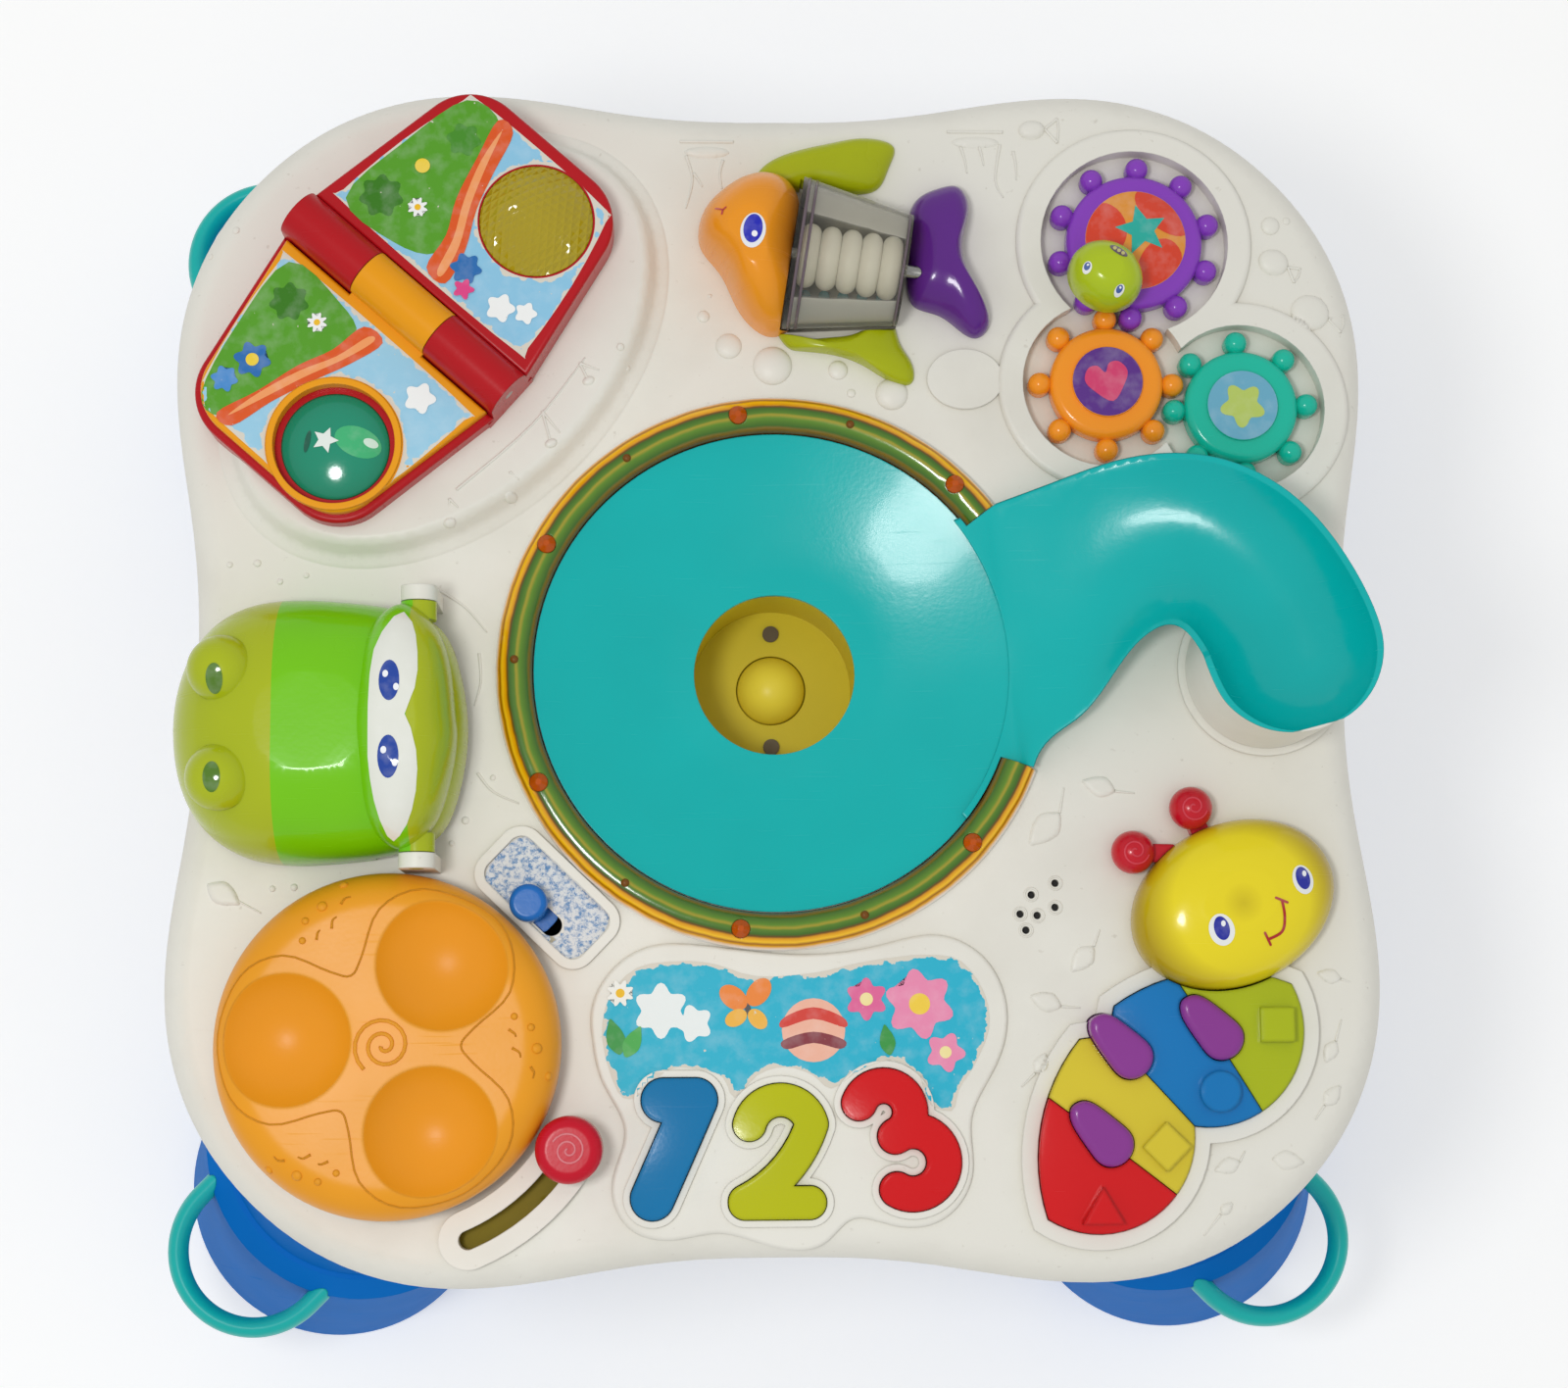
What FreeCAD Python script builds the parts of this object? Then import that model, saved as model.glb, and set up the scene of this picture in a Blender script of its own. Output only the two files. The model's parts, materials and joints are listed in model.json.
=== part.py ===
import FreeCAD, Part
import math
import os
from FreeCAD import Vector

# Baby activity table on four legs, seen from above with +X to the right and +Y to the rear.
# The origin is on the floor under the middle of the table. Heights in the deck's own terms are
# measured from the deck surface by level().

UP = Vector(0, 0, 1)
ORIGIN = Vector(0, 0, 0)

# Table body
TABLE_HEIGHT = 380.0
OUTLINE_MEAN = 262.0
OUTLINE_LOBE_SHARES = ((4, -0.1244), (8, 0.0038), (12, 0.0053))
OUTLINE_STEPS = 48
BODY_DEPTH = 74.0
SEAM_DEPTH = 44.0
WALL = 2.8
EDGE_ROUND = 12.0
UNDER_ROUND = 8.0
OVERRUN = 2.0
RUNNING_FIT = 0.05
SLIDE_GAP = 0.4
SEAT_GAP = 0.3
MOVE_GAP = 0.6

# Ball ramp, its pedestal and the ring of light
DISH_HOLE = 32.5
DISH_EDGE = 96.5
DISH_DEPTH = 9.0
DISH_LIFT = 3.0
DISH_FLAT = 9.5
DISH_STEPS = 8
RAMP_WALL = 2.6
DECK_OPENING = 90.0
RAMP_RISE = 60.0
RAMP_REACH = 197.0
PEDESTAL_RADIUS = 32.0
PEDESTAL_LIP = 35.0
PEDESTAL_LIP_HEIGHT = 2.4
PEDESTAL_WALL = 2.4
RING_WIDTH = 15.0
RING_HEIGHT = 9.0
RING_LIP = 2.0
RING_START = 37.0
RING_END = 338.5
JEWEL_RADIUS = 3.6
JEWEL_RISE = 2.6
JEWEL_DEGREES = (45.8, 98.0, 151.0, 205.6, 262.0, 318.0)

# Ball popper under the dish
CUP_RADIUS = 33.5
CUP_FLANGE = 40.0
CUP_FLOOR_DEPTH = 58.0
CUP_WALL = 2.4
PLUNGER_RADIUS = 14.3
PLUNGER_RISE = 12.0
PLUNGER_TRAVEL = 8.0
PLUNGER_FLANGE = 2.6
SPRING_RADIUS = 8.0
SPRING_WIRE = 1.2
SPRING_TURNS = 5
CUP_SCREW_OFFSET = 24.0
SCREW_HEAD = 3.4
SCREW_SHANK = 1.5

# Gear train
GEAR_PEG_RADIUS = 4.7
GEAR_THICKNESS = 9.0
GEAR_TOP = 5.0
GEAR_FLOOR = 5.0
GEAR_POCKET_GAP = 2.4
GEAR_BORDER = 10.0
GEAR_BORDER_RISE = 3.0
CRANK_PEGS = 10
CRANK_PEG_CIRCLE = 31.5
CRANK_BODY = 28.0
SMALL_PEGS = 8
SMALL_PEG_CIRCLE = 27.15
SMALL_BODY = 23.2
CRANK_TO_MIDDLE = 60.6
MIDDLE_TO_OUTER = 55.8
CRANK_TO_MIDDLE_DEGREES = -102.2
MIDDLE_TO_OUTER_DEGREES = -10.2
CRANK_PEG_DEGREES = 86.4
GEAR_AXLE_RADIUS = 4.0
GEAR_DOME_RADIUS = 22.0
GEAR_DOME_RISE = 6.0
GEAR_BADGE_RADIUS = 14.5
GEAR_BADGE_RISE = 1.0
CRANK_KNOB_REACH = 23.2
CRANK_KNOB_DEGREES = -128.4
CRANK_KNOB_LENGTH = 31.0
CRANK_KNOB_WIDTH = 27.0
CRANK_KNOB_HEIGHT = 17.0
CRANK_KNOB_TURN = -33.0
CRANK_NECK_RADIUS = 5.0
CRANK_NECK_HEIGHT = 7.0
CRANK_BOSS_RISE = 2.6

# Flip book on its mound
MOUND_LENGTH = 212.0
MOUND_WIDTH = 146.0
MOUND_RISE = 11.0
MOUND_SLOPE = 12.0
BOOK_TURN = -41.4
BOOK_SPINE = 112.0
BOOK_FAR_EDGE = 84.0
BOOK_DEPTH = 88.0
BOOK_CORNER = 20.0
BOOK_LEFT_TOP = 20.0
BOOK_RIGHT_TOP = 28.0
PAGE_THICKNESS = 5.0
PAGE_MARGIN = 3.0
SPINE_HEIGHT = 27.5
SPINE_RADIUS = 10.0
SPINE_KNUCKLE = 38.0
SPINE_PIN_RADIUS = 2.0
BOOK_ROUND_ALONG = 17.0
BOOK_ROUND_ACROSS = 60.0
BOOK_LENS_RADIUS = 22.5
BOOK_LENS_RISE = 7.0
PAGE_HOLE = 24.0
PAGE_RING = 26.6
PAGE_RING_RISE = 1.4
BUBBLE_RADIUS = 21.5
BUBBLE_RISE = 4.4

# Fish with a turning drum
FISH_TURN = -9.0
FISH_HEAD_LENGTH = 37.6
FISH_HEAD_WIDTH = 66.1
FISH_TAIL_LENGTH = 34.1
FISH_TAIL_WIDTH = 63.8
TOP_FIN_LENGTH = 61.7
TOP_FIN_WIDTH = 22.9
LOW_FIN_LENGTH = 54.5
LOW_FIN_WIDTH = 27.2
FISH_AXIS_HEIGHT = 11.0
DRUM_LENGTH = 46.0
DRUM_HEAD_RADIUS = 31.0
DRUM_TAIL_RADIUS = 22.5
DRUM_WALL = 1.8
DRUM_GAP = 1.5
DRUM_AXLE_RADIUS = 2.5
CORE_RADIUS = 9.0
CORE_RIBS = 5
CORE_RIB_RADIUS = 13.0
BEAD_RADIUS = 2.4
BEAD_ROWS = 5
BEAD_COLUMNS = 3
BEAD_PITCH_SHARE = 0.17
BEAD_SPREAD_DEGREES = 24.0
FISH_HEAD_HEIGHT = 38.0
FISH_TAIL_HEIGHT = 17.0
FISH_FIN_HEIGHT = 9.0

# Turntable, its lever and the mode switch
TURNTABLE_RADIUS = 66.8
TURNTABLE_TOP = 30.0
TURNTABLE_SKIRT = 5.0
TURNTABLE_ROUND = 14.0
TURNTABLE_WALL = 2.6
WELL_RADIUS = 25.5
WELL_DEPTH = 14.0
WELL_REACH = 38.0
WELL_DEGREES = (54.4, 176.5, 298.5)
SPINDLE_RADIUS = 6.0
HUB_RADIUS = 9.5
LEVER_REACH = 81.0
LEVER_DEGREES = -29.8
LEVER_SWING = 38.0
LEVER_SLOT_WIDTH = 7.4
LEVER_PAD_WIDTH = 23.0
LEVER_PAD_RISE = 4.0
LEVER_STEM_RADIUS = 3.3
LEVER_KNOB_RADIUS = 13.0
LEVER_KNOB_HEIGHT = 16.0
LEVER_KNOB_BASE = 9.0
LEVER_PLATE = 2.5
LEVER_PLATE_WIDTH = 9.4
LEVER_PLATE_SPAN = 10.0
SWITCH_TURN = -44.0
SWITCH_PANEL_LENGTH = 60.0
SWITCH_PANEL_WIDTH = 32.0
SWITCH_PANEL_CORNER = 9.5
SWITCH_PANEL_RISE = 2.4
SWITCH_BORDER = 4.0
SWITCH_TRAVEL = 12.0
SWITCH_START_ALONG = -3.2
SWITCH_START_ACROSS = -6.7
SWITCH_STEM_RADIUS = 3.8
SWITCH_KNOB_RADIUS = 7.4
SWITCH_KNOB_HEIGHT = 11.0
SWITCH_PLATE = 1.6

# Number keys and picture panel
PANEL_WIDTH = 164.4
PANEL_DEPTH = 120.4
PANEL_RISE = 2.6
ONE_WIDTH = 34.3
ONE_DEPTH = 56.0
ONE_STROKE = 17.0
TWO_WIDTH = 39.4
TWO_DEPTH = 52.7
TWO_STROKE = 12.8
THREE_WIDTH = 46.6
THREE_DEPTH = 54.5
THREE_STROKE = 13.6
NUMBER_CROWN = 160.0
NUMBER_RIM = 3.0
NUMBER_RIM_RISE = 1.2
KEY_TOP = 7.0
KEY_SKIRT = 7.0
KEY_TRAVEL = 2.5
KEY_EDGE = 1.4
KEY_STEM_RADIUS = 3.0
BOARD_DEPTH = 23.0
BOARD_THICKNESS = 1.6
PAD_RADIUS = 4.2
PAD_HEIGHT = 3.0
PAD_GAP = 0.1

# Worm keyboard
LOBE_RADIUS = 38.0
LOBE_PITCH = 60.5
LOBE_TURN = 42.7
KEY_SPLIT_DEGREES = 10.0
BACK_RADIUS = 74.0
BACK_OFFSET = 41.5
WORM_RIM = 6.5
WORM_RIM_RISE = 3.4
WORM_TOP = 9.0
CROWN_RADIUS = 190.0
SYMBOL_RISE = 1.4
SYMBOL_SIZE = 16.0
SPIKE_LENGTH = 29.0
SPIKE_WIDTH = 17.0
SPIKE_TOP = 12.0
HEAD_LENGTH = 84.0
HEAD_WIDTH = 64.0
HEAD_TURN = 25.0
HEAD_RISE = 24.0
ANTENNA_BALL = 8.6
ANTENNA_STALK = 3.6

# Hippo head
HIPPO_HINGE_HEIGHT = 28.0
HIPPO_HEIGHT = 54.0
HIPPO_LENGTH = 115.0
HIPPO_WIDTH = 104.0
HIPPO_WALL = 2.6
HIPPO_REAR_REACH = 18.0
HIPPO_REAR_LIFT = 8.0
HIPPO_FRONT_LIFT = 2.0
HIPPO_BROW_HEIGHT = 59.0
HIPPO_PIN_RADIUS = 3.0
HIPPO_POST_WIDTH = 14.0
HIPPO_POST_FACE = 49.2
HIPPO_POST_DEPTH = 6.0
HIPPO_NOSTRIL = 13.0
HIPPO_NOSTRIL_RISE = 4.5
HIPPO_JAW_RISE = 6.0
HIPPO_JAW_WALL = 2.4
HIPPO_JAW_WIDTH = 87.0
HIPPO_JAW_FRONT = 88.0
HIPPO_JAW_BACK = 16.0

# Legs and handles
FOOT_RADIUS = 77.5
FOOT_REACH = 215.5
LEDGE_HEIGHT = 142.0
LEDGE_RADIUS = 74.5
LEDGE_ROUND = 8.0
SHANK_RADIUS = 65.0
LEG_TOP_RADIUS = 50.0
LEG_TOP_REACH = 157.0
LEG_PLUG_RADIUS = 46.0
LEG_PLUG = 12.0
LEG_WALL = 3.0
HANDLE_STANDOFF = 50.161765
HANDLE_RADIUS = 36.5
HANDLE_WIDTH = 9.5
HANDLE_TALL = 15.0
HANDLE_HEIGHT = 129.0

# Battery door and fasteners
DOOR_WIDTH = 92.0
DOOR_DEPTH = 62.0
DOOR_CORNER = 6.0
BOX_HEIGHT = 30.0
BODY_SCREW_SHARES = ((0.773, 0.206), (0.206, 0.773), (-0.206, 0.773), (-0.773, 0.206),
                     (-0.773, -0.206), (-0.172, -0.477), (0.172, -0.477), (0.773, -0.206))
BOARD_POST_SHARES = ((0.0, -0.553), (0.305, -0.573), (0.305, -0.78), (0.725, -0.725))
BOSS_RADIUS = 5.0
SPEAKER_RADIUS = 20.0
SPEAKER_DEPTH = 17.0
SPEAKER_HOLE = 1.5
BADGE_LENGTH = 31.0
BADGE_WIDTH = 25.0
BADGE_RISE = 1.6
SPEAKER_HOLE_SHARES = ((0.3, 0.48), (-0.18, 0.25), (-0.41, -0.13),
                       (-0.07, -0.16), (0.29, 0.0), (-0.3, -0.45))

# Places on the deck, as shares of the outline's mean radius
CRANK_GEAR_SHARES = (0.568, 0.676)
MOUND_SHARES = (-0.508, 0.508)
BOOK_SHARES = (-0.562, 0.549)
FISH_SHARES = (0.118, 0.634)
FISH_HEAD_PLACE_SHARES = (-0.0435, 0.6515)
FISH_TAIL_PLACE_SHARES = (0.2752, 0.6458)
TOP_FIN_PLACE_SHARES = (0.0775, 0.8008)
LOW_FIN_PLACE_SHARES = (0.1149, 0.5011)
TURNTABLE_SHARES = (-0.579, -0.565)
SWITCH_SHARES = (-0.347, -0.344)
PANEL_SHARES = (0.033, -0.634)
ONE_SHARES = (-0.157, -0.719)
TWO_SHARES = (-0.002, -0.727)
THREE_SHARES = (0.184, -0.705)
LOWER_LOBE_SHARES = (0.479, -0.706)
WORM_HEAD_SHARES = (0.692, -0.361)
SPEAKER_SHARES = (0.401, -0.363)
SYMBOL_PLACE_SHARES = {"worm_key_red": (0.482, -0.818), "worm_key_yellow": (0.579, -0.723),
                       "worm_key_blue": (0.662, -0.642), "worm_key_green": (0.751, -0.543)}
ANTENNA_BALL_SHARES = ((-0.325, 0.557), (0.018, 0.648))
BADGE_SHARES = (0.299, 0.458)
HIPPO_HINGE_SHARES = (-0.534, -0.096)
DOOR_SHARES = (0.0, 0.50)

# How a puffed solid is drawn in towards its top
DOME_RINGS = 6
DOME_TOP_SHARE = 0.35
DOME_POWER = 2.4

# Outlines drawn by hand, as shares of each outline's own width and depth
PANEL_OUTLINE_SHARES = (
    (-0.5, 0.2), (-0.47, 0.36), (-0.38, 0.46), (-0.22, 0.47), (0.0, 0.44), (0.2, 0.47), (0.34, 0.5),
    (0.45, 0.42), (0.5, 0.24), (0.47, 0.07), (0.41, -0.1), (0.41, -0.28), (0.34, -0.42), (0.22, -0.44),
    (0.12, -0.42), (0.06, -0.49), (-0.08, -0.5), (-0.2, -0.46), (-0.3, -0.48), (-0.41, -0.44),
    (-0.45, -0.3), (-0.42, -0.13), (-0.47, 0.02))
FISH_HEAD_SHARES = (
    (0.5, 0.44), (0.3, 0.5), (0.02, 0.48), (-0.26, 0.38), (-0.46, 0.24), (-0.48, 0.07), (-0.28, -0.09),
    (-0.1, -0.3), (0.08, -0.44), (0.3, -0.5), (0.5, -0.45), (0.56, 0.0))
FISH_TOP_FIN_SHARES = (
    (-0.46, -0.4), (-0.38, -0.02), (-0.18, 0.24), (0.1, 0.42), (0.38, 0.48), (0.49, 0.34), (0.46, 0.0),
    (0.38, -0.42), (0.1, -0.5), (-0.2, -0.5))
FISH_LOW_FIN_SHARES = (
    (-0.5, 0.26), (-0.36, 0.19), (-0.13, 0.21), (0.11, 0.31), (0.33, 0.5), (0.4, 0.14), (0.5, -0.26),
    (0.48, -0.48), (0.4, -0.5), (0.27, -0.39), (0.11, -0.19), (-0.13, -0.03), (-0.36, 0.02), (-0.48, 0.16))
FISH_TAIL_SHARES = (
    (-0.46, 0.3), (-0.36, 0.41), (-0.1, 0.48), (0.12, 0.49), (0.24, 0.4), (0.2, 0.2), (0.17, 0.03),
    (0.27, -0.14), (0.42, -0.3), (0.47, -0.44), (0.34, -0.5), (0.1, -0.44), (-0.14, -0.35),
    (-0.4, -0.3), (-0.5, 0.0))
HIPPO_OUTLINE_SHARES = (
    (-0.5, 0.0), (-0.475, 0.2), (-0.4, 0.36), (-0.28, 0.46), (-0.1, 0.5), (0.1, 0.49), (0.28, 0.46),
    (0.4, 0.4), (0.47, 0.24), (0.5, 0.0), (0.47, -0.24), (0.4, -0.4), (0.28, -0.46), (0.1, -0.49),
    (-0.1, -0.5), (-0.28, -0.46), (-0.4, -0.36), (-0.475, -0.2))
ROUND_SHARES = tuple((0.5 * math.cos(math.radians(30 * step)), 0.5 * math.sin(math.radians(30 * step)))
                     for step in range(12))
SPIKE_SHARES = (
    (-0.5, 0.0), (-0.42, 0.26), (-0.2, 0.4), (0.1, 0.48), (0.36, 0.46), (0.5, 0.2), (0.5, -0.2),
    (0.36, -0.46), (0.1, -0.48), (-0.2, -0.4), (-0.42, -0.26))

# Rims and levels along the chute: left and right rim as shares of its reach, rim and floor as
# shares of its rise
RAMP_ROW_SHARES = (
    ((0.300, 0.270), (0.360, -0.270), 0.09, 0.02),
    ((0.444, 0.322), (0.514, -0.207), 0.15, 0.05),
    ((0.560, 0.362), (0.604, -0.096), 0.22, 0.105),
    ((0.670, 0.398), (0.668, -0.023), 0.31, 0.17),
    ((0.778, 0.412), (0.722, 0.048), 0.43, 0.25),
    ((0.888, 0.392), (0.775, 0.078), 0.58, 0.33),
    ((1.000, 0.320), (0.814, 0.051), 0.76, 0.40),
    ((1.091, 0.203), (0.836, 0.003), 0.89, 0.47),
    ((1.157, 0.041), (0.845, -0.041), 1.0, 0.535))
RAMP_BOWL_DEGREES = (20, 38, 53, 66, 76)

# Strokes of the numbers, as shares of each number's own width and depth
ONE_STROKE_SHARES = (((0.252, 0.332), (-0.242, -0.345)), ((0.252, 0.332), (-0.119, 0.332)))
TWO_STROKE_SHARES = (((-0.279, 0.208), (0.01, 0.387), (0.34, 0.208)),
                     ((0.34, 0.208), (0.192, -0.017), (-0.326, -0.356)),
                     ((-0.326, -0.367), (0.318, -0.367)))
THREE_STROKE_SHARES = (((-0.358, 0.242), (-0.009, 0.321), (-0.057, 0.003)),
                       ((-0.057, 0.003), (0.353, -0.166), (-0.045, -0.375)))
ONE_STEM_SHARES = (0.005, -0.006)
TWO_STEM_SHARES = (0.0, -0.367)
THREE_STEM_SHARES = (-0.057, 0.003)
NUMBERS = (
    {"name": "number_key_1", "width": ONE_WIDTH, "depth": ONE_DEPTH, "stroke": ONE_STROKE,
     "strokes": ONE_STROKE_SHARES, "stem": ONE_STEM_SHARES, "place": ONE_SHARES},
    {"name": "number_key_2", "width": TWO_WIDTH, "depth": TWO_DEPTH, "stroke": TWO_STROKE,
     "strokes": TWO_STROKE_SHARES, "stem": TWO_STEM_SHARES, "place": TWO_SHARES},
    {"name": "number_key_3", "width": THREE_WIDTH, "depth": THREE_DEPTH, "stroke": THREE_STROKE,
     "strokes": THREE_STROKE_SHARES, "stem": THREE_STEM_SHARES, "place": THREE_SHARES})


def level(height):
    return TABLE_HEIGHT + height


def spot(shares, height=0.0):
    return Vector(shares[0] * OUTLINE_MEAN, shares[1] * OUTLINE_MEAN, level(height))


def polar(radius, degrees, height=0.0):
    angle = math.radians(degrees)
    return Vector(radius * math.cos(angle), radius * math.sin(angle), height)


def drum(radius, bottom, top, centre):
    return Part.makeCylinder(radius, top - bottom, Vector(centre.x, centre.y, level(bottom)))


def tube(outer, inner, bottom, top, centre):
    return drum(outer, bottom, top, centre).cut(drum(inner, bottom - OVERRUN, top + OVERRUN, centre))


def united(shapes):
    first = shapes[0]
    if len(shapes) == 1:
        return first
    return first.fuse(shapes[1:]).removeSplitter()


def spun(profile, centre, degrees=360.0):
    """Solid of revolution about the vertical through centre, profile as (radius, level) corners."""
    corners = [Vector(centre.x + radius, centre.y, level(height)) for radius, height in profile]
    face = Part.Face(Part.makePolygon(corners + corners[:1]))
    return face.revolve(centre, UP, degrees)


def closed_curve(points):
    curve = Part.BSplineCurve()
    curve.interpolate(Points=points, PeriodicFlag=True)
    return Part.Wire([curve.toShape()])


def prism(wire, height):
    return Part.Face(wire).extrude(Vector(0, 0, height))


def top_edges(shape, height):
    found = []
    for edge in shape.Edges:
        box = edge.BoundBox
        if abs(box.ZMin - level(height)) < SEAT_GAP and abs(box.ZMax - level(height)) < SEAT_GAP:
            found.append(edge)
    return found


def softened(shape, height, radius):
    return shape.makeFillet(radius, top_edges(shape, height))


def oval(length, width, centre, turn, height):
    wire = Part.Wire([Part.Ellipse(Vector(0, 0, 0), length / 2, width / 2).toShape()])
    wire.rotate(ORIGIN, UP, turn)
    wire.translate(Vector(centre.x, centre.y, level(height)))
    return wire


def rounded_box(length, width, corner, bottom, top, centre, turn=0.0):
    x = length / 2
    y = width / 2
    box = Part.makeBox(length, width, top - bottom, Vector(-x, -y, level(bottom)))
    upright = [edge for edge in box.Edges if edge.BoundBox.ZLength > SEAT_GAP]
    box = box.makeFillet(corner, upright)
    box.rotate(ORIGIN, UP, turn)
    box.translate(Vector(centre.x, centre.y, 0))
    return box


def scaled_outline(shares, width, depth, centre, share, height, turn=0.0):
    """Points of an outline given as shares of its width and depth, drawn in by a share."""
    angle = math.radians(turn)
    points = []
    for share_x, share_y in shares:
        x = share_x * width * share
        y = share_y * depth * share
        points.append(Vector(centre.x + x * math.cos(angle) - y * math.sin(angle),
                             centre.y + x * math.sin(angle) + y * math.cos(angle),
                             level(height)))
    return points


def dome(shares, width, depth, centre, bottom, height, turn=0.0, wall_below=0.0):
    """Puffed solid over an outline, its rings drawn in along a fat ellipse."""
    rings = []
    if wall_below > 0:
        rings.append(closed_curve(scaled_outline(shares, width, depth, centre, 1, bottom - wall_below, turn)))
    for ring in range(DOME_RINGS + 1):
        share = 1 - (1 - DOME_TOP_SHARE) * (ring / DOME_RINGS) ** 2
        rise = (1 - share ** DOME_POWER) ** (1 / DOME_POWER)
        rings.append(closed_curve(scaled_outline(shares, width, depth, centre, share,
                                                 bottom + height * rise, turn)))
    return Part.makeLoft(rings, True, False)


def table_outline(inset, height):
    points = []
    for step in range(OUTLINE_STEPS):
        angle = 2 * math.pi * step / OUTLINE_STEPS
        radius = OUTLINE_MEAN
        slope = 0.0
        for lobes, share in OUTLINE_LOBE_SHARES:
            radius += share * OUTLINE_MEAN * math.cos(lobes * angle)
            slope -= share * OUTLINE_MEAN * lobes * math.sin(lobes * angle)
        length = math.hypot(radius, slope)
        x = radius * math.cos(angle) - inset * (radius * math.cos(angle) + slope * math.sin(angle)) / length
        y = radius * math.sin(angle) - inset * (radius * math.sin(angle) - slope * math.cos(angle)) / length
        points.append(Vector(x, y, level(height)))
    return closed_curve(points)


def body_block(inset, bottom, top, rounding):
    block = prism(table_outline(inset, bottom), top - bottom)
    return softened(block, top, rounding)


def straight_run(start, end, width, bottom, top):
    length = (end - start).Length
    run = Part.makeBox(length, width, top - bottom, Vector(0, -width / 2, level(bottom)))
    run.rotate(ORIGIN, UP, math.degrees(math.atan2(end.y - start.y, end.x - start.x)))
    run.translate(Vector(start.x, start.y, 0))
    return run


def curved_run(points, width, bottom, top):
    """Arc through three points, as a rectangle swept about the arc's centre."""
    arc = Part.Arc(*[Vector(point.x, point.y, 0) for point in points]).toShape()
    centre = arc.Curve.Center
    radius = arc.Curve.Radius
    inner = max(radius - width / 2, 0)
    corners = [Vector(side, 0, level(height)) for side, height in
               ((inner, bottom), (radius + width / 2, bottom), (radius + width / 2, top), (inner, top))]
    face = Part.Face(Part.makePolygon(corners + corners[:1]))
    sweep = math.degrees(arc.Length / radius)
    run = face.revolve(ORIGIN, UP, sweep)
    anticlockwise = (points[1] - points[0]).cross(points[2] - points[1]).z > 0
    first = points[0] if anticlockwise else points[2]
    start_angle = math.atan2(first.y - centre.y, first.x - centre.x)
    run.rotate(ORIGIN, UP, math.degrees(start_angle))
    run.translate(Vector(centre.x, centre.y, 0))
    return run


def stroke_band(points, width, bottom, top):
    """One stroke: a straight run or an arc, with round ends."""
    if len(points) == 2:
        run = straight_run(points[0], points[1], width, bottom, top)
    else:
        run = curved_run(points, width, bottom, top)
    return run.fuse([drum(width / 2, bottom, top, points[0]), drum(width / 2, bottom, top, points[-1])])


def number_point(number, shares):
    """Point of a number given as shares of its outline's width and depth."""
    place = spot(number["place"])
    return Vector(place.x + shares[0] * number["width"], place.y + shares[1] * number["depth"], 0)


def number_solid(number, grow, bottom, top):
    bands = []
    for corners in number["strokes"]:
        points = [number_point(number, shares) for shares in corners]
        bands.append(stroke_band(points, number["stroke"] + 2 * grow, bottom, top))
    return united(bands)


def gear_places():
    crank = spot(CRANK_GEAR_SHARES)
    middle = crank + polar(CRANK_TO_MIDDLE, CRANK_TO_MIDDLE_DEGREES)
    outer = middle + polar(MIDDLE_TO_OUTER, MIDDLE_TO_OUTER_DEGREES)
    return crank, middle, outer


def gear_pockets(grow, bottom, top):
    radii = (CRANK_PEG_CIRCLE, SMALL_PEG_CIRCLE, SMALL_PEG_CIRCLE)
    solids = []
    for radius, place in zip(radii, gear_places()):
        solids.append(drum(radius + GEAR_PEG_RADIUS + GEAR_POCKET_GAP + grow, bottom, top, place))
    return united(solids)


def fish_axis():
    return spot(FISH_SHARES, FISH_AXIS_HEIGHT), polar(1, FISH_TURN)


def fish_cone(grow, start_share, end_share):
    """Cone of the drum between two shares of its length, grown all round."""
    centre, along = fish_axis()
    slope = (DRUM_TAIL_RADIUS - DRUM_HEAD_RADIUS)
    start = DRUM_HEAD_RADIUS + slope * (start_share + 0.5) + grow
    end = DRUM_HEAD_RADIUS + slope * (end_share + 0.5) + grow
    return Part.makeCone(start, end, DRUM_LENGTH * (end_share - start_share),
                         centre + along * DRUM_LENGTH * start_share, along)


def lever_place(degrees, height=0.0):
    return spot(TURNTABLE_SHARES, height) + polar(LEVER_REACH, degrees)


def lever_band(width, bottom, top, start, end):
    """Arc band about the turntable's axis with round ends."""
    centre = spot(TURNTABLE_SHARES)
    centre.z = 0
    points = [centre + polar(LEVER_REACH, degrees) for degrees in (start, (start + end) / 2, end)]
    return stroke_band(points, width, bottom, top)


def switch_place(along, across, height=0.0):
    return spot(SWITCH_SHARES, height) + polar(along, SWITCH_TURN) + polar(across, SWITCH_TURN + 90)


def switch_slot(width, bottom, top):
    start = switch_place(SWITCH_START_ALONG, SWITCH_START_ACROSS)
    end = switch_place(SWITCH_START_ALONG + SWITCH_TRAVEL, SWITCH_START_ACROSS)
    start.z = 0
    end.z = 0
    return stroke_band((start, end), width, bottom, top)


def lobe_places():
    lower = spot(LOWER_LOBE_SHARES)
    return lower, lower + polar(LOBE_PITCH, LOBE_TURN)


def back_centre():
    lower, upper = lobe_places()
    return (lower + upper) / 2 + polar(BACK_OFFSET, LOBE_TURN - 90)


def worm_body(grow, bottom, top):
    """The two round lobes, trimmed along the back by one wide arc."""
    lobes = [drum(LOBE_RADIUS + grow, bottom, top, place) for place in lobe_places()]
    return united(lobes).common(drum(BACK_RADIUS + grow, bottom, top, back_centre()))


def crowned_lobe(place):
    """One lobe of the keyboard with its top rounded like a wide ball."""
    ball = Part.makeSphere(CROWN_RADIUS, Vector(place.x, place.y, level(WORM_TOP) - CROWN_RADIUS))
    return drum(LOBE_RADIUS, -KEY_SKIRT, WORM_TOP, place).common(ball)


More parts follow.
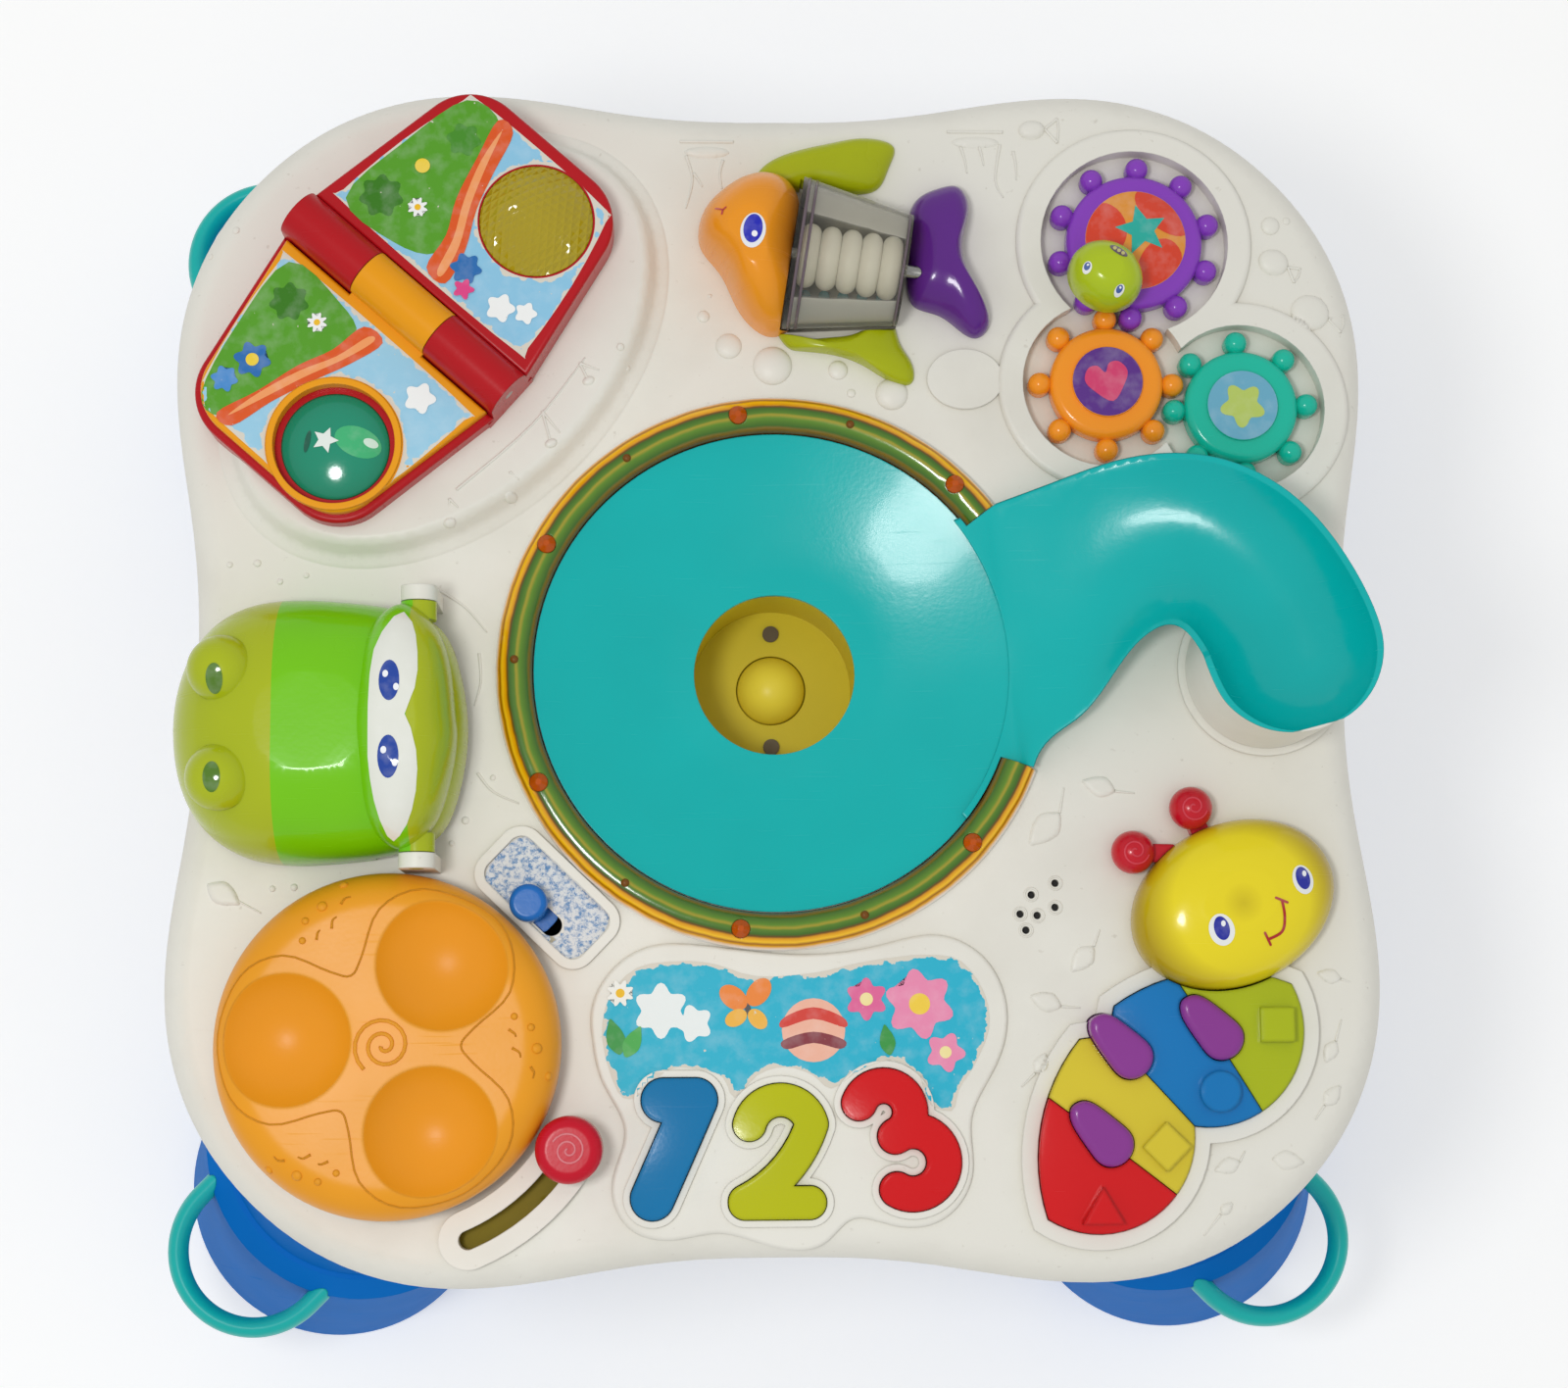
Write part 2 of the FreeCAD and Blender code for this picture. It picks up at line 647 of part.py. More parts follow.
def spike_places():
    lower, upper = lobe_places()
    joint = (lower + upper) / 2
    reach = BACK_RADIUS - BACK_OFFSET - SPIKE_LENGTH * 0.42
    middle = joint + polar(reach, LOBE_TURN + 90)
    low = lower + polar(LOBE_RADIUS * 0.04, 90)
    high = upper + polar(LOBE_RADIUS * 0.04, 90)
    return low, middle, high


def spike_solid(place, grow, bottom, top):
    outline = scaled_outline(SPIKE_SHARES, SPIKE_LENGTH + 2 * grow, SPIKE_WIDTH + 2 * grow, place, 1, bottom,
                             LOBE_TURN - 90)
    return prism(closed_curve(outline), top - bottom)


def deck_bosses():
    bosses = []
    for shares in BODY_SCREW_SHARES:
        bosses.append(drum(BOSS_RADIUS, WALL - BODY_DEPTH, -WALL / 2, spot(shares)))
    for shares in BOARD_POST_SHARES:
        bosses.append(drum(BOSS_RADIUS, -BOARD_DEPTH, -WALL / 2, spot(shares)))
    return bosses


def hippo_centre(height=0.0):
    hinge = spot(HIPPO_HINGE_SHARES, height)
    return Vector(hinge.x + HIPPO_REAR_REACH - HIPPO_LENGTH / 2, hinge.y, hinge.z)


def make_table_top():
    shell = body_block(0, -SEAM_DEPTH, 0, EDGE_ROUND)
    shell = shell.cut(body_block(WALL, -SEAM_DEPTH - OVERRUN, -WALL, EDGE_ROUND - WALL))
    raised = [make_mound()]
    raised.append(softened(gear_pockets(GEAR_BORDER, -WALL / 2, GEAR_BORDER_RISE), GEAR_BORDER_RISE,
                           GEAR_BORDER_RISE * 0.8))
    raised.append(gear_pockets(WALL, -GEAR_FLOOR - WALL, 0))
    panel_points = scaled_outline(PANEL_OUTLINE_SHARES, PANEL_WIDTH, PANEL_DEPTH, spot(PANEL_SHARES), 1,
                                  -WALL / 2)
    panel = prism(closed_curve(panel_points), PANEL_RISE + WALL / 2)
    raised.append(softened(panel, PANEL_RISE, PANEL_RISE * 0.6))
    for number in NUMBERS:
        raised.append(number_solid(number, NUMBER_RIM, 0, PANEL_RISE + NUMBER_RIM_RISE))
    raised.append(worm_body(WORM_RIM, -WALL / 2, WORM_RIM_RISE))
    raised.append(lever_band(LEVER_PAD_WIDTH, -WALL / 2, LEVER_PAD_RISE,
                             LEVER_DEGREES - LEVER_SWING, LEVER_DEGREES))
    raised.append(rounded_box(SWITCH_PANEL_LENGTH, SWITCH_PANEL_WIDTH, SWITCH_PANEL_CORNER, -WALL / 2,
                              SWITCH_PANEL_RISE, spot(SWITCH_SHARES), SWITCH_TURN))
    raised.append(prism(oval(BADGE_LENGTH, BADGE_WIDTH, spot(BADGE_SHARES), 0, -WALL / 2),
                        BADGE_RISE + WALL / 2))
    raised.append(fish_trough())
    raised += deck_bosses()
    raised += hippo_posts()
    shell = shell.fuse(raised)
    middle = spot((0, 0))
    holes = [drum(DECK_OPENING, -BODY_DEPTH, OVERRUN, middle)]
    holes.append(gear_pockets(0, -GEAR_FLOOR, GEAR_BORDER_RISE + OVERRUN))
    for place in gear_places():
        holes.append(drum(GEAR_AXLE_RADIUS, -GEAR_FLOOR - WALL - OVERRUN, OVERRUN, place))
    holes.append(fish_cone(DRUM_GAP, -0.5, 0.5))
    for number in NUMBERS:
        holes.append(number_solid(number, SLIDE_GAP, -WALL - OVERRUN, PANEL_RISE + NUMBER_RIM_RISE + OVERRUN))
    holes.append(worm_body(SLIDE_GAP, -WALL - OVERRUN, WORM_TOP))
    for place in spike_places():
        holes.append(spike_solid(place, SLIDE_GAP, -WALL - OVERRUN, WORM_TOP))
    holes.append(lever_band(LEVER_SLOT_WIDTH, -WALL - OVERRUN, LEVER_PAD_RISE + OVERRUN,
                            LEVER_DEGREES - LEVER_SWING, LEVER_DEGREES))
    holes.append(rounded_box(SWITCH_PANEL_LENGTH - 2 * SWITCH_BORDER, SWITCH_PANEL_WIDTH - 2 * SWITCH_BORDER,
                             SWITCH_PANEL_CORNER - SWITCH_BORDER, 0, SWITCH_PANEL_RISE + OVERRUN,
                             spot(SWITCH_SHARES), SWITCH_TURN))
    holes.append(switch_slot(2 * (SWITCH_STEM_RADIUS + SLIDE_GAP), -WALL - OVERRUN, OVERRUN))
    for shares in BODY_SCREW_SHARES:
        holes.append(drum(SCREW_SHANK, -BODY_DEPTH, 2 * BOSS_RADIUS + WALL - BODY_DEPTH, spot(shares)))
    holes += speaker_holes()
    holes.append(hippo_pin(0))
    holes.append(drum(SPINDLE_RADIUS, -WALL - OVERRUN, OVERRUN, spot(TURNTABLE_SHARES)))
    return shell.cut(holes)


def make_mound():
    centre = spot(MOUND_SHARES)
    rings = []
    for share, height in ((0, -WALL / 2), (0, 0), (0.25, 0.13), (0.6, 0.62), (0.85, 0.93), (1, 1)):
        length = MOUND_LENGTH - 2 * MOUND_SLOPE * share
        width = MOUND_WIDTH - 2 * MOUND_SLOPE * share
        rise = height * MOUND_RISE if height > 0 else height
        rings.append(oval(length, width, centre, 45, rise))
    return Part.makeLoft(rings, True, False)


def fish_trough():
    trough = fish_cone(DRUM_GAP + WALL, -0.5, 0.5)
    end = spot(FISH_SHARES)
    reach = DRUM_HEAD_RADIUS + DRUM_LENGTH
    corner = Vector(end.x - reach, end.y - reach, level(-WALL / 2) - reach)
    block = Part.makeBox(2 * reach, 2 * reach, reach, corner)
    ends = [fish_cone(DRUM_GAP + WALL, -0.5 - WALL / DRUM_LENGTH, -0.5 + OVERRUN / DRUM_LENGTH)]
    ends.append(fish_cone(DRUM_GAP + WALL, 0.5 - OVERRUN / DRUM_LENGTH, 0.5 + WALL / DRUM_LENGTH))
    return united([trough] + ends).common(block)


def speaker_place():
    return spot(SPEAKER_SHARES)


def speaker_holes():
    place = speaker_place()
    holes = []
    for share_x, share_y in SPEAKER_HOLE_SHARES:
        hole = Vector(place.x + share_x * SPEAKER_RADIUS, place.y + share_y * SPEAKER_RADIUS, 0)
        holes.append(drum(SPEAKER_HOLE, -WALL - OVERRUN, OVERRUN, hole))
    return holes


def hippo_posts():
    hinge = spot(HIPPO_HINGE_SHARES)
    posts = []
    for side in (-1, 1):
        low = hinge.y + side * (HIPPO_POST_FACE + HIPPO_POST_DEPTH / 2) - HIPPO_POST_DEPTH / 2
        post = Part.makeBox(HIPPO_POST_WIDTH, HIPPO_POST_DEPTH, HIPPO_HINGE_HEIGHT + WALL / 2,
                            Vector(hinge.x - HIPPO_POST_WIDTH / 2, low, level(-WALL / 2)))
        crown = Part.makeCylinder(HIPPO_POST_WIDTH / 2, HIPPO_POST_DEPTH,
                                  Vector(hinge.x, low, level(HIPPO_HINGE_HEIGHT)), Vector(0, 1, 0))
        posts.append(post.fuse(crown))
    return posts


def make_table_underside():
    shell = prism(table_outline(0, -BODY_DEPTH), BODY_DEPTH - SEAM_DEPTH)
    low = [edge for edge in shell.Edges if abs(edge.BoundBox.ZMax - level(-BODY_DEPTH)) < SEAT_GAP]
    shell = shell.makeFillet(UNDER_ROUND, low)
    inside = prism(table_outline(WALL, WALL - BODY_DEPTH), BODY_DEPTH - SEAM_DEPTH)
    shell = shell.cut(inside)
    sockets = []
    holes = []
    for corner in range(4):
        place = leg_top(corner)
        socket = LEG_PLUG_RADIUS + SEAT_GAP
        sockets.append(drum(socket + WALL, WALL / 2 - BODY_DEPTH, LEG_PLUG - BODY_DEPTH, place))
        holes.append(drum(socket, -BODY_DEPTH - OVERRUN, LEG_PLUG + OVERRUN - BODY_DEPTH, place))
    door = spot(DOOR_SHARES)
    sockets.append(rounded_box(DOOR_WIDTH + 2 * WALL, DOOR_DEPTH + 2 * WALL, DOOR_CORNER + WALL,
                               WALL / 2 - BODY_DEPTH, BOX_HEIGHT - BODY_DEPTH, door))
    holes.append(rounded_box(DOOR_WIDTH, DOOR_DEPTH, DOOR_CORNER, -BODY_DEPTH - OVERRUN,
                             BOX_HEIGHT - WALL - BODY_DEPTH, door))
    middle = spot((0, 0))
    sockets.append(tube(CUP_RADIUS + CUP_WALL, CUP_RADIUS, WALL / 2 - BODY_DEPTH,
                        -CUP_FLOOR_DEPTH - CUP_WALL, middle))
    for shares in BODY_SCREW_SHARES:
        place = spot(shares)
        holes.append(drum(SCREW_HEAD + SEAT_GAP, -BODY_DEPTH - OVERRUN, WALL / 2 - BODY_DEPTH, place))
        holes.append(drum(SCREW_SHANK, -BODY_DEPTH, OVERRUN - BODY_DEPTH + WALL, place))
    boss = tube(BOSS_RADIUS, SCREW_SHANK, WALL - BODY_DEPTH, BOX_HEIGHT - WALL / 2 - BODY_DEPTH, door_screw())
    rib = lever_band(LEVER_SLOT_WIDTH + WALL, WALL / 2 - BODY_DEPTH, lever_plate_bottom() - SLIDE_GAP,
                     LEVER_DEGREES - LEVER_SWING, LEVER_DEGREES)
    return shell.fuse(sockets).cut(holes).fuse([boss, rib])


def make_battery_door():
    door = rounded_box(DOOR_WIDTH - 2 * SLIDE_GAP, DOOR_DEPTH - 2 * SLIDE_GAP, DOOR_CORNER - SLIDE_GAP,
                       -BODY_DEPTH, WALL - BODY_DEPTH, spot(DOOR_SHARES))
    return door.cut([drum(SCREW_HEAD + SEAT_GAP, -BODY_DEPTH - OVERRUN, WALL / 2 - BODY_DEPTH, door_screw()),
                     drum(SCREW_SHANK, -BODY_DEPTH, 0, door_screw())])


def door_screw():
    place = spot(DOOR_SHARES)
    return Vector(place.x, place.y - DOOR_DEPTH / 2 + 2 * SCREW_HEAD, 0)


def screw(place, bottom, length):
    head = drum(SCREW_HEAD, bottom, bottom + SCREW_SHANK, place)
    shank = drum(SCREW_SHANK, bottom, bottom + length, place)
    slot = Part.makeBox(2 * SCREW_HEAD, SCREW_SHANK / 2, SCREW_SHANK / 2,
                        Vector(place.x - SCREW_HEAD, place.y - SCREW_SHANK / 4, level(bottom)))
    return head.fuse(shank).cut(slot)


def make_underside_screws():
    screws = []
    for place in [spot(shares) for shares in BODY_SCREW_SHARES] + [door_screw()]:
        screws.append(screw(place, WALL / 2 - SCREW_SHANK - BODY_DEPTH, BOSS_RADIUS * 2))
    return Part.makeCompound(screws)


def leg_top(corner, height=0.0):
    return polar(LEG_TOP_REACH * math.sqrt(2), 45 + 90 * corner, height)


def leg_reach(height):
    """How far the leg's middle line stands out, along each axis, at a height above the floor."""
    return FOOT_REACH + (LEG_TOP_REACH - FOOT_REACH) * height / (TABLE_HEIGHT - BODY_DEPTH)


def leg_disc(radius, reach, height, corner):
    centre = polar(reach * math.sqrt(2), 45 + 90 * corner, height)
    return Part.Wire([Part.Circle(centre, UP, radius).toShape()])


def leg_block(corner, inset, base):
    """Flared leg as two oblique cones with a rounded ledge between them."""
    share = LEDGE_HEIGHT / TABLE_HEIGHT
    ledge_reach = leg_reach(LEDGE_HEIGHT)
    lower = LEDGE_HEIGHT - LEDGE_ROUND
    shank_top = TABLE_HEIGHT - BODY_DEPTH - inset
    lower_reach = ledge_reach + (FOOT_REACH - ledge_reach) * LEDGE_ROUND / LEDGE_HEIGHT
    top = LEDGE_HEIGHT - inset
    foot = [leg_disc(FOOT_RADIUS - inset, FOOT_REACH, base, corner),
            leg_disc(LEDGE_RADIUS - inset, lower_reach, lower - inset * share, corner),
            leg_disc(LEDGE_RADIUS - LEDGE_ROUND - inset, ledge_reach, top, corner)]
    shank = [leg_disc(SHANK_RADIUS - inset, ledge_reach, top - WALL, corner),
             leg_disc(LEG_TOP_RADIUS - inset, LEG_TOP_REACH, shank_top, corner)]
    return Part.makeLoft(foot, True, True).fuse(Part.makeLoft(shank, True, True))


def make_leg(corner):
    plug_top = LEG_PLUG - BODY_DEPTH - SEAT_GAP
    plug = drum(LEG_PLUG_RADIUS, -BODY_DEPTH - WALL, plug_top, leg_top(corner))
    leg = leg_block(corner, 0, 0).fuse(plug)
    return leg.cut(leg_block(corner, LEG_WALL, LEG_WALL))


def handle_centre(corner, height=0.0):
    reach = leg_reach(HANDLE_HEIGHT) + HANDLE_STANDOFF
    return polar(reach * math.sqrt(2), 45 + 90 * corner, height)


def make_handle(corner):
    centre = handle_centre(corner, HANDLE_HEIGHT)
    profile = Part.Ellipse(Vector(0, 0, 0), HANDLE_TALL / 2, HANDLE_WIDTH / 2).toShape()
    profile.rotate(Vector(0, 0, 0), Vector(1, 0, 0), 90)
    profile.rotate(Vector(0, 0, 0), Vector(0, 1, 0), 90)
    profile.translate(Vector(HANDLE_RADIUS, 0, 0))
    face = Part.Face(Part.Wire([profile]))
    bow = face.revolve(ORIGIN, UP, 180)
    arms = [face.extrude(Vector(0, -HANDLE_RADIUS, 0))]
    mirrored = face.copy()
    mirrored.translate(Vector(-2 * HANDLE_RADIUS, 0, 0))
    arms.append(mirrored.extrude(Vector(0, -HANDLE_RADIUS, 0)))
    handle = bow.fuse(arms)
    handle.rotate(ORIGIN, UP, 90 * corner - 45)
    handle.translate(centre)
    return handle.cut(leg_block(corner, 0, 0))


def ramp_rows():
    """Left and right rim points and floor levels along the chute, then round the bowl at its end."""
    rows = []
    for left, right, rim, floor in RAMP_ROW_SHARES:
        rows.append((Vector(left[0] * RAMP_REACH, left[1] * RAMP_REACH, level(rim * RAMP_RISE)),
                     Vector(right[0] * RAMP_REACH, right[1] * RAMP_REACH, level(rim * RAMP_RISE)),
                     level(floor * RAMP_RISE)))
    left, right, floor = rows[-1]
    middle = (left + right) / 2
    radius = (right - left).Length / 2
    across = (right - left).normalize()
    ahead = Vector(-across.y, across.x, 0)
    depth = left.z - floor
    ball = (radius ** 2 + depth ** 2) / (2 * depth)
    for degrees in RAMP_BOWL_DEGREES:
        reach = radius * math.sin(math.radians(degrees))
        half = radius * math.cos(math.radians(degrees))
        at = middle + ahead * reach
        drop = math.sqrt(ball ** 2 - reach ** 2) - (ball - depth)
        rows.append((at - across * half, at + across * half, left.z - drop))
    return rows


def ramp_bowl_centre():
    left, right, floor = ramp_rows()[len(RAMP_ROW_SHARES) - 1]
    return (left + right) / 2


def ramp_outer_arc(left, right, floor, grow):
    across = (right - left).normalize()
    bottom = (left + right) / 2
    return left - across * grow, Vector(bottom.x, bottom.y, floor - grow), right + across * grow


def ramp_wall_section(left, right, floor):
    """Thin U across the chute, open at the top."""
    start, bottom, end = ramp_outer_arc(left, right, floor, RAMP_WALL)
    inner = Part.Arc(*ramp_outer_arc(left, right, floor, 0)).toShape()
    return Part.Wire([inner, Part.makeLine(right, end), Part.Arc(end, bottom, start).toShape(),
                      Part.makeLine(start, left)])


def ramp_room(grow):
    """The chute and bowl filled in and carried up, for cutting what stands near them."""
    rise = Vector(0, 0, RAMP_RISE)
    sections = []
    for left, right, floor in ramp_rows():
        start, bottom, end = ramp_outer_arc(left, right, floor, grow)
        over = start + rise
        sections.append(Part.Wire([Part.Arc(start, bottom, end).toShape(), Part.makeLine(end, end + rise),
                                   Part.makeLine(end + rise, over), Part.makeLine(over, start)]))
    return Part.makeLoft(sections, True, False)


def ring_room():
    """Room of the light ring between its ends, which the chute stays out of."""
    spare = math.degrees(SEAT_GAP / DISH_EDGE)
    outer = DISH_EDGE + 2 * RING_WIDTH
    sector = spun([(DISH_EDGE, 0), (outer, 0), (outer, RAMP_RISE), (DISH_EDGE, RAMP_RISE)],
                  Vector(0, 0, 0), RING_END - RING_START + 2 * spare)
    sector.rotate(ORIGIN, UP, RING_START - spare)
    return sector


def make_ball_ramp():
    flat = DISH_HOLE + DISH_FLAT
    upper = [(DISH_HOLE, -DISH_DEPTH), (flat, -DISH_DEPTH)]
    for step in range(1, DISH_STEPS + 1):
        share = step / DISH_STEPS
        height = (DISH_DEPTH + DISH_LIFT) * share ** 1.4 - DISH_DEPTH
        upper.append((flat + (DISH_EDGE - flat) * share, height))
    lower = [(radius, height - RAMP_WALL) for radius, height in reversed(upper)]
    lower[0] = (DISH_EDGE, 0)
    lower[1] = (DECK_OPENING - SEAT_GAP, 0)
    middle = spot((0, 0))
    chute = Part.makeLoft([ramp_wall_section(left, right, floor) for left, right, floor in ramp_rows()],
                          True, False)
    inside = drum(DISH_EDGE - RAMP_WALL, -BODY_DEPTH, RAMP_RISE, middle)
    deck = drum(OUTLINE_MEAN, -BODY_DEPTH, 0, middle)
    return spun(upper + lower, middle).fuse(chute.cut([inside, deck, ring_room()]))


def make_ramp_pedestal():
    middle = ramp_bowl_centre()
    inner = PEDESTAL_RADIUS - PEDESTAL_WALL
    column = tube(PEDESTAL_RADIUS, inner, -EDGE_ROUND, RAMP_RISE - RAMP_WALL, middle)
    lip = tube(PEDESTAL_LIP, inner, -EDGE_ROUND, PEDESTAL_LIP_HEIGHT, middle)
    deck = body_block(0, -SEAM_DEPTH, 0, EDGE_ROUND)
    return column.fuse(lip).cut([ramp_room(RAMP_WALL + RUNNING_FIT), deck])


def ring_profile(inset):
    """Half-round section of the ring with a low outer lip."""
    inner = DISH_EDGE + SEAT_GAP + inset
    outer = inner + RING_WIDTH - 2 * inset
    middle = (inner + outer) / 2
    radius = (outer - inner) / 2
    points = []
    for step in range(0, 181, 20):
        angle = math.radians(step)
        points.append((middle + radius * math.cos(angle),
                       RING_LIP + (RING_HEIGHT - RING_LIP - inset) * math.sin(angle)))
    return [(outer, 0)] + points + [(inner, 0)]


def jewel_places():
    reach = DISH_EDGE + SEAT_GAP + RING_WIDTH / 2
    return [polar(reach, degrees) for degrees in JEWEL_DEGREES]


def make_light_ring():
    ring = spun(ring_profile(0), Vector(0, 0, 0), RING_END - RING_START)
    hollow = spun([(radius, height - WALL / 2) for radius, height in ring_profile(WALL / 2)], Vector(0, 0, 0),
                  RING_END - RING_START)
    ring = ring.cut(hollow)
    ring.rotate(ORIGIN, UP, RING_START)
    seat = JEWEL_RADIUS + SEAT_GAP / 2
    holes = [drum(seat, WALL, RING_HEIGHT + OVERRUN, place) for place in jewel_places()]
    return ring.cut(holes)


def make_light_ring_jewels():
    jewels = []
    for place in jewel_places():
        stem = drum(JEWEL_RADIUS, RING_HEIGHT - WALL, RING_HEIGHT, place)
        foot = Vector(place.x, place.y, level(RING_HEIGHT))
        jewels.append(stem.fuse(Part.makeCone(JEWEL_RADIUS, JEWEL_RADIUS / 3, JEWEL_RISE, foot)))
    return Part.makeCompound(jewels)


def make_popper_cup():
    middle = spot((0, 0))
    top = -DISH_DEPTH - RAMP_WALL
    outer = CUP_RADIUS + CUP_WALL
    hole = PLUNGER_RADIUS + SEAT_GAP
    floor = -CUP_FLOOR_DEPTH
    under = floor - CUP_WALL
    cup = spun([(CUP_RADIUS, top), (CUP_FLANGE, top), (CUP_FLANGE, top - CUP_WALL), (outer, top - CUP_WALL),
                (outer, under), (hole, under), (hole, floor), (CUP_RADIUS, floor)], middle)
    return cup.cut([drum(SCREW_SHANK, -BODY_DEPTH, 0, place) for place in cup_screw_places()])


def cup_screw_places():
    return [Vector(0, side * CUP_SCREW_OFFSET, 0) for side in (-1, 1)]


def make_popper_cup_screws():
    screws = []
    for place in cup_screw_places():
        head = drum(SCREW_HEAD, -CUP_FLOOR_DEPTH, SCREW_SHANK - CUP_FLOOR_DEPTH, place)
        shank = drum(SCREW_SHANK, -CUP_FLOOR_DEPTH - 2 * CUP_WALL, -CUP_FLOOR_DEPTH, place)
        screws.append(head.fuse(shank))
    return Part.makeCompound(screws)


def plunger_flange_top():
    return -CUP_FLOOR_DEPTH - CUP_WALL - PLUNGER_TRAVEL - SEAT_GAP


def make_popper_plunger():
    middle = spot((0, 0))
    flange_top = plunger_flange_top()
    flange_bottom = flange_top - CUP_WALL / 2
    top = -CUP_FLOOR_DEPTH + PLUNGER_RISE
    shoulder = top - PLUNGER_RADIUS
    ball = Part.makeSphere(PLUNGER_RADIUS, Vector(0, 0, level(shoulder)))
    crown = ball.common(drum(PLUNGER_RADIUS, shoulder, top, middle))
    flange = drum(PLUNGER_RADIUS + PLUNGER_FLANGE, flange_bottom, flange_top, middle)
    body = united([drum(PLUNGER_RADIUS, flange_bottom, shoulder, middle), crown, flange])
    return body.cut(drum(PLUNGER_RADIUS - CUP_WALL, flange_bottom - OVERRUN, shoulder, middle))


def make_popper_spring():
    bottom = WALL - BODY_DEPTH + SPRING_WIRE
    top = -CUP_FLOOR_DEPTH + PLUNGER_RISE - PLUNGER_RADIUS - SPRING_WIRE - SEAT_GAP
    rise = (top - bottom) / (2 * SPRING_TURNS)
    radius = math.hypot(SPRING_RADIUS, rise / 2)
    tilt = math.degrees(math.asin(rise / 2 / radius))
    halves = []
    for half in range(2 * SPRING_TURNS):
        ring = Part.makeTorus(radius, SPRING_WIRE / 2, ORIGIN, UP, 0, 360, 180)
        ring.rotate(ORIGIN, UP, 180 * half)
        ring.rotate(ORIGIN, Vector(0, 1, 0), tilt * (-1) ** half)
        ring.translate(Vector(0, 0, level(bottom + rise * (half + 0.5))))
        halves.append(ring)
    return united(halves)


def gear(body_radius, peg_circle, pegs, first_peg, place):
    bottom = GEAR_TOP - GEAR_THICKNESS
    body = softened(drum(body_radius, bottom, GEAR_TOP, place), GEAR_TOP, GEAR_THICKNESS * 0.4)
    teeth = []
    for peg in range(pegs):
        at = place + polar(peg_circle, first_peg + 360 * peg / pegs)
        stem = drum(GEAR_PEG_RADIUS, bottom, GEAR_TOP - GEAR_PEG_RADIUS, at)
        crown = Part.makeSphere(GEAR_PEG_RADIUS, Vector(at.x, at.y, level(GEAR_TOP - GEAR_PEG_RADIUS)))
        teeth.append(stem.fuse(crown.common(drum(GEAR_PEG_RADIUS, GEAR_TOP - GEAR_PEG_RADIUS, GEAR_TOP, at))))
    return body.fuse(teeth)


def bored(shape, place):
    bore = GEAR_AXLE_RADIUS + RUNNING_FIT
    return shape.cut(drum(bore, -GEAR_FLOOR - WALL, GEAR_TOP - WALL + SEAT_GAP, place))


def knob_place(height=0.0):
    return gear_places()[0] + polar(CRANK_KNOB_REACH, CRANK_KNOB_DEGREES, height)


def make_crank_gear():
    place = gear_places()[0]
    body = gear(CRANK_BODY, CRANK_PEG_CIRCLE, CRANK_PEGS, CRANK_PEG_DEGREES, place)
    dome_radius = (GEAR_DOME_RADIUS ** 2 + GEAR_DOME_RISE ** 2) / (2 * GEAR_DOME_RISE)
    top = GEAR_TOP + GEAR_DOME_RISE
    ball = Part.makeSphere(dome_radius, Vector(place.x, place.y, level(top) - dome_radius))
    hub = ball.common(drum(GEAR_DOME_RADIUS, GEAR_TOP - WALL, top, place))
    pin = drum(CRANK_NECK_RADIUS - WALL, GEAR_TOP - WALL, knob_base() + CRANK_KNOB_HEIGHT / 2, knob_place())
    boss = drum(CRANK_NECK_RADIUS, GEAR_TOP - WALL, GEAR_TOP + CRANK_BOSS_RISE, knob_place())
    return bored(united([body, hub, boss, pin]), place)


def knob_base():
    return GEAR_TOP + CRANK_NECK_HEIGHT


def make_crank_knob():
    place = knob_place()
    body = dome(ROUND_SHARES, CRANK_KNOB_LENGTH, CRANK_KNOB_WIDTH, place, knob_base() + WALL,
                CRANK_KNOB_HEIGHT, CRANK_KNOB_TURN, WALL)
    neck = drum(CRANK_NECK_RADIUS, GEAR_TOP + CRANK_BOSS_RISE + SEAT_GAP, knob_base(), place)
    return body.fuse(neck).cut(drum(CRANK_NECK_RADIUS - WALL + RUNNING_FIT, GEAR_TOP - WALL,
                                    knob_base() + CRANK_KNOB_HEIGHT / 2 + SEAT_GAP, place))


def small_gear(place, first_peg):
    body = gear(SMALL_BODY, SMALL_PEG_CIRCLE, SMALL_PEGS, first_peg, place)
    badge = drum(GEAR_BADGE_RADIUS, GEAR_TOP - WALL / 2, GEAR_TOP + GEAR_BADGE_RISE, place)
    return bored(body.fuse(badge), place)


def meshed_peg(peg_degrees, line_degrees, pegs, followed_pegs):
    """Angle of a peg on the next gear when the first gear has one at peg_degrees."""
    return line_degrees + 180 + (180 - pegs * (peg_degrees - line_degrees)) / followed_pegs


def middle_peg():
    return meshed_peg(CRANK_PEG_DEGREES, CRANK_TO_MIDDLE_DEGREES, CRANK_PEGS, SMALL_PEGS)


def make_middle_gear():
    return small_gear(gear_places()[1], middle_peg())


def make_outer_gear():
    peg = meshed_peg(middle_peg(), MIDDLE_TO_OUTER_DEGREES, SMALL_PEGS, SMALL_PEGS)
    return small_gear(gear_places()[2], peg)


def make_gear_axles():
    axles = []
    for place in gear_places():
        pin = drum(GEAR_AXLE_RADIUS, -GEAR_FLOOR - WALL, GEAR_TOP - WALL, place)
        head = drum(GEAR_AXLE_RADIUS + WALL, -GEAR_FLOOR - 2 * WALL, -GEAR_FLOOR - WALL, place)
        axles.append(pin.fuse(head))
    return Part.makeCompound(axles)


def book_place(along, across, height=0.0):
    """Point of the book: along its spine and across towards the right-hand page."""
    return spot(BOOK_SHARES, height) + polar(along, BOOK_TURN) + polar(across, BOOK_TURN + 90)


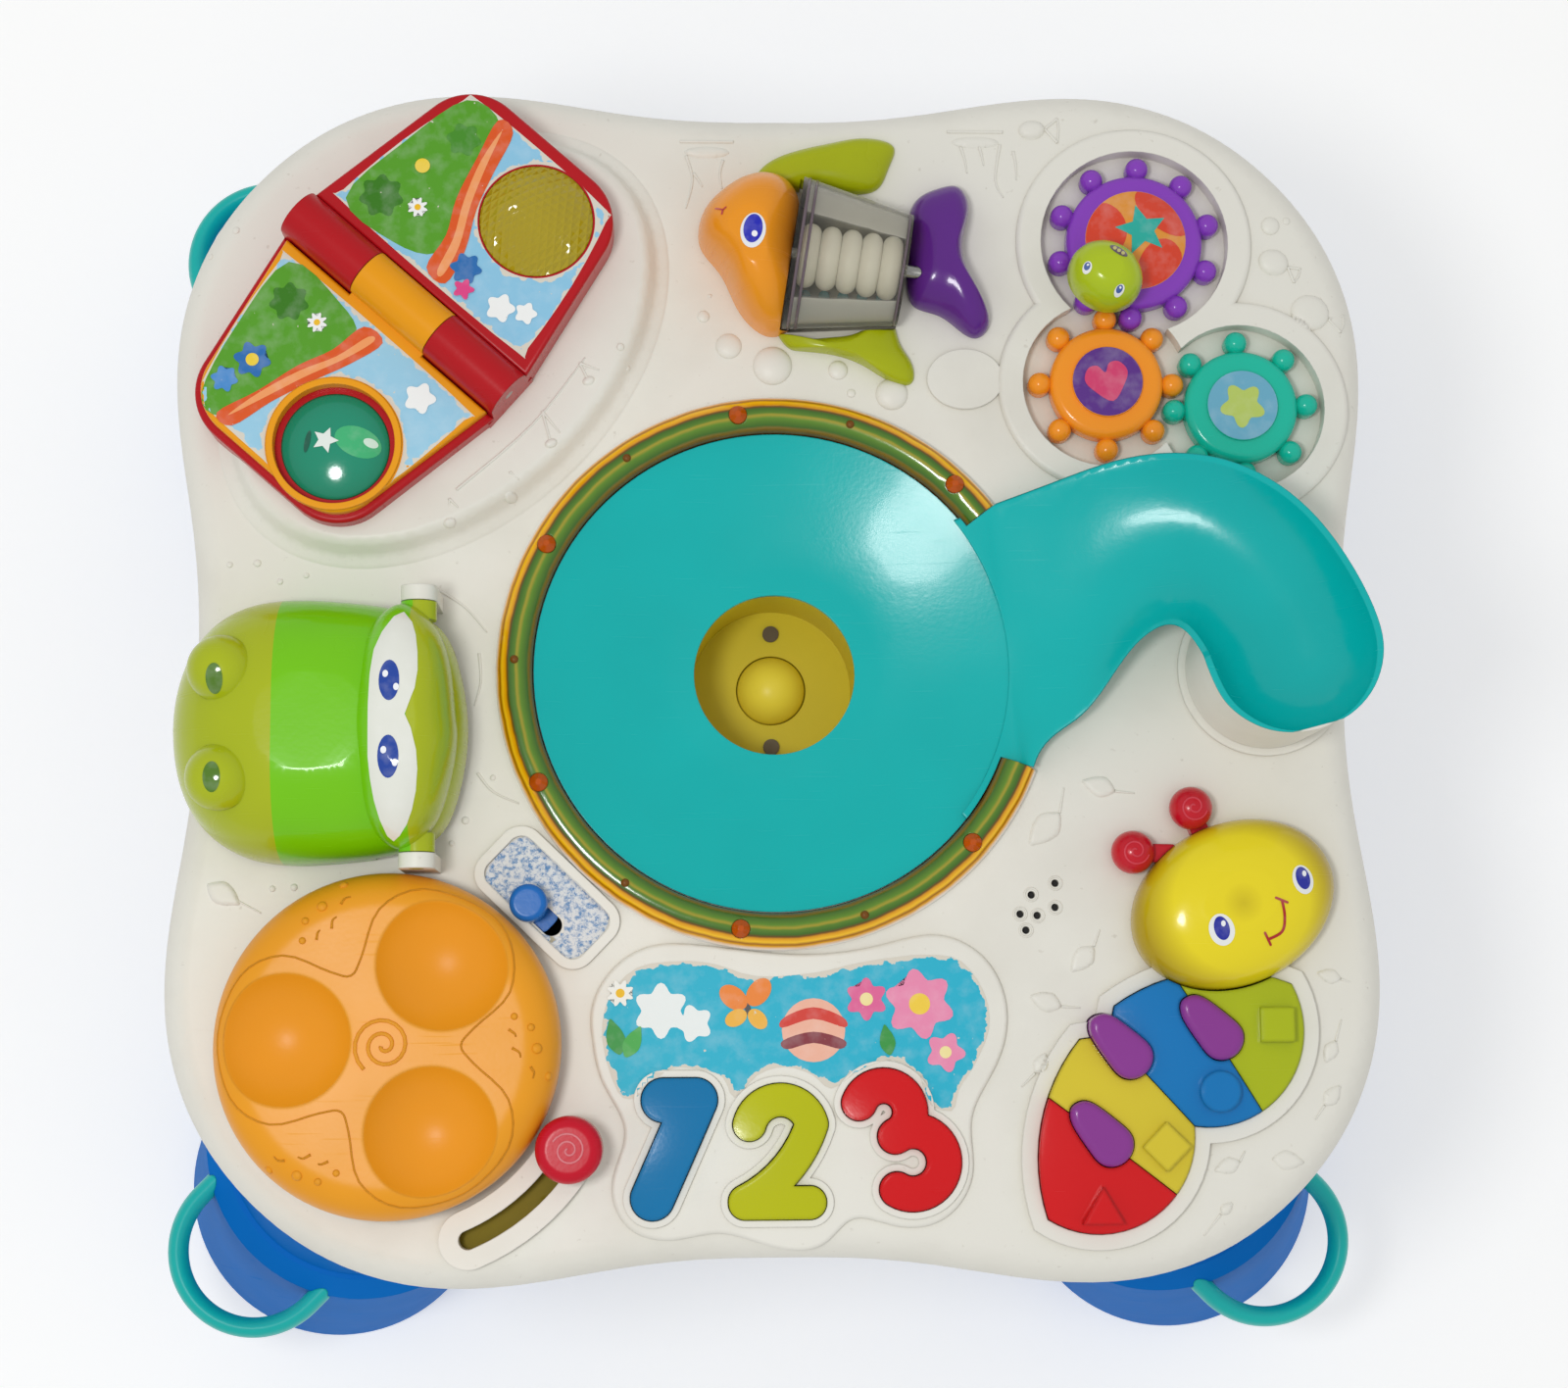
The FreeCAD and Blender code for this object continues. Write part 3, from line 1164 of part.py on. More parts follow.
def book_leaf(side, margin, bottom, top, start):
    """Slab of one half of the book, wider at the spine, with round far corners."""
    near = BOOK_SPINE / 2 - margin
    far = BOOK_FAR_EDGE / 2 - margin
    edge = BOOK_DEPTH - margin
    corner = BOOK_CORNER - margin
    slant = (near - far) * (edge - corner - start) / (edge - start)
    corners = [(-near, start), (-near + slant, edge - corner), (-far + corner * 0.25, edge - corner * 0.25),
               (-far + corner, edge), (far - corner, edge), (far - corner * 0.25, edge - corner * 0.25),
               (near - slant, edge - corner), (near, start)]
    points = [book_place(along, side * across, bottom) for along, across in corners]
    edges = [Part.makeLine(points[0], points[1]), Part.Arc(points[1], points[2], points[3]).toShape(),
             Part.makeLine(points[3], points[4]), Part.Arc(points[4], points[5], points[6]).toShape(),
             Part.makeLine(points[6], points[7]), Part.makeLine(points[7], points[0])]
    return prism(Part.Wire(edges), top - bottom)


def spine_bar(radius, start, end):
    return Part.makeCylinder(radius, end - start, book_place(start, 0, SPINE_HEIGHT), polar(1, BOOK_TURN))


def make_book_base():
    foot = -EDGE_ROUND
    middle = SPINE_KNUCKLE / 2
    half = BOOK_SPINE / 2
    left = softened(book_leaf(-1, 0, foot, BOOK_LEFT_TOP, SPINE_RADIUS), BOOK_LEFT_TOP, PAGE_MARGIN * 0.6)
    right = softened(book_leaf(1, 0, foot, BOOK_RIGHT_TOP, SPINE_RADIUS), BOOK_RIGHT_TOP, PAGE_MARGIN * 0.6)
    web_top = SPINE_HEIGHT - SPINE_RADIUS - MOVE_GAP
    web = Part.makeBox(BOOK_SPINE, 2 * SPINE_RADIUS + 2 * WALL, web_top - foot,
                       Vector(-half, -SPINE_RADIUS - WALL, level(foot)))
    web.rotate(ORIGIN, UP, BOOK_TURN)
    place = spot(BOOK_SHARES)
    web.translate(Vector(place.x, place.y, 0))
    spans = ((-half, -middle - SEAT_GAP), (middle + SEAT_GAP, half))
    knuckles = [spine_bar(SPINE_RADIUS, start, end) for start, end in spans]
    cradles = []
    for start, end in spans:
        cradle = Part.makeBox(end - start, 2 * SPINE_RADIUS, SPINE_HEIGHT - web_top + WALL / 2,
                              Vector(start, -SPINE_RADIUS, level(web_top - WALL / 2)))
        cradle.rotate(ORIGIN, UP, BOOK_TURN)
        cradle.translate(Vector(place.x, place.y, 0))
        cradles.append(cradle)
    base = left.fuse([right, web] + knuckles + cradles)
    cuts = [spine_bar(SPINE_RADIUS + MOVE_GAP, -middle - SEAT_GAP, middle + SEAT_GAP),
            spine_bar(SPINE_PIN_RADIUS, -half - OVERRUN, half + OVERRUN), deck_block(), lens_seat()]
    return base.cut(cuts)


def deck_block():
    """The deck and its mound as one plain block, for cutting what stands on them."""
    return body_block(0, -SEAM_DEPTH, 0, EDGE_ROUND).fuse(make_mound())


def lens_seat():
    place = book_place(BOOK_ROUND_ALONG, BOOK_ROUND_ACROSS)
    return drum(BOOK_LENS_RADIUS + SEAT_GAP / 2, BOOK_RIGHT_TOP - WALL, BOOK_RIGHT_TOP + OVERRUN, place)


def cap(radius, rise, height, place):
    """Shallow round dome whose foot is at height."""
    ball = (radius ** 2 + rise ** 2) / (2 * rise)
    sphere = Part.makeSphere(ball, Vector(place.x, place.y, level(height + rise) - ball))
    return sphere.common(drum(radius, height, height + rise, place))


def make_book_lens():
    place = book_place(BOOK_ROUND_ALONG, BOOK_ROUND_ACROSS)
    foot = drum(BOOK_LENS_RADIUS, BOOK_RIGHT_TOP - WALL, BOOK_RIGHT_TOP, place)
    return foot.fuse(cap(BOOK_LENS_RADIUS, BOOK_LENS_RISE, BOOK_RIGHT_TOP, place)).removeSplitter()


def make_book_bubble():
    return cap(BUBBLE_RADIUS, BUBBLE_RISE, BOOK_LEFT_TOP, book_place(BOOK_ROUND_ALONG, -BOOK_ROUND_ACROSS))


def make_book_page():
    bottom = BOOK_LEFT_TOP + SEAT_GAP
    top = bottom + PAGE_THICKNESS
    middle = SPINE_KNUCKLE / 2
    place = book_place(BOOK_ROUND_ALONG, -BOOK_ROUND_ACROSS)
    slab = book_leaf(-1, PAGE_MARGIN, bottom, top, SPINE_RADIUS + MOVE_GAP)
    leaf = softened(slab, top, PAGE_THICKNESS * 0.3)
    tongue = Part.makeBox(SPINE_KNUCKLE, SPINE_RADIUS + 2 * WALL, PAGE_THICKNESS,
                          Vector(-middle, -SPINE_RADIUS - 2 * WALL, level(bottom)))
    tongue.rotate(ORIGIN, UP, BOOK_TURN)
    tongue.translate(Vector(spot(BOOK_SHARES).x, spot(BOOK_SHARES).y, 0))
    ring = drum(PAGE_RING, top - WALL, top + PAGE_RING_RISE, place)
    page = leaf.fuse([tongue, spine_bar(SPINE_RADIUS, -middle, middle), ring])
    cuts = [drum(PAGE_HOLE, bottom - OVERRUN, top + 2 * OVERRUN, place)]
    cuts.append(spine_bar(SPINE_PIN_RADIUS + RUNNING_FIT, -middle - OVERRUN, middle + OVERRUN))
    return page.cut(cuts)


def make_book_hinge_pin():
    half = BOOK_SPINE / 2
    return spine_bar(SPINE_PIN_RADIUS, -half, half)


def drum_space(grow):
    """Room of the turning drum with its end faces, which the fish's fixed parts stay out of."""
    share = 0.5 + grow / DRUM_LENGTH
    return fish_cone(grow, -share, share)


def make_fish_head():
    head = dome(FISH_HEAD_SHARES, FISH_HEAD_LENGTH, FISH_HEAD_WIDTH, spot(FISH_HEAD_PLACE_SHARES), 0,
                FISH_HEAD_HEIGHT)
    return head.cut([drum_space(MOVE_GAP), fish_axle(RUNNING_FIT)])


def make_fish_tail():
    tail = dome(FISH_TAIL_SHARES, FISH_TAIL_LENGTH, FISH_TAIL_WIDTH, spot(FISH_TAIL_PLACE_SHARES), 0,
                FISH_TAIL_HEIGHT)
    return tail.cut([drum_space(MOVE_GAP), fish_axle(RUNNING_FIT)])


def make_fish_fins():
    top = dome(FISH_TOP_FIN_SHARES, TOP_FIN_LENGTH, TOP_FIN_WIDTH, spot(TOP_FIN_PLACE_SHARES), 0,
               FISH_FIN_HEIGHT)
    low = dome(FISH_LOW_FIN_SHARES, LOW_FIN_LENGTH, LOW_FIN_WIDTH, spot(LOW_FIN_PLACE_SHARES), 0,
               FISH_FIN_HEIGHT)
    room = [drum_space(DRUM_GAP), make_fish_head(), make_fish_tail()]
    return Part.makeCompound([top.cut(room), low.cut(room)])


def fish_axle(grow):
    centre, along = fish_axis()
    half = DRUM_LENGTH / 2 + 3 * WALL
    return Part.makeCylinder(DRUM_AXLE_RADIUS + grow, 2 * half, centre - along * half, along)


def make_fish_axle():
    return fish_axle(0)


def make_fish_drum():
    inner_share = 0.5 - DRUM_WALL / DRUM_LENGTH
    shell = fish_cone(0, -0.5, 0.5).cut(fish_cone(-DRUM_WALL, -inner_share, inner_share))
    return shell.cut(fish_axle(RUNNING_FIT))


def make_fish_core():
    """Ribbed core as one profile of arcs turned about the fish's axis."""
    centre, along = fish_axis()
    half = DRUM_LENGTH / 2 - DRUM_WALL - SEAT_GAP
    bore = DRUM_AXLE_RADIUS + RUNNING_FIT
    pitch = 2 * half / CORE_RIBS
    edges = []
    for rib in range(CORE_RIBS):
        start = rib * pitch - half
        edges.append(Part.Arc(Vector(start, CORE_RADIUS, 0), Vector(start + pitch / 2, CORE_RIB_RADIUS, 0),
                              Vector(start + pitch, CORE_RADIUS, 0)).toShape())
    edges.append(Part.makeLine(Vector(half, CORE_RADIUS, 0), Vector(half, bore, 0)))
    edges.append(Part.makeLine(Vector(half, bore, 0), Vector(-half, bore, 0)))
    edges.append(Part.makeLine(Vector(-half, bore, 0), Vector(-half, CORE_RADIUS, 0)))
    core = Part.Face(Part.Wire(edges)).revolve(Vector(0, 0, 0), Vector(1, 0, 0), 360)
    core.rotate(ORIGIN, UP, FISH_TURN)
    core.translate(centre)
    return core


def make_fish_beads():
    centre, along = fish_axis()
    beads = []
    across = Vector(-along.y, along.x, 0)
    for row in range(BEAD_ROWS):
        for column in range(BEAD_COLUMNS):
            share = (row - (BEAD_ROWS - 1) / 2) * BEAD_PITCH_SHARE
            slope = DRUM_HEAD_RADIUS + (DRUM_TAIL_RADIUS - DRUM_HEAD_RADIUS) * (share + 0.5)
            reach = slope - DRUM_WALL - BEAD_RADIUS - SEAT_GAP
            swing = math.radians(-90 + (column - (BEAD_COLUMNS - 1) / 2) * BEAD_SPREAD_DEGREES)
            at = centre + along * DRUM_LENGTH * share + across * reach * math.cos(swing)
            at.z += reach * math.sin(swing)
            beads.append(Part.makeSphere(BEAD_RADIUS, at))
    return Part.makeCompound(beads)


def well_balls(grow):
    ball = (WELL_RADIUS ** 2 + WELL_DEPTH ** 2) / (2 * WELL_DEPTH)
    balls = []
    for degrees in WELL_DEGREES:
        at = spot(TURNTABLE_SHARES, TURNTABLE_TOP - WELL_DEPTH + ball) + polar(WELL_REACH, degrees)
        balls.append(Part.makeSphere(ball + grow, at))
    return balls


def turntable_block(inset):
    bottom = TURNTABLE_SKIRT if inset == 0 else TURNTABLE_SKIRT - OVERRUN
    block = drum(TURNTABLE_RADIUS - inset, bottom, TURNTABLE_TOP - inset, spot(TURNTABLE_SHARES))
    return softened(block, TURNTABLE_TOP - inset, TURNTABLE_ROUND - inset)


def make_turntable():
    place = spot(TURNTABLE_SHARES)
    block = turntable_block(0)
    dish = block.cut(turntable_block(TURNTABLE_WALL))
    wells = [ball.common(block) for ball in well_balls(TURNTABLE_WALL)]
    hub = drum(HUB_RADIUS, 2 * SEAT_GAP, TURNTABLE_TOP - TURNTABLE_WALL / 2, place)
    bore = drum(SPINDLE_RADIUS + RUNNING_FIT, -OVERRUN, TURNTABLE_TOP - 2 * TURNTABLE_WALL, place)
    return dish.fuse(wells + [hub]).cut(well_balls(0) + [bore])


def make_turntable_spindle():
    place = spot(TURNTABLE_SHARES)
    bottom = lever_plate_bottom() - SEAT_GAP
    pin = drum(SPINDLE_RADIUS, bottom, TURNTABLE_TOP - 3 * TURNTABLE_WALL, place)
    return pin.fuse(drum(SPINDLE_RADIUS + WALL, bottom - WALL, bottom, place))


def lever_plate_bottom():
    return -WALL - SEAT_GAP - LEVER_PLATE


def make_spin_lever_arm():
    place = spot(TURNTABLE_SHARES)
    bottom = lever_plate_bottom()
    top = bottom + LEVER_PLATE
    spread = math.degrees(LEVER_STEM_RADIUS / LEVER_REACH) * 2
    span = math.degrees(LEVER_PLATE_SPAN / LEVER_REACH)
    plate = lever_band(LEVER_PLATE_WIDTH, bottom, top, LEVER_DEGREES - span, LEVER_DEGREES + spread)
    hub = drum(SPINDLE_RADIUS + 2 * WALL, bottom, top, place)
    arm = straight_run(place, lever_place(LEVER_DEGREES - span / 2), LEVER_PLATE_WIDTH, bottom, top)
    stem = drum(LEVER_STEM_RADIUS, top - WALL / 2, LEVER_KNOB_BASE + LEVER_KNOB_HEIGHT / 2,
                lever_place(LEVER_DEGREES))
    bore = drum(SPINDLE_RADIUS + RUNNING_FIT, bottom - OVERRUN, top + OVERRUN, place)
    return united([plate, hub, arm, stem]).cut(bore)


def make_spin_lever_knob():
    place = lever_place(LEVER_DEGREES)
    top = LEVER_KNOB_BASE + LEVER_KNOB_HEIGHT
    knob = softened(drum(LEVER_KNOB_RADIUS, LEVER_KNOB_BASE, top, place), top, LEVER_KNOB_HEIGHT * 0.3)
    socket_top = LEVER_KNOB_BASE + LEVER_KNOB_HEIGHT / 2
    return knob.cut(drum(LEVER_STEM_RADIUS, LEVER_KNOB_BASE - OVERRUN, socket_top, place))


def make_mode_switch():
    place = switch_place(SWITCH_START_ALONG, SWITCH_START_ACROSS)
    bottom = -WALL - SEAT_GAP - SWITCH_PLATE
    stem = drum(SWITCH_STEM_RADIUS, bottom, SWITCH_KNOB_HEIGHT / 2, place)
    cap_bottom = SWITCH_PANEL_RISE
    top = cap_bottom + SWITCH_KNOB_HEIGHT
    knob = softened(drum(SWITCH_KNOB_RADIUS, cap_bottom, top, place), top, SWITCH_STEM_RADIUS * 0.6)
    plate = rounded_box(2 * SWITCH_TRAVEL, 3 * SWITCH_STEM_RADIUS, SWITCH_STEM_RADIUS, bottom,
                        bottom + SWITCH_PLATE, place, SWITCH_TURN)
    return united([stem, knob, plate])


def key_stem(place):
    bottom = pad_top() + PAD_GAP + KEY_TRAVEL
    return drum(KEY_STEM_RADIUS, bottom, -KEY_SKIRT + WALL / 2, place)


def pad_top():
    return -BOARD_DEPTH + PAD_HEIGHT


def number_stem_place(number):
    return number_point(number, number["stem"])


def make_number_key(number):
    place = spot(number["place"])
    crown = Part.makeSphere(NUMBER_CROWN, Vector(place.x, place.y, level(KEY_TOP) - NUMBER_CROWN))
    key = number_solid(number, 0, -KEY_SKIRT, KEY_TOP).common(crown)
    return key.fuse(key_stem(number_stem_place(number)))


def wedge(place, degrees):
    """Block on one side of an upright plane through a place, half a sliding gap away from it."""
    reach = 3 * LOBE_RADIUS
    thickness = 4 * WORM_TOP
    box = Part.makeBox(reach, 2 * reach, thickness, Vector(SLIDE_GAP / 2, -reach, level(-thickness / 2)))
    box.rotate(ORIGIN, UP, degrees)
    box.translate(Vector(place.x, place.y, 0))
    return box


def worm_regions():
    """Wedges that share the two lobes among the four keys."""
    lower, upper = lobe_places()
    joint = (lower + upper) / 2
    red_turn = LOBE_TURN + 180 + KEY_SPLIT_DEGREES
    green_turn = LOBE_TURN - KEY_SPLIT_DEGREES
    red = [wedge(lower, red_turn)]
    yellow = [wedge(lower, red_turn - 180), wedge(joint, LOBE_TURN + 180)]
    blue = [wedge(upper, green_turn + 180), wedge(joint, LOBE_TURN)]
    green = [wedge(upper, green_turn)]
    return (("worm_key_red", red), ("worm_key_yellow", yellow),
            ("worm_key_blue", blue), ("worm_key_green", green))


def symbol(name, bottom, top):
    """Raised triangle, diamond, disc or square on a key."""
    place = key_centres()[name]
    if name == "worm_key_blue":
        return drum(SYMBOL_SIZE / 2, bottom, top, place)
    sides = 3 if name == "worm_key_red" else 4
    turn = {"worm_key_red": 90, "worm_key_yellow": 0, "worm_key_green": 45}[name]
    reach = SYMBOL_SIZE * 0.6
    middle = Vector(place.x, place.y, level(bottom))
    corners = [middle + polar(reach, turn + 360 * side / sides) for side in range(sides)]
    return prism(Part.makePolygon(corners + corners[:1]), top - bottom)


def key_centres():
    return {name: spot(shares) for name, shares in SYMBOL_PLACE_SHARES.items()}


def make_worm_keys():
    lower, upper = lobe_places()
    body = crowned_lobe(lower).fuse(crowned_lobe(upper))
    body = body.common(drum(BACK_RADIUS, -KEY_SKIRT, WORM_TOP, back_centre()))
    bottom = -KEY_SKIRT - OVERRUN
    top = WORM_TOP + OVERRUN
    spikes = [spike_solid(place, SLIDE_GAP, bottom, top) for place in spike_places()]
    body = body.cut(spikes + [head_block(SLIDE_GAP)])
    keys = {}
    for name, wedges in worm_regions():
        key = body
        for region in wedges:
            key = key.common(region)
        mark = symbol(name, WORM_TOP - WALL, WORM_TOP + SYMBOL_RISE)
        keys[name] = key.fuse([mark, key_stem(key_centres()[name])])
    return keys


def make_spike_keys():
    keys = {}
    for number, place in enumerate(spike_places()):
        key = softened(spike_solid(place, 0, -KEY_SKIRT, SPIKE_TOP), SPIKE_TOP, 2 * KEY_EDGE)
        keys["spike_key_%d" % (number + 1)] = key.fuse(key_stem(place))
    return keys


def head_block(grow):
    outline = oval(HEAD_LENGTH + 2 * grow, HEAD_WIDTH + 2 * grow, spot(WORM_HEAD_SHARES), HEAD_TURN,
                   -KEY_SKIRT - OVERRUN)
    return prism(outline, KEY_SKIRT + HEAD_RISE)


def make_worm_head():
    place = spot(WORM_HEAD_SHARES)
    shell = dome(ROUND_SHARES, HEAD_LENGTH, HEAD_WIDTH, place, WALL, HEAD_RISE - WALL, HEAD_TURN, WALL)
    hollow = dome(ROUND_SHARES, HEAD_LENGTH - 2 * WALL, HEAD_WIDTH - 2 * WALL, place, WALL,
                  HEAD_RISE - 2 * WALL, HEAD_TURN, 2 * WALL)
    return shell.cut([hollow, worm_body(WORM_RIM + RUNNING_FIT, -WALL, WORM_RIM_RISE)])


def head_point(share_x, share_y):
    """Point on the deck by the worm's head, as shares of the head's length and width."""
    place = spot(WORM_HEAD_SHARES)
    at = place + polar(share_x * HEAD_LENGTH, HEAD_TURN) + polar(share_y * HEAD_WIDTH, HEAD_TURN + 90)
    return Vector(at.x, at.y, 0)


def make_worm_antennae():
    stalks = []
    for share_x, share_y in ANTENNA_BALL_SHARES:
        end = head_point(share_x, share_y)
        ball = Part.makeSphere(ANTENNA_BALL, Vector(end.x, end.y, level(ANTENNA_BALL * 0.7)))
        stalk = stroke_band((head_point(share_x * 0.5, 0.45), end), 2 * ANTENNA_STALK, 0, ANTENNA_STALK * 1.6)
        stalks.append(stalk.fuse(ball))
    head = spot(WORM_HEAD_SHARES)
    room = prism(oval(HEAD_LENGTH + 2 * RUNNING_FIT, HEAD_WIDTH + 2 * RUNNING_FIT, head, HEAD_TURN, -WALL),
                 HEAD_RISE + WALL)
    deck = drum(OUTLINE_MEAN, -EDGE_ROUND, 0, ORIGIN)
    return Part.makeCompound([stalk.cut([room, deck]) for stalk in stalks])


def make_hippo_head():
    centre = hippo_centre()
    bottom = HIPPO_FRONT_LIFT
    outer = dome(HIPPO_OUTLINE_SHARES, HIPPO_LENGTH, HIPPO_WIDTH, centre, bottom + 2 * WALL,
                 HIPPO_HEIGHT - 3 * WALL, 0, 2 * WALL)
    inner = dome(HIPPO_OUTLINE_SHARES, HIPPO_LENGTH - 2 * HIPPO_WALL, HIPPO_WIDTH - 2 * HIPPO_WALL, centre,
                 bottom + 2 * WALL, HIPPO_HEIGHT - 3 * WALL - HIPPO_WALL, 0, 3 * WALL)
    hinge = spot(HIPPO_HINGE_SHARES)
    brow_centre = Vector(hinge.x - 2 * WALL, hinge.y, 0)
    brow = dome(ROUND_SHARES, HIPPO_LENGTH * 0.36, HIPPO_WIDTH * 0.92, brow_centre, HIPPO_HINGE_HEIGHT,
                HIPPO_BROW_HEIGHT - HIPPO_HINGE_HEIGHT)
    nostrils = []
    for side in (-1, 1):
        at = Vector(centre.x - HIPPO_LENGTH * 0.30, centre.y + side * HIPPO_WIDTH * 0.2, 0)
        nostrils.append(cap(HIPPO_NOSTRIL, HIPPO_NOSTRIL_RISE + 2 * WALL, HIPPO_HEIGHT - 3.6 * WALL, at))
    ears = []
    for side in (-1, 1):
        far = side * (HIPPO_POST_FACE - SEAT_GAP)
        near = side * (HIPPO_WIDTH * 0.40)
        low = min(near, far)
        ear = Part.makeCylinder(HIPPO_POST_WIDTH / 2, abs(far - near),
                                Vector(hinge.x, hinge.y + low, level(HIPPO_HINGE_HEIGHT)), Vector(0, 1, 0))
        ears.append(ear)
    head = outer.fuse([brow] + nostrils + ears).cut(inner)
    rear = Part.makeBox(HIPPO_LENGTH, 2 * HIPPO_WIDTH, HIPPO_REAR_LIFT + OVERRUN,
                        Vector(hinge.x - HIPPO_REAR_REACH, hinge.y - HIPPO_WIDTH, level(-OVERRUN)))
    pin = hippo_pin(RUNNING_FIT)
    return head.cut([rear, pin])


def hippo_pin(grow):
    reach = HIPPO_POST_FACE + HIPPO_POST_DEPTH
    end = spot(HIPPO_HINGE_SHARES, HIPPO_HINGE_HEIGHT) - Vector(0, reach, 0)
    return Part.makeCylinder(HIPPO_PIN_RADIUS + grow, 2 * reach, end, Vector(0, 1, 0))


def make_hippo_hinge_pin():
    return hippo_pin(0)


def make_hippo_jaw():
    hinge = spot(HIPPO_HINGE_SHARES)
    centre = Vector(hinge.x - (HIPPO_JAW_FRONT + HIPPO_JAW_BACK) / 2, hinge.y, 0)
    length = HIPPO_JAW_FRONT - HIPPO_JAW_BACK
    points = scaled_outline(HIPPO_OUTLINE_SHARES, length, HIPPO_JAW_WIDTH, centre, 1, 0)
    inner = scaled_outline(HIPPO_OUTLINE_SHARES, length - 2 * HIPPO_JAW_WALL,
                           HIPPO_JAW_WIDTH - 2 * HIPPO_JAW_WALL, centre, 1, HIPPO_JAW_WALL)
    return prism(closed_curve(points), HIPPO_JAW_RISE).cut(prism(closed_curve(inner), HIPPO_JAW_RISE))


def key_stem_places():
    places = [number_stem_place(number) for number in NUMBERS]
    return places + list(key_centres().values()) + list(spike_places())


def make_circuit_board():
    places = key_stem_places()
    margin = 2 * PAD_RADIUS
    low_x = min(place.x for place in places) - margin
    high_x = max(place.x for place in places) + margin
    low_y = min(place.y for place in places) - margin
    high_y = max(place.y for place in places) + margin
    bottom = -BOARD_DEPTH - BOARD_THICKNESS
    board = Part.makeBox(high_x - low_x, high_y - low_y, BOARD_THICKNESS, Vector(low_x, low_y, level(bottom)))
    return board.common(prism(table_outline(2 * WALL, bottom), BOARD_THICKNESS))


def make_key_contact_pads():
    pads = []
    for place in key_stem_places():
        pads.append(drum(PAD_RADIUS, -BOARD_DEPTH, pad_top(), place))
    return Part.makeCompound(pads)


def make_speaker():
    place = speaker_place()
    top = -WALL
    bottom = top - SPEAKER_DEPTH
    magnet = SPEAKER_RADIUS * 0.6
    return spun([(0, top), (SPEAKER_RADIUS, top), (SPEAKER_RADIUS, top - WALL),
                 (magnet, top - SPEAKER_DEPTH * 0.6), (magnet, bottom), (0, bottom)], place)


def model():
    pieces = {"table_top": make_table_top(), "table_underside": make_table_underside(),
              "battery_door": make_battery_door(), "underside_screws": make_underside_screws()}
    sides = ("rear_right", "rear_left", "front_left", "front_right")
    for corner, side in enumerate(sides):
        pieces["leg_" + side] = make_leg(corner)
        pieces["handle_" + side] = make_handle(corner)
    pieces.update({"ball_ramp": make_ball_ramp(), "ramp_pedestal": make_ramp_pedestal(),
                   "light_ring": make_light_ring(), "light_ring_jewels": make_light_ring_jewels(),
                   "popper_cup": make_popper_cup(), "popper_cup_screws": make_popper_cup_screws(),
                   "popper_plunger": make_popper_plunger(), "popper_spring": make_popper_spring(),
                   "crank_gear": make_crank_gear(), "crank_knob": make_crank_knob(),
                   "middle_gear": make_middle_gear(), "outer_gear": make_outer_gear(),
                   "gear_axles": make_gear_axles(), "book_base": make_book_base(),
                   "book_lens": make_book_lens(), "book_bubble": make_book_bubble(),
                   "book_page": make_book_page(), "book_hinge_pin": make_book_hinge_pin(),
                   "fish_head": make_fish_head(), "fish_tail": make_fish_tail(),
                   "fish_fins": make_fish_fins(), "fish_axle": make_fish_axle(),
                   "fish_drum": make_fish_drum(), "fish_core": make_fish_core(),
                   "fish_beads": make_fish_beads(), "turntable": make_turntable(),
                   "turntable_spindle": make_turntable_spindle(), "spin_lever_arm": make_spin_lever_arm(),
                   "spin_lever_knob": make_spin_lever_knob(), "mode_switch": make_mode_switch(),
                   "worm_head": make_worm_head(),
                   "worm_antennae": make_worm_antennae(),
                   "hippo_head": make_hippo_head(), "hippo_hinge_pin": make_hippo_hinge_pin(),
                   "hippo_jaw": make_hippo_jaw(), "circuit_board": make_circuit_board(),
                   "key_contact_pads": make_key_contact_pads(), "speaker": make_speaker()})
    for number in NUMBERS:
        pieces[number["name"]] = make_number_key(number)
    pieces.update(make_worm_keys())
    pieces.update(make_spike_keys())
    return pieces


def main():
    os.makedirs("parts", exist_ok=True)
    for name, shape in model().items():
        shape.exportStep("parts/%s.step" % name)


if __name__ == "__main__":
    main()
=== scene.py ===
"""Looks of a baby activity table: a deck of games on four flared legs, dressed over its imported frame."""

import json
import math

import bmesh
import bpy
from mathutils import Matrix, Vector
from mathutils.bvhtree import BVHTree


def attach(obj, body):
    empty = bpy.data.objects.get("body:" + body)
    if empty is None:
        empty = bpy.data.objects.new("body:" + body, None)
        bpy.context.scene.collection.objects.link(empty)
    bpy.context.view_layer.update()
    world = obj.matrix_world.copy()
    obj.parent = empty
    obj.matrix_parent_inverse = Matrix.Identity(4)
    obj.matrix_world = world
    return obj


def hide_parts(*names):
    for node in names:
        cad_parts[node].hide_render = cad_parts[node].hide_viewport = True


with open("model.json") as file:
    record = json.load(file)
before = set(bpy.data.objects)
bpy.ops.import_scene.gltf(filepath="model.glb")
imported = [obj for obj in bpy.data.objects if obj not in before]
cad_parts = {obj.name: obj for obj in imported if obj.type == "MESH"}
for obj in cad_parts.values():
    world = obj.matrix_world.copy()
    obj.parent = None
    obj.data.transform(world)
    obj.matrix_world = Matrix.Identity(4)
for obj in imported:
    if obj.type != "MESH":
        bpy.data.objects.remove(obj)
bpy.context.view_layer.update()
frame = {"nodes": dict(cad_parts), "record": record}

bl_info = {
    "name": "Baby activity table",
    "version": (1, 0, 0),
    "blender": (4, 5, 0),
    "location": "3D View > Sidebar > Activity table",
    "description": "Dresses a packed baby activity table, piece by piece",
    "category": "Object",
}

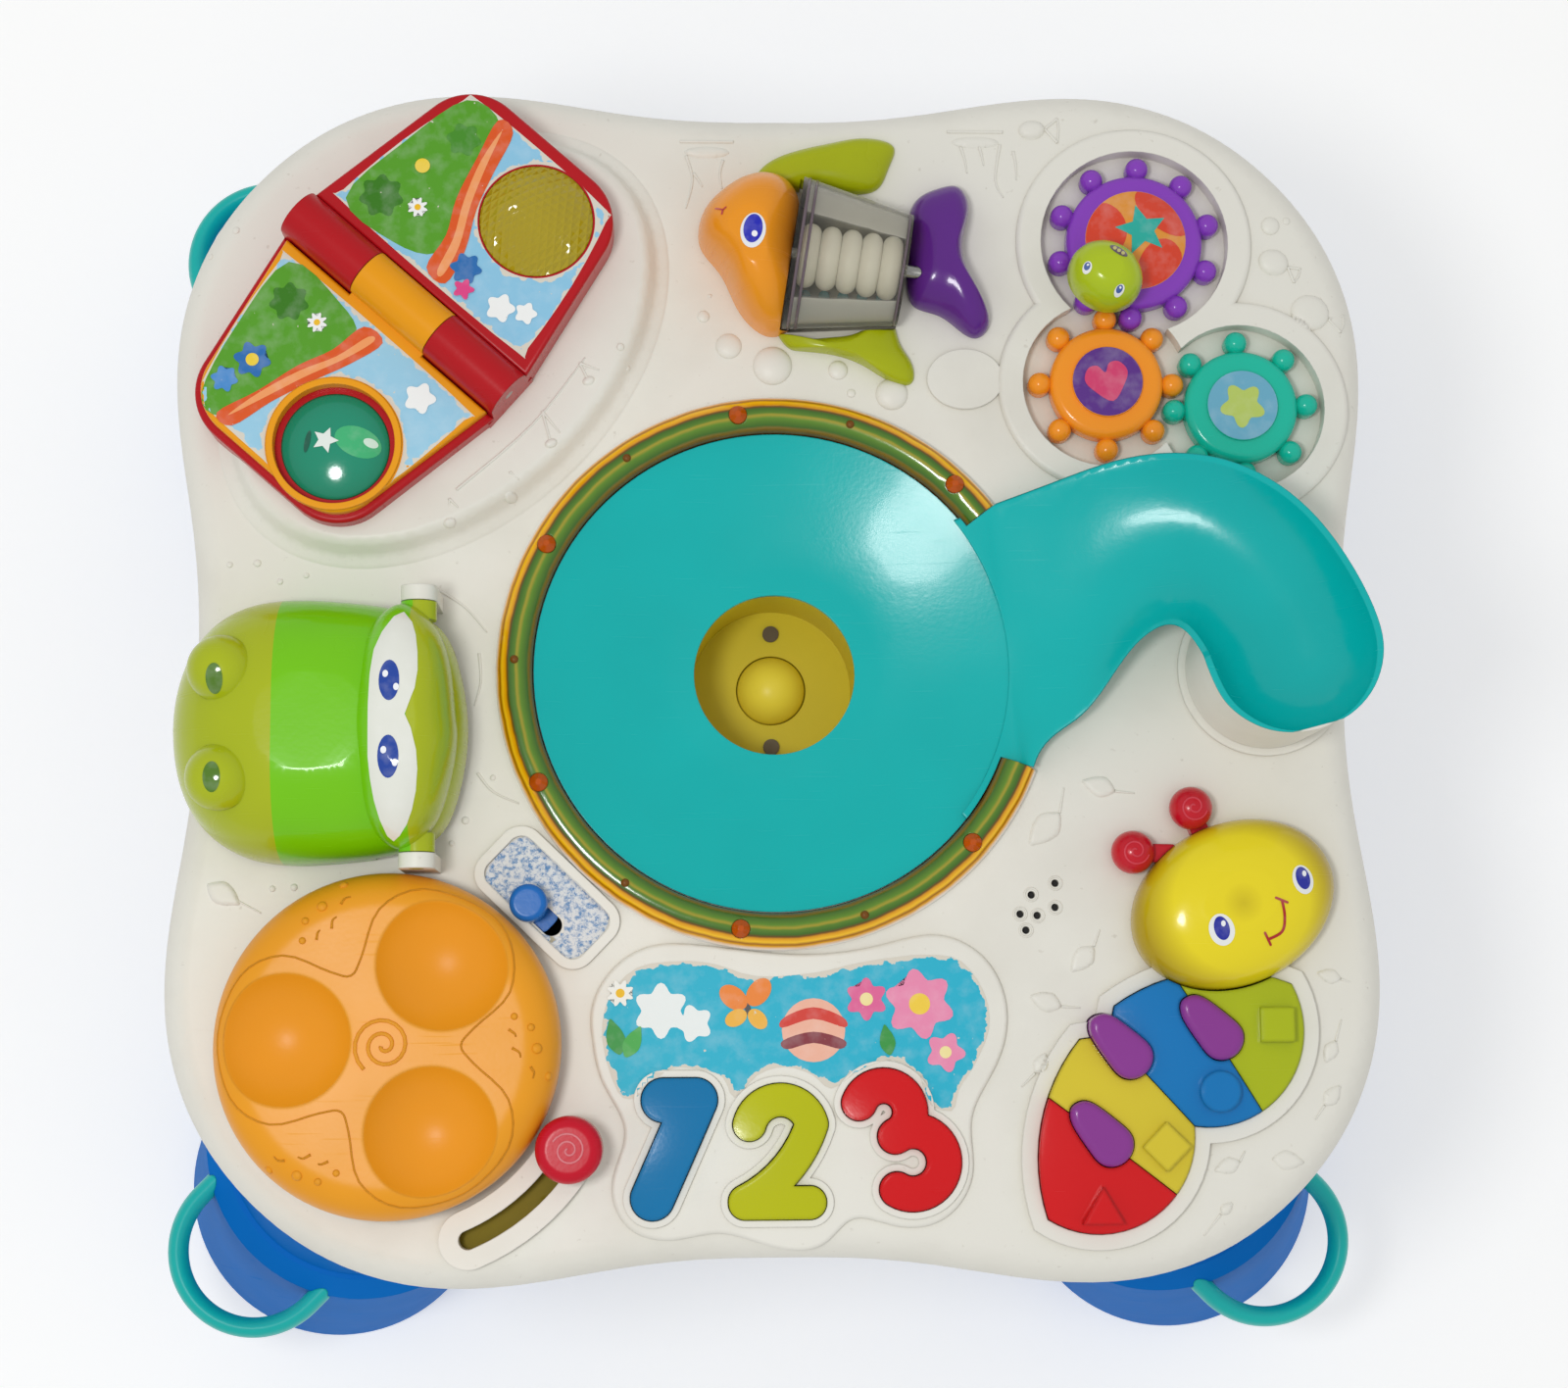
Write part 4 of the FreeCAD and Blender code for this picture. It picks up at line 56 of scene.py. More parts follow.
MM = 0.001
DECK = 0.380                # height of the deck above the floor
UP = Vector((0, 0, 1))
BODY_OF = {node: body for body, nodes in frame["record"]["behaviour"]["bodies"].items() for node in nodes}
SLOT_OF = {part["node"]: part["material_slot"] for part in frame["record"]["subparts"]}
CORNERS = ("rear_right", "rear_left", "front_left", "front_right")
SOFT_EDGE = 0.7 * MM        # how far a mould's edges look rounded
MIRROR = 0.22               # how much the worn plastics reflect beside their scattered colour
ABS, POLYPROPYLENE, STYRENE, LACQUER = 1.53, 1.49, 1.59, 1.50       # how strongly each bends light

# How far prints stand off the face that they lie on, the ground first and then ink over ink
GROUND, INK, OVER_INK, TOP_INK = 0.12 * MM, 0.15 * MM, 0.22 * MM, 0.30 * MM
GROUND_CELL, SHAPE_CELL, SMALL_CELL, FINE_CELL = 2.0 * MM, 1.5 * MM, 1.2 * MM, 0.8 * MM


def linear(hex_colour):
    """The linear colour of an sRGB hex value."""
    parts = [int(hex_colour[place:place + 2], 16) / 255 for place in (1, 3, 5)]
    return tuple(part / 12.92 if part <= 0.04045 else ((part + 0.055) / 1.055) ** 2.4 for part in parts)


def colour(name, description, hex_colour):
    return bpy.props.FloatVectorProperty(name=name, description=description, subtype="COLOR", size=3,
                                         min=0, max=1, default=linear(hex_colour))


def length(name, description, value):
    return bpy.props.FloatProperty(name=name, description=description, unit="LENGTH", min=0, default=value)


# Nodes and materials

def add(tree, kind, links=None, **settings):
    """Adds a node with its settings, and sets its sockets from values or from other nodes' sockets."""
    made = tree.nodes.new(kind)
    for key, value in settings.items():
        setattr(made, key, value)
    for socket, value in (links or {}).items():
        if isinstance(value, bpy.types.NodeSocket):
            tree.links.new(value, made.inputs[socket])
        else:
            made.inputs[socket].default_value = value
    return made


def blank(name):
    material = bpy.data.materials.new(name)
    material.use_nodes = True
    material.node_tree.nodes.clear()
    return material, material.node_tree


def opaque(tint, factor=1.0):
    return tuple(min(1.0, part * factor) for part in tint) + (1.0,)


def hairlines(tree, place):
    """Sparse fine scratches that cross at two angles."""
    turned = add(tree, "ShaderNodeMapping", {"Vector": place, "Rotation": (0, 0, 0.5), "Scale": (1, 26, 1)})
    crossed = add(tree, "ShaderNodeMapping", {"Vector": place, "Rotation": (0, 0, 2.1), "Scale": (1, 26, 1)})
    first = add(tree, "ShaderNodeTexNoise", {"Vector": turned.outputs[0], "Scale": 28.0, "Detail": 5.0})
    second = add(tree, "ShaderNodeTexNoise", {"Vector": crossed.outputs[0], "Scale": 28.0, "Detail": 5.0})
    both = add(tree, "ShaderNodeMath", {0: first.outputs["Fac"], 1: second.outputs["Fac"]},
               operation="MAXIMUM")
    return add(tree, "ShaderNodeMapRange", {0: both.outputs[0], 1: 0.66, 2: 0.72}).outputs[0]


def finish_plastic(tree, base, roughness, grain, ior, coat=0.0, edge=SOFT_EDGE, mirror=0.5):
    """A moulded surface: base colour, scuffed gloss, edges that the mould leaves slightly soft, and its
    grain as a shallow bump."""
    place = add(tree, "ShaderNodeTexCoord").outputs["Object"]
    dull = add(tree, "ShaderNodeTexNoise", {"Vector": place, "Scale": 1 / (30 * MM), "Detail": 3.0})
    gloss = add(tree, "ShaderNodeMapRange", {0: dull.outputs["Fac"], 3: roughness - 0.06,
                                             4: roughness + 0.06})
    scuffed = add(tree, "ShaderNodeMath", {0: hairlines(tree, place), 1: 0.1, 2: gloss.outputs[0]},
                  operation="MULTIPLY_ADD")
    skin = add(tree, "ShaderNodeTexNoise", {"Vector": place, "Scale": 1 / grain, "Detail": 2.0})
    soft = add(tree, "ShaderNodeBevel", {"Radius": edge}, samples=4)
    bump = add(tree, "ShaderNodeBump", {"Height": skin.outputs["Fac"], "Strength": 0.3, "Distance": 0.1 * MM,
                                        "Normal": soft.outputs[0]})
    shader = add(tree, "ShaderNodeBsdfPrincipled",
                 {"Base Color": base, "Roughness": scuffed.outputs[0], "IOR": ior, "Coat Weight": coat,
                  "Coat Roughness": 0.08, "Specular IOR Level": mirror, "Normal": bump.outputs[0]})
    add(tree, "ShaderNodeOutputMaterial", {"Surface": shader.outputs[0]})


def moulded(name, tint, roughness=0.3, coat=0.0, edge=SOFT_EDGE, mirror=MIRROR):
    """Injection-moulded ABS: an even colour with faint flow clouds, an eggshell grain drawn 1.8 mm
    coarse so that it shows, and hairline scuffs that dull the gloss."""
    material, tree = blank(name)
    place = add(tree, "ShaderNodeTexCoord").outputs["Object"]
    flow = add(tree, "ShaderNodeTexNoise", {"Vector": place, "Scale": 1 / (45 * MM), "Detail": 3.0})
    base = add(tree, "ShaderNodeMix", {0: flow.outputs["Fac"], 6: opaque(tint, 0.93), 7: opaque(tint, 1.06)},
               data_type="RGBA")
    finish_plastic(tree, base.outputs[2], roughness, 1.8 * MM, ABS, coat, edge, mirror)
    return material


def worn_shell(name, tint, grime_and_shade):
    """White moulded polypropylene that has seen years of play: satin, warm, with faint grey-brown soiling
    in clouds and as rubbed specks, and the same grey-brown painted in as shade in corners and between parts."""
    material, tree = blank(name)
    place = add(tree, "ShaderNodeTexCoord").outputs["Object"]
    sunned = add(tree, "ShaderNodeTexNoise", {"Vector": place, "Scale": 1 / (90 * MM), "Detail": 3.0})
    clean = add(tree, "ShaderNodeMix", {0: sunned.outputs["Fac"], 6: opaque(tint, 0.965),
                                        7: opaque(tint, 1.02)}, data_type="RGBA")
    cloud = add(tree, "ShaderNodeTexNoise", {"Vector": place, "Scale": 1 / (60 * MM), "Detail": 6.0})
    clouded = add(tree, "ShaderNodeMapRange", {0: cloud.outputs["Fac"], 1: 0.50, 2: 0.85, 4: 0.16})
    speck = add(tree, "ShaderNodeTexNoise", {"Vector": place, "Scale": 1 / (3 * MM), "Detail": 2.0})
    specked = add(tree, "ShaderNodeMapRange", {0: speck.outputs["Fac"], 1: 0.70, 2: 0.80, 4: 0.22})
    # Painted shade: the soiling colour is laid wherever ambient occlusion finds corners and nearby parts
    corner = add(tree, "ShaderNodeAmbientOcclusion", {"Distance": 7 * MM}, samples=4)
    corner_shade = add(tree, "ShaderNodeMapRange", {0: corner.outputs["AO"], 1: 0.75, 2: 0.2, 4: 0.3})
    loose = add(tree, "ShaderNodeMath", {0: clouded.outputs[0], 1: specked.outputs[0]}, operation="MAXIMUM")
    dirt_and_shade = add(tree, "ShaderNodeMath", {0: loose.outputs[0], 1: corner_shade.outputs[0]}, operation="MAXIMUM")
    base = add(tree, "ShaderNodeMix", {0: dirt_and_shade.outputs[0], 6: clean.outputs[2], 7: opaque(grime_and_shade)},
               data_type="RGBA")
    finish_plastic(tree, base.outputs[2], 0.42, 1.6 * MM, POLYPROPYLENE, mirror=0.4)
    return material


def clear_styrene(name, tint, body_share, facets=0.0):
    """Clear injection-moulded styrene: seen through almost freely from straight above, mirror-like
    along its turned-away sides, with a trace of haze and, where facets is given, a cut diamond pattern."""
    material, tree = blank(name)
    place = add(tree, "ShaderNodeTexCoord").outputs["Object"]
    haze = add(tree, "ShaderNodeMath", {0: hairlines(tree, place), 1: 0.15, 2: 0.06},
               operation="MULTIPLY_ADD")
    flow = add(tree, "ShaderNodeTexNoise", {"Vector": place, "Scale": 1 / (25 * MM), "Detail": 3.0})
    body = add(tree, "ShaderNodeMix", {0: flow.outputs["Fac"], 6: opaque(tint, 0.92), 7: opaque(tint, 1.04)},
               data_type="RGBA")
    soft = add(tree, "ShaderNodeBevel", {"Radius": SOFT_EDGE}, samples=4)
    skin = soft.outputs[0]
    if facets:
        left = add(tree, "ShaderNodeMapping", {"Vector": place, "Rotation": (0, 0, 0.1)})
        right = add(tree, "ShaderNodeMapping", {"Vector": place, "Rotation": (0, 0, 1.15)})
        one = add(tree, "ShaderNodeTexWave", {"Vector": left.outputs[0], "Scale": 0.314 / facets},
                  wave_profile="TRI")
        other = add(tree, "ShaderNodeTexWave", {"Vector": right.outputs[0], "Scale": 0.314 / facets},
                    wave_profile="TRI")
        cut = add(tree, "ShaderNodeMath", {0: one.outputs["Fac"], 1: other.outputs["Fac"]},
                  operation="MAXIMUM")
        skin = add(tree, "ShaderNodeBump", {"Height": cut.outputs[0], "Strength": 0.9, "Distance": facets / 4,
                                            "Normal": skin}).outputs[0]
    solid = add(tree, "ShaderNodeBsdfPrincipled",
                {"Base Color": body.outputs[2], "Roughness": haze.outputs[0], "IOR": STYRENE, "Normal": skin})
    through = add(tree, "ShaderNodeBsdfTransparent", {"Color": opaque(tint, 1.02)})
    rim = add(tree, "ShaderNodeFresnel", {"IOR": STYRENE})
    share = add(tree, "ShaderNodeMapRange", {0: rim.outputs[0], 1: 0.05, 3: body_share, 4: 1.0})
    mix = add(tree, "ShaderNodeMixShader", {0: share.outputs[0], 1: through.outputs[0], 2: solid.outputs[0]})
    add(tree, "ShaderNodeOutputMaterial", {"Surface": mix.outputs[0]})
    return material


def bare_metal(name, tint, roughness, line_size):
    """Steel as drawn or plated: grey metal with fine lines along its length and small dull spots."""
    material, tree = blank(name)
    place = add(tree, "ShaderNodeTexCoord").outputs["Object"]
    spots = add(tree, "ShaderNodeTexNoise", {"Vector": place, "Scale": 1 / line_size, "Detail": 5.0})
    base = add(tree, "ShaderNodeMix", {0: spots.outputs["Fac"], 6: opaque(tint, 0.8), 7: opaque(tint, 1.1)},
               data_type="RGBA")
    gloss = add(tree, "ShaderNodeMapRange", {0: spots.outputs["Fac"], 3: roughness - 0.15,
                                             4: roughness + 0.15})
    shader = add(tree, "ShaderNodeBsdfPrincipled",
                 {"Base Color": base.outputs[2], "Roughness": gloss.outputs[0], "Metallic": 1.0})
    add(tree, "ShaderNodeOutputMaterial", {"Surface": shader.outputs[0]})
    return material


def printed(name, roughness=0.35, worn=0.0, coat=0.0):
    """Pad-printed ink or a vinyl label: each shape in its own ink, slightly mottled, and where worn is
    given, in metres, the label's torn edge and its chips show the paper below."""
    material, tree = blank(name)
    place = add(tree, "ShaderNodeTexCoord").outputs["Object"]
    ink = add(tree, "ShaderNodeAttribute", attribute_name="ink").outputs["Color"]
    wash = add(tree, "ShaderNodeTexNoise", {"Vector": place, "Scale": 1 / (6 * MM), "Detail": 4.0})
    pale = add(tree, "ShaderNodeMapRange", {0: wash.outputs["Fac"], 1: 0.45, 2: 0.8, 4: 0.12})
    base = add(tree, "ShaderNodeMix", {0: pale.outputs[0], 6: ink, 7: (1, 1, 1, 1)},
               data_type="RGBA").outputs[2]
    if worn:
        edge = add(tree, "ShaderNodeAttribute", attribute_name="edge").outputs["Fac"]
        ragged = add(tree, "ShaderNodeTexNoise", {"Vector": place, "Scale": 1 / (5 * MM), "Detail": 7.0})
        reach = add(tree, "ShaderNodeMapRange", {0: ragged.outputs["Fac"], 1: 0.35, 2: 0.75, 4: worn})
        left = add(tree, "ShaderNodeMath", {0: reach.outputs[0], 1: edge}, operation="SUBTRACT")
        torn = add(tree, "ShaderNodeMapRange", {0: left.outputs[0], 1: 0.0, 2: 0.15 * MM})
        chip = add(tree, "ShaderNodeTexNoise", {"Vector": place, "Scale": 1 / (2.5 * MM), "Detail": 5.0})
        chipped = add(tree, "ShaderNodeMapRange", {0: chip.outputs["Fac"], 1: 0.72, 2: 0.75})
        bare = add(tree, "ShaderNodeMath", {0: torn.outputs[0], 1: chipped.outputs[0]}, operation="MAXIMUM")
        base = add(tree, "ShaderNodeMix", {0: bare.outputs[0], 6: base, 7: opaque(linear("#DCD6C8"))},
                   data_type="RGBA").outputs[2]
    finish_plastic(tree, base, roughness, 1.2 * MM, LACQUER, coat, mirror=MIRROR)
    return material


def rubbed_label(name):
    """A vinyl label rubbed down to blue and white specks, with one bare spot of beige glue."""
    material, tree = blank(name)
    place = add(tree, "ShaderNodeTexCoord").outputs["Object"]
    fine = add(tree, "ShaderNodeTexNoise", {"Vector": place, "Scale": 1 / (2.2 * MM), "Detail": 8.0,
                                            "Roughness": 0.75})
    share = add(tree, "ShaderNodeMapRange", {0: fine.outputs["Fac"], 1: 0.46, 2: 0.6})
    base = add(tree, "ShaderNodeMix", {0: share.outputs[0], 6: opaque(linear("#E4E6E6")),
                                       7: opaque(linear("#5F8EC0"))}, data_type="RGBA")
    wide = add(tree, "ShaderNodeTexNoise", {"Vector": place, "Scale": 1 / (16 * MM), "Detail": 4.0})
    glue = add(tree, "ShaderNodeMapRange", {0: wide.outputs["Fac"], 1: 0.66, 2: 0.68})
    worn = add(tree, "ShaderNodeMix", {0: glue.outputs[0], 6: base.outputs[2], 7: opaque(linear("#B9B096"))},
               data_type="RGBA")
    finish_plastic(tree, worn.outputs[2], 0.5, 1.0 * MM, LACQUER, mirror=MIRROR)
    return material


def ringed(name, stops, low, high):
    """Amber clear styrene over a green light tube: rings of colour by the distance from the dish's middle,
    the tube's own colours with painted shade on its sides and a painted highlight along its crown, and
    the bright outer lip, under a high gloss."""
    material, tree = blank(name)
    place = add(tree, "ShaderNodeTexCoord").outputs["Object"]
    flat = add(tree, "ShaderNodeMapping", {"Vector": place, "Scale": (1, 1, 0)})
    reach = add(tree, "ShaderNodeVectorMath", {0: flat.outputs[0]}, operation="LENGTH")
    cloud = add(tree, "ShaderNodeTexNoise", {"Vector": place, "Scale": 1 / (12 * MM), "Detail": 3.0})
    wobble = add(tree, "ShaderNodeMapRange", {0: cloud.outputs["Fac"], 3: -0.6 * MM, 4: 0.6 * MM})
    moved = add(tree, "ShaderNodeMath", {0: reach.outputs["Value"], 1: wobble.outputs[0]}, operation="ADD")
    share = add(tree, "ShaderNodeMapRange", {0: moved.outputs[0], 1: low, 2: high})
    ramp = add(tree, "ShaderNodeValToRGB", {0: share.outputs[0]})
    for place_share, tint in stops:
        ramp.color_ramp.elements.new(place_share).color = opaque(linear(tint))
    ramp.color_ramp.elements.remove(ramp.color_ramp.elements[0])
    ramp.color_ramp.elements.remove(ramp.color_ramp.elements[-1])
    finish_plastic(tree, ramp.outputs[0], 0.16, 4 * MM, STYRENE, 0.4, mirror=0.3)
    return material


def zoned(name, stops, low, high, roughness):
    """Glossy moulded ABS in bands of colour that run across the piece, each with a clean edge where the
    spray mask lay, low and high being where the bands begin and end along X."""
    material, tree = blank(name)
    place = add(tree, "ShaderNodeTexCoord").outputs["Object"]
    along = add(tree, "ShaderNodeSeparateXYZ", {0: place})
    share = add(tree, "ShaderNodeMapRange", {0: along.outputs[0], 1: low, 2: high})
    ramp = add(tree, "ShaderNodeValToRGB", {0: share.outputs[0]})
    ramp.color_ramp.interpolation = "CONSTANT"
    for place_share, tint in stops:
        ramp.color_ramp.elements.new(place_share).color = opaque(tint)
    ramp.color_ramp.elements.remove(ramp.color_ramp.elements[0])
    ramp.color_ramp.elements.remove(ramp.color_ramp.elements[-1])
    cloud = add(tree, "ShaderNodeTexNoise", {"Vector": place, "Scale": 1 / (40 * MM), "Detail": 3.0})
    shade = add(tree, "ShaderNodeMapRange", {0: cloud.outputs["Fac"], 3: 0.0, 4: 0.12})
    base = add(tree, "ShaderNodeMix", {0: shade.outputs[0], 6: ramp.outputs[0], 7: (0.02, 0.06, 0.0, 1)},
               data_type="RGBA")
    finish_plastic(tree, base.outputs[2], roughness, 2.0 * MM, ABS, 0.3, mirror=MIRROR)
    return material


def rim_shaded(name, tint, rim_shade_tint, middle, reach):
    """Glossy yellow ABS with painted shade: darker amber towards the rim, where the dome turns away from the
    light, and a darker spot in the middle of the head."""
    material, tree = blank(name)
    place = add(tree, "ShaderNodeTexCoord").outputs["Object"]
    centred = add(tree, "ShaderNodeMapping",
                  {"Vector": place, "Location": (-middle[0] / reach, -middle[1] / reach, 0),
                   "Scale": (1 / reach, 1 / reach, 0)})
    away = add(tree, "ShaderNodeVectorMath", {0: centred.outputs[0]}, operation="LENGTH")
    share = add(tree, "ShaderNodeMapRange", {0: away.outputs["Value"], 1: 0.72, 2: 1.05, 4: 0.75})
    spot = add(tree, "ShaderNodeMapRange", {0: away.outputs["Value"], 1: 0.22, 2: 0.0, 4: 0.35})
    both = add(tree, "ShaderNodeMath", {0: share.outputs[0], 1: spot.outputs[0]}, operation="MAXIMUM")
    base = add(tree, "ShaderNodeMix", {0: both.outputs[0], 6: opaque(tint), 7: opaque(rim_shade_tint)},
               data_type="RGBA")
    finish_plastic(tree, base.outputs[2], 0.2, 2.0 * MM, ABS, 0.3, mirror=MIRROR)
    return material


# Meshes

def new_piece(name, mesh, body):
    piece = bpy.data.objects.new(name, mesh)
    bpy.context.scene.collection.objects.link(piece)
    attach(piece, body)
    return piece


def settle(piece):
    """Turns what the modifiers make into the piece's own plain mesh."""
    ready = piece.evaluated_get(bpy.context.evaluated_depsgraph_get())
    mesh = bpy.data.meshes.new_from_object(ready)
    piece.modifiers.clear()
    piece.data = mesh


def dress(node, material, crease=32.0):
    """Stands a welded, smooth-shaded copy of a CAD node in for it, creased where faces meet sharply."""
    welded = bmesh.new()
    welded.from_mesh(frame["nodes"][node].data)
    bmesh.ops.remove_doubles(welded, verts=welded.verts, dist=0.0005 * MM)
    bmesh.ops.dissolve_degenerate(welded, edges=welded.edges, dist=0.0005 * MM)
    limit = math.radians(crease)
    for face in welded.faces:
        face.smooth = True
    for edge in welded.edges:
        edge.smooth = edge.is_manifold and edge.calc_face_angle(0.0) < limit
    mesh = bpy.data.meshes.new("dressed_" + node)
    welded.to_mesh(mesh)
    welded.free()
    mesh.materials.append(material)
    piece = new_piece("dressed_" + node, mesh, BODY_OF[node])
    weigh = piece.modifiers.new("Flat faces lead", "WEIGHTED_NORMAL")
    weigh.keep_sharp = True
    settle(piece)
    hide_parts(node)
    return piece


# Geometry Nodes trees

def rule_tree(name, sockets):
    """An empty Geometry Nodes tree with geometry in and out and the named inputs, and its inputs' sockets."""
    tree = bpy.data.node_groups.new(name, "GeometryNodeTree")
    tree.interface.new_socket("Geometry", in_out="OUTPUT", socket_type="NodeSocketGeometry")
    tree.interface.new_socket("Geometry", in_out="INPUT", socket_type="NodeSocketGeometry")
    for label, kind in sockets:
        tree.interface.new_socket(label, in_out="INPUT", socket_type="NodeSocket" + kind)
    return tree, add(tree, "NodeGroupInput").outputs


def close_tree(tree, geometry, material):
    """Ends a tree: real faces, smooth, in their material."""
    real = add(tree, "GeometryNodeRealizeInstances", {"Geometry": geometry})
    smooth = add(tree, "GeometryNodeSetShadeSmooth", {"Geometry": real.outputs[0]})
    coated = add(tree, "GeometryNodeSetMaterial", {"Geometry": smooth.outputs[0], "Material": material})
    add(tree, "NodeGroupOutput", {"Geometry": coated.outputs[0]})


def domes_tree():
    """Low domes on points, each as wide as its point's reach and leaning with its normal."""
    tree, given = rule_tree("Domes on points", (("Rise", "Float"), ("Material", "Material")))
    reach = add(tree, "GeometryNodeInputNamedAttribute", {"Name": "reach"}, data_type="FLOAT").outputs[0]
    lean = add(tree, "GeometryNodeInputNamedAttribute", {"Name": "lean"}, data_type="FLOAT_VECTOR").outputs[0]
    ball = add(tree, "GeometryNodeMeshUVSphere", {"Segments": 22, "Rings": 12, "Radius": 1.0})
    height = add(tree, "ShaderNodeMath", {0: reach, 1: given["Rise"]}, operation="MULTIPLY")
    size = add(tree, "ShaderNodeCombineXYZ", {0: reach, 1: reach, 2: height.outputs[0]})
    turn = add(tree, "FunctionNodeAlignRotationToVector", {"Vector": lean}, axis="Z")
    stood = add(tree, "GeometryNodeInstanceOnPoints",
                {"Points": given["Geometry"], "Instance": ball.outputs[0], "Rotation": turn.outputs[0],
                 "Scale": size.outputs[0]})
    close_tree(tree, stood.outputs[0], given["Material"])
    return tree


def beads_tree():
    """Round beads along the lines of a mesh, each as thick as its points' reach."""
    tree, given = rule_tree("Beads along lines", (("Sides", "Int"), ("Material", "Material")))
    reach = add(tree, "GeometryNodeInputNamedAttribute", {"Name": "reach"}, data_type="FLOAT").outputs[0]
    line = add(tree, "GeometryNodeMeshToCurve", {"Mesh": given["Geometry"]})
    section = add(tree, "GeometryNodeCurvePrimitiveCircle", {"Resolution": given["Sides"], "Radius": 1.0})
    swept = add(tree, "GeometryNodeCurveToMesh",
                {"Curve": line.outputs[0], "Profile Curve": section.outputs[0], "Scale": reach,
                 "Fill Caps": True})
    close_tree(tree, swept.outputs[0], given["Material"])
    return tree


def grown(name, points, edges, reaches, leans, tree, values, body, slot):
    """A plain mesh that a tree makes over points and lines, each point with its reach and lean."""
    mesh = bpy.data.meshes.new(name)
    mesh.from_pydata([tuple(point) for point in points], edges, [])
    mesh.attributes.new("reach", "FLOAT", "POINT").data.foreach_set("value", reaches)
    mesh.attributes.new("lean", "FLOAT_VECTOR", "POINT").data.foreach_set(
        "vector", [part for lean in leans for part in lean])
    piece = bpy.data.objects.new(name, mesh)
    bpy.context.scene.collection.objects.link(piece)
    rule = piece.modifiers.new("Rule", "NODES")
    rule.node_group = tree
    for item in tree.interface.items_tree:
        if item.in_out == "INPUT" and item.name in values:
            rule[item.identifier] = values[item.name]
    settle(piece)
    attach(piece, body)
    return piece


# Outlines in plan: lists of (x, y) in metres

ROUND_END = 0.8             # turn, in radians, of the points that round a line's end


def in_mm(points):
    return [(x * MM, y * MM) for x, y in points]


def ellipse(half_length, half_width, steps=28):
    angles = [2 * math.pi * step / steps for step in range(steps)]
    return [(half_length * math.cos(angle), half_width * math.sin(angle)) for angle in angles]


def through(points, closed=True, steps=5):
    """A smooth line through the given points, as a chain of short runs."""
    count = len(points)
    found = []
    for start in range(count if closed else count - 1):
        places = [start + offset for offset in (-1, 0, 1, 2)]
        places = [place % count if closed else min(count - 1, max(0, place)) for place in places]
        a, b, c, d = (Vector(points[place]) for place in places)
        for step in range(steps):
            t = step / steps
            point = (2 * b + (c - a) * t + (2 * a - 5 * b + 4 * c - d) * t * t
                     + (3 * b - a - 3 * c + d) * t ** 3) / 2
            found.append((point.x, point.y))
    return found if closed else found + [tuple(points[-1])]


def spiral(reach, turns, start=0.0, steps=40):
    """A line that winds outwards from its middle."""
    angles = [start + 2 * math.pi * turns * step / steps for step in range(steps + 1)]
    sizes = [reach * (0.08 + 0.92 * step / steps) for step in range(steps + 1)]
    return [(size * math.cos(angle), size * math.sin(angle)) for size, angle in zip(sizes, angles)]


def star(reach, waist, points=5):
    """A star whose points reach out and whose waists stay in."""
    angles = [math.pi * step / points for step in range(2 * points)]
    sizes = [reach, waist] * points
    return [(size * math.sin(angle), size * math.cos(angle)) for size, angle in zip(sizes, angles)]


def petals(reach, depth, count, steps=48):
    """A flower's outline, with count round petals."""
    angles = [2 * math.pi * step / steps for step in range(steps)]
    sizes = [reach * (1 - depth * (0.5 + 0.5 * math.cos(count * angle))) for angle in angles]
    return [(size * math.cos(angle), size * math.sin(angle)) for size, angle in zip(sizes, angles)]


def leaf(base, tip, fullness=0.30):
    """A leaf's blade between two points, widest nearer its base."""
    base, tip = Vector(base), Vector(tip)
    ahead = tip - base
    across = Vector((-ahead.y, ahead.x)) * fullness
    shares = ((0.12, 0.55), (0.35, 1.0), (0.62, 0.85), (0.85, 0.4))
    left = [base + ahead * along + across * wide for along, wide in shares]
    right = [base + ahead * along - across * wide for along, wide in reversed(shares)]
    return through([tuple(base)] + [tuple(point) for point in left] + [tuple(tip)]
                   + [tuple(point) for point in right], steps=3)


def stroke(points, width, taper=1.0):
    """Outline of a line along a path, round at both ends and narrowed to taper of its width at the last."""
    path = [Vector(point) for point in points]
    left, right = [], []
    for place, point in enumerate(path):
        ahead = (path[min(place + 1, len(path) - 1)] - path[max(place - 1, 0)]).normalized()
        half = width / 2 * (1 + (taper - 1) * place / (len(path) - 1))
        across = Vector((-ahead.y, ahead.x)) * half
        left.append(point + across)
        right.append(point - across)
        if place == 0:
            start = [point - ahead * half * math.cos(turn) + across * math.sin(turn)
                     for turn in (-ROUND_END, 0, ROUND_END)]
        end = [point + ahead * half * math.cos(turn) + across * math.sin(turn)
               for turn in (ROUND_END, 0, -ROUND_END)]
    return [tuple(point) for point in start + left + end + right[::-1]]


def placed(outline, x, y, turn=0.0, size=1.0):
    """An outline turned by degrees about its origin, scaled, and moved to (x, y)."""
    cos, sin = math.cos(math.radians(turn)) * size, math.sin(math.radians(turn)) * size
    return [(x + cos * along - sin * across, y + sin * along + cos * across) for along, across in outline]


def grounds(pieces):
    """A tree of the pieces' faces, to let prints and reliefs down on."""
    points, faces = [], []
    for piece in pieces:
        base = len(points)
        points += [vertex.co for vertex in piece.data.vertices]
        faces += [[base + place for place in face.vertices] for face in piece.data.polygons]
    return BVHTree.FromPolygons(points, faces)


def edge_distance(point, outline):
    nearest = math.inf
    for start, end in zip(outline, outline[1:] + outline[:1]):
        start, run = Vector(start), Vector(end) - Vector(start)
        share = max(0.0, min(1.0, (point - start).dot(run) / max(run.length_squared, 1e-12)))
        nearest = min(nearest, (point - start - run * share).length)
    return nearest


LINE_SIDES = 8              # faces round a raised line
SUNK_EDGE = 0.05 * MM       # how far a raised shape's edge sits below its ground


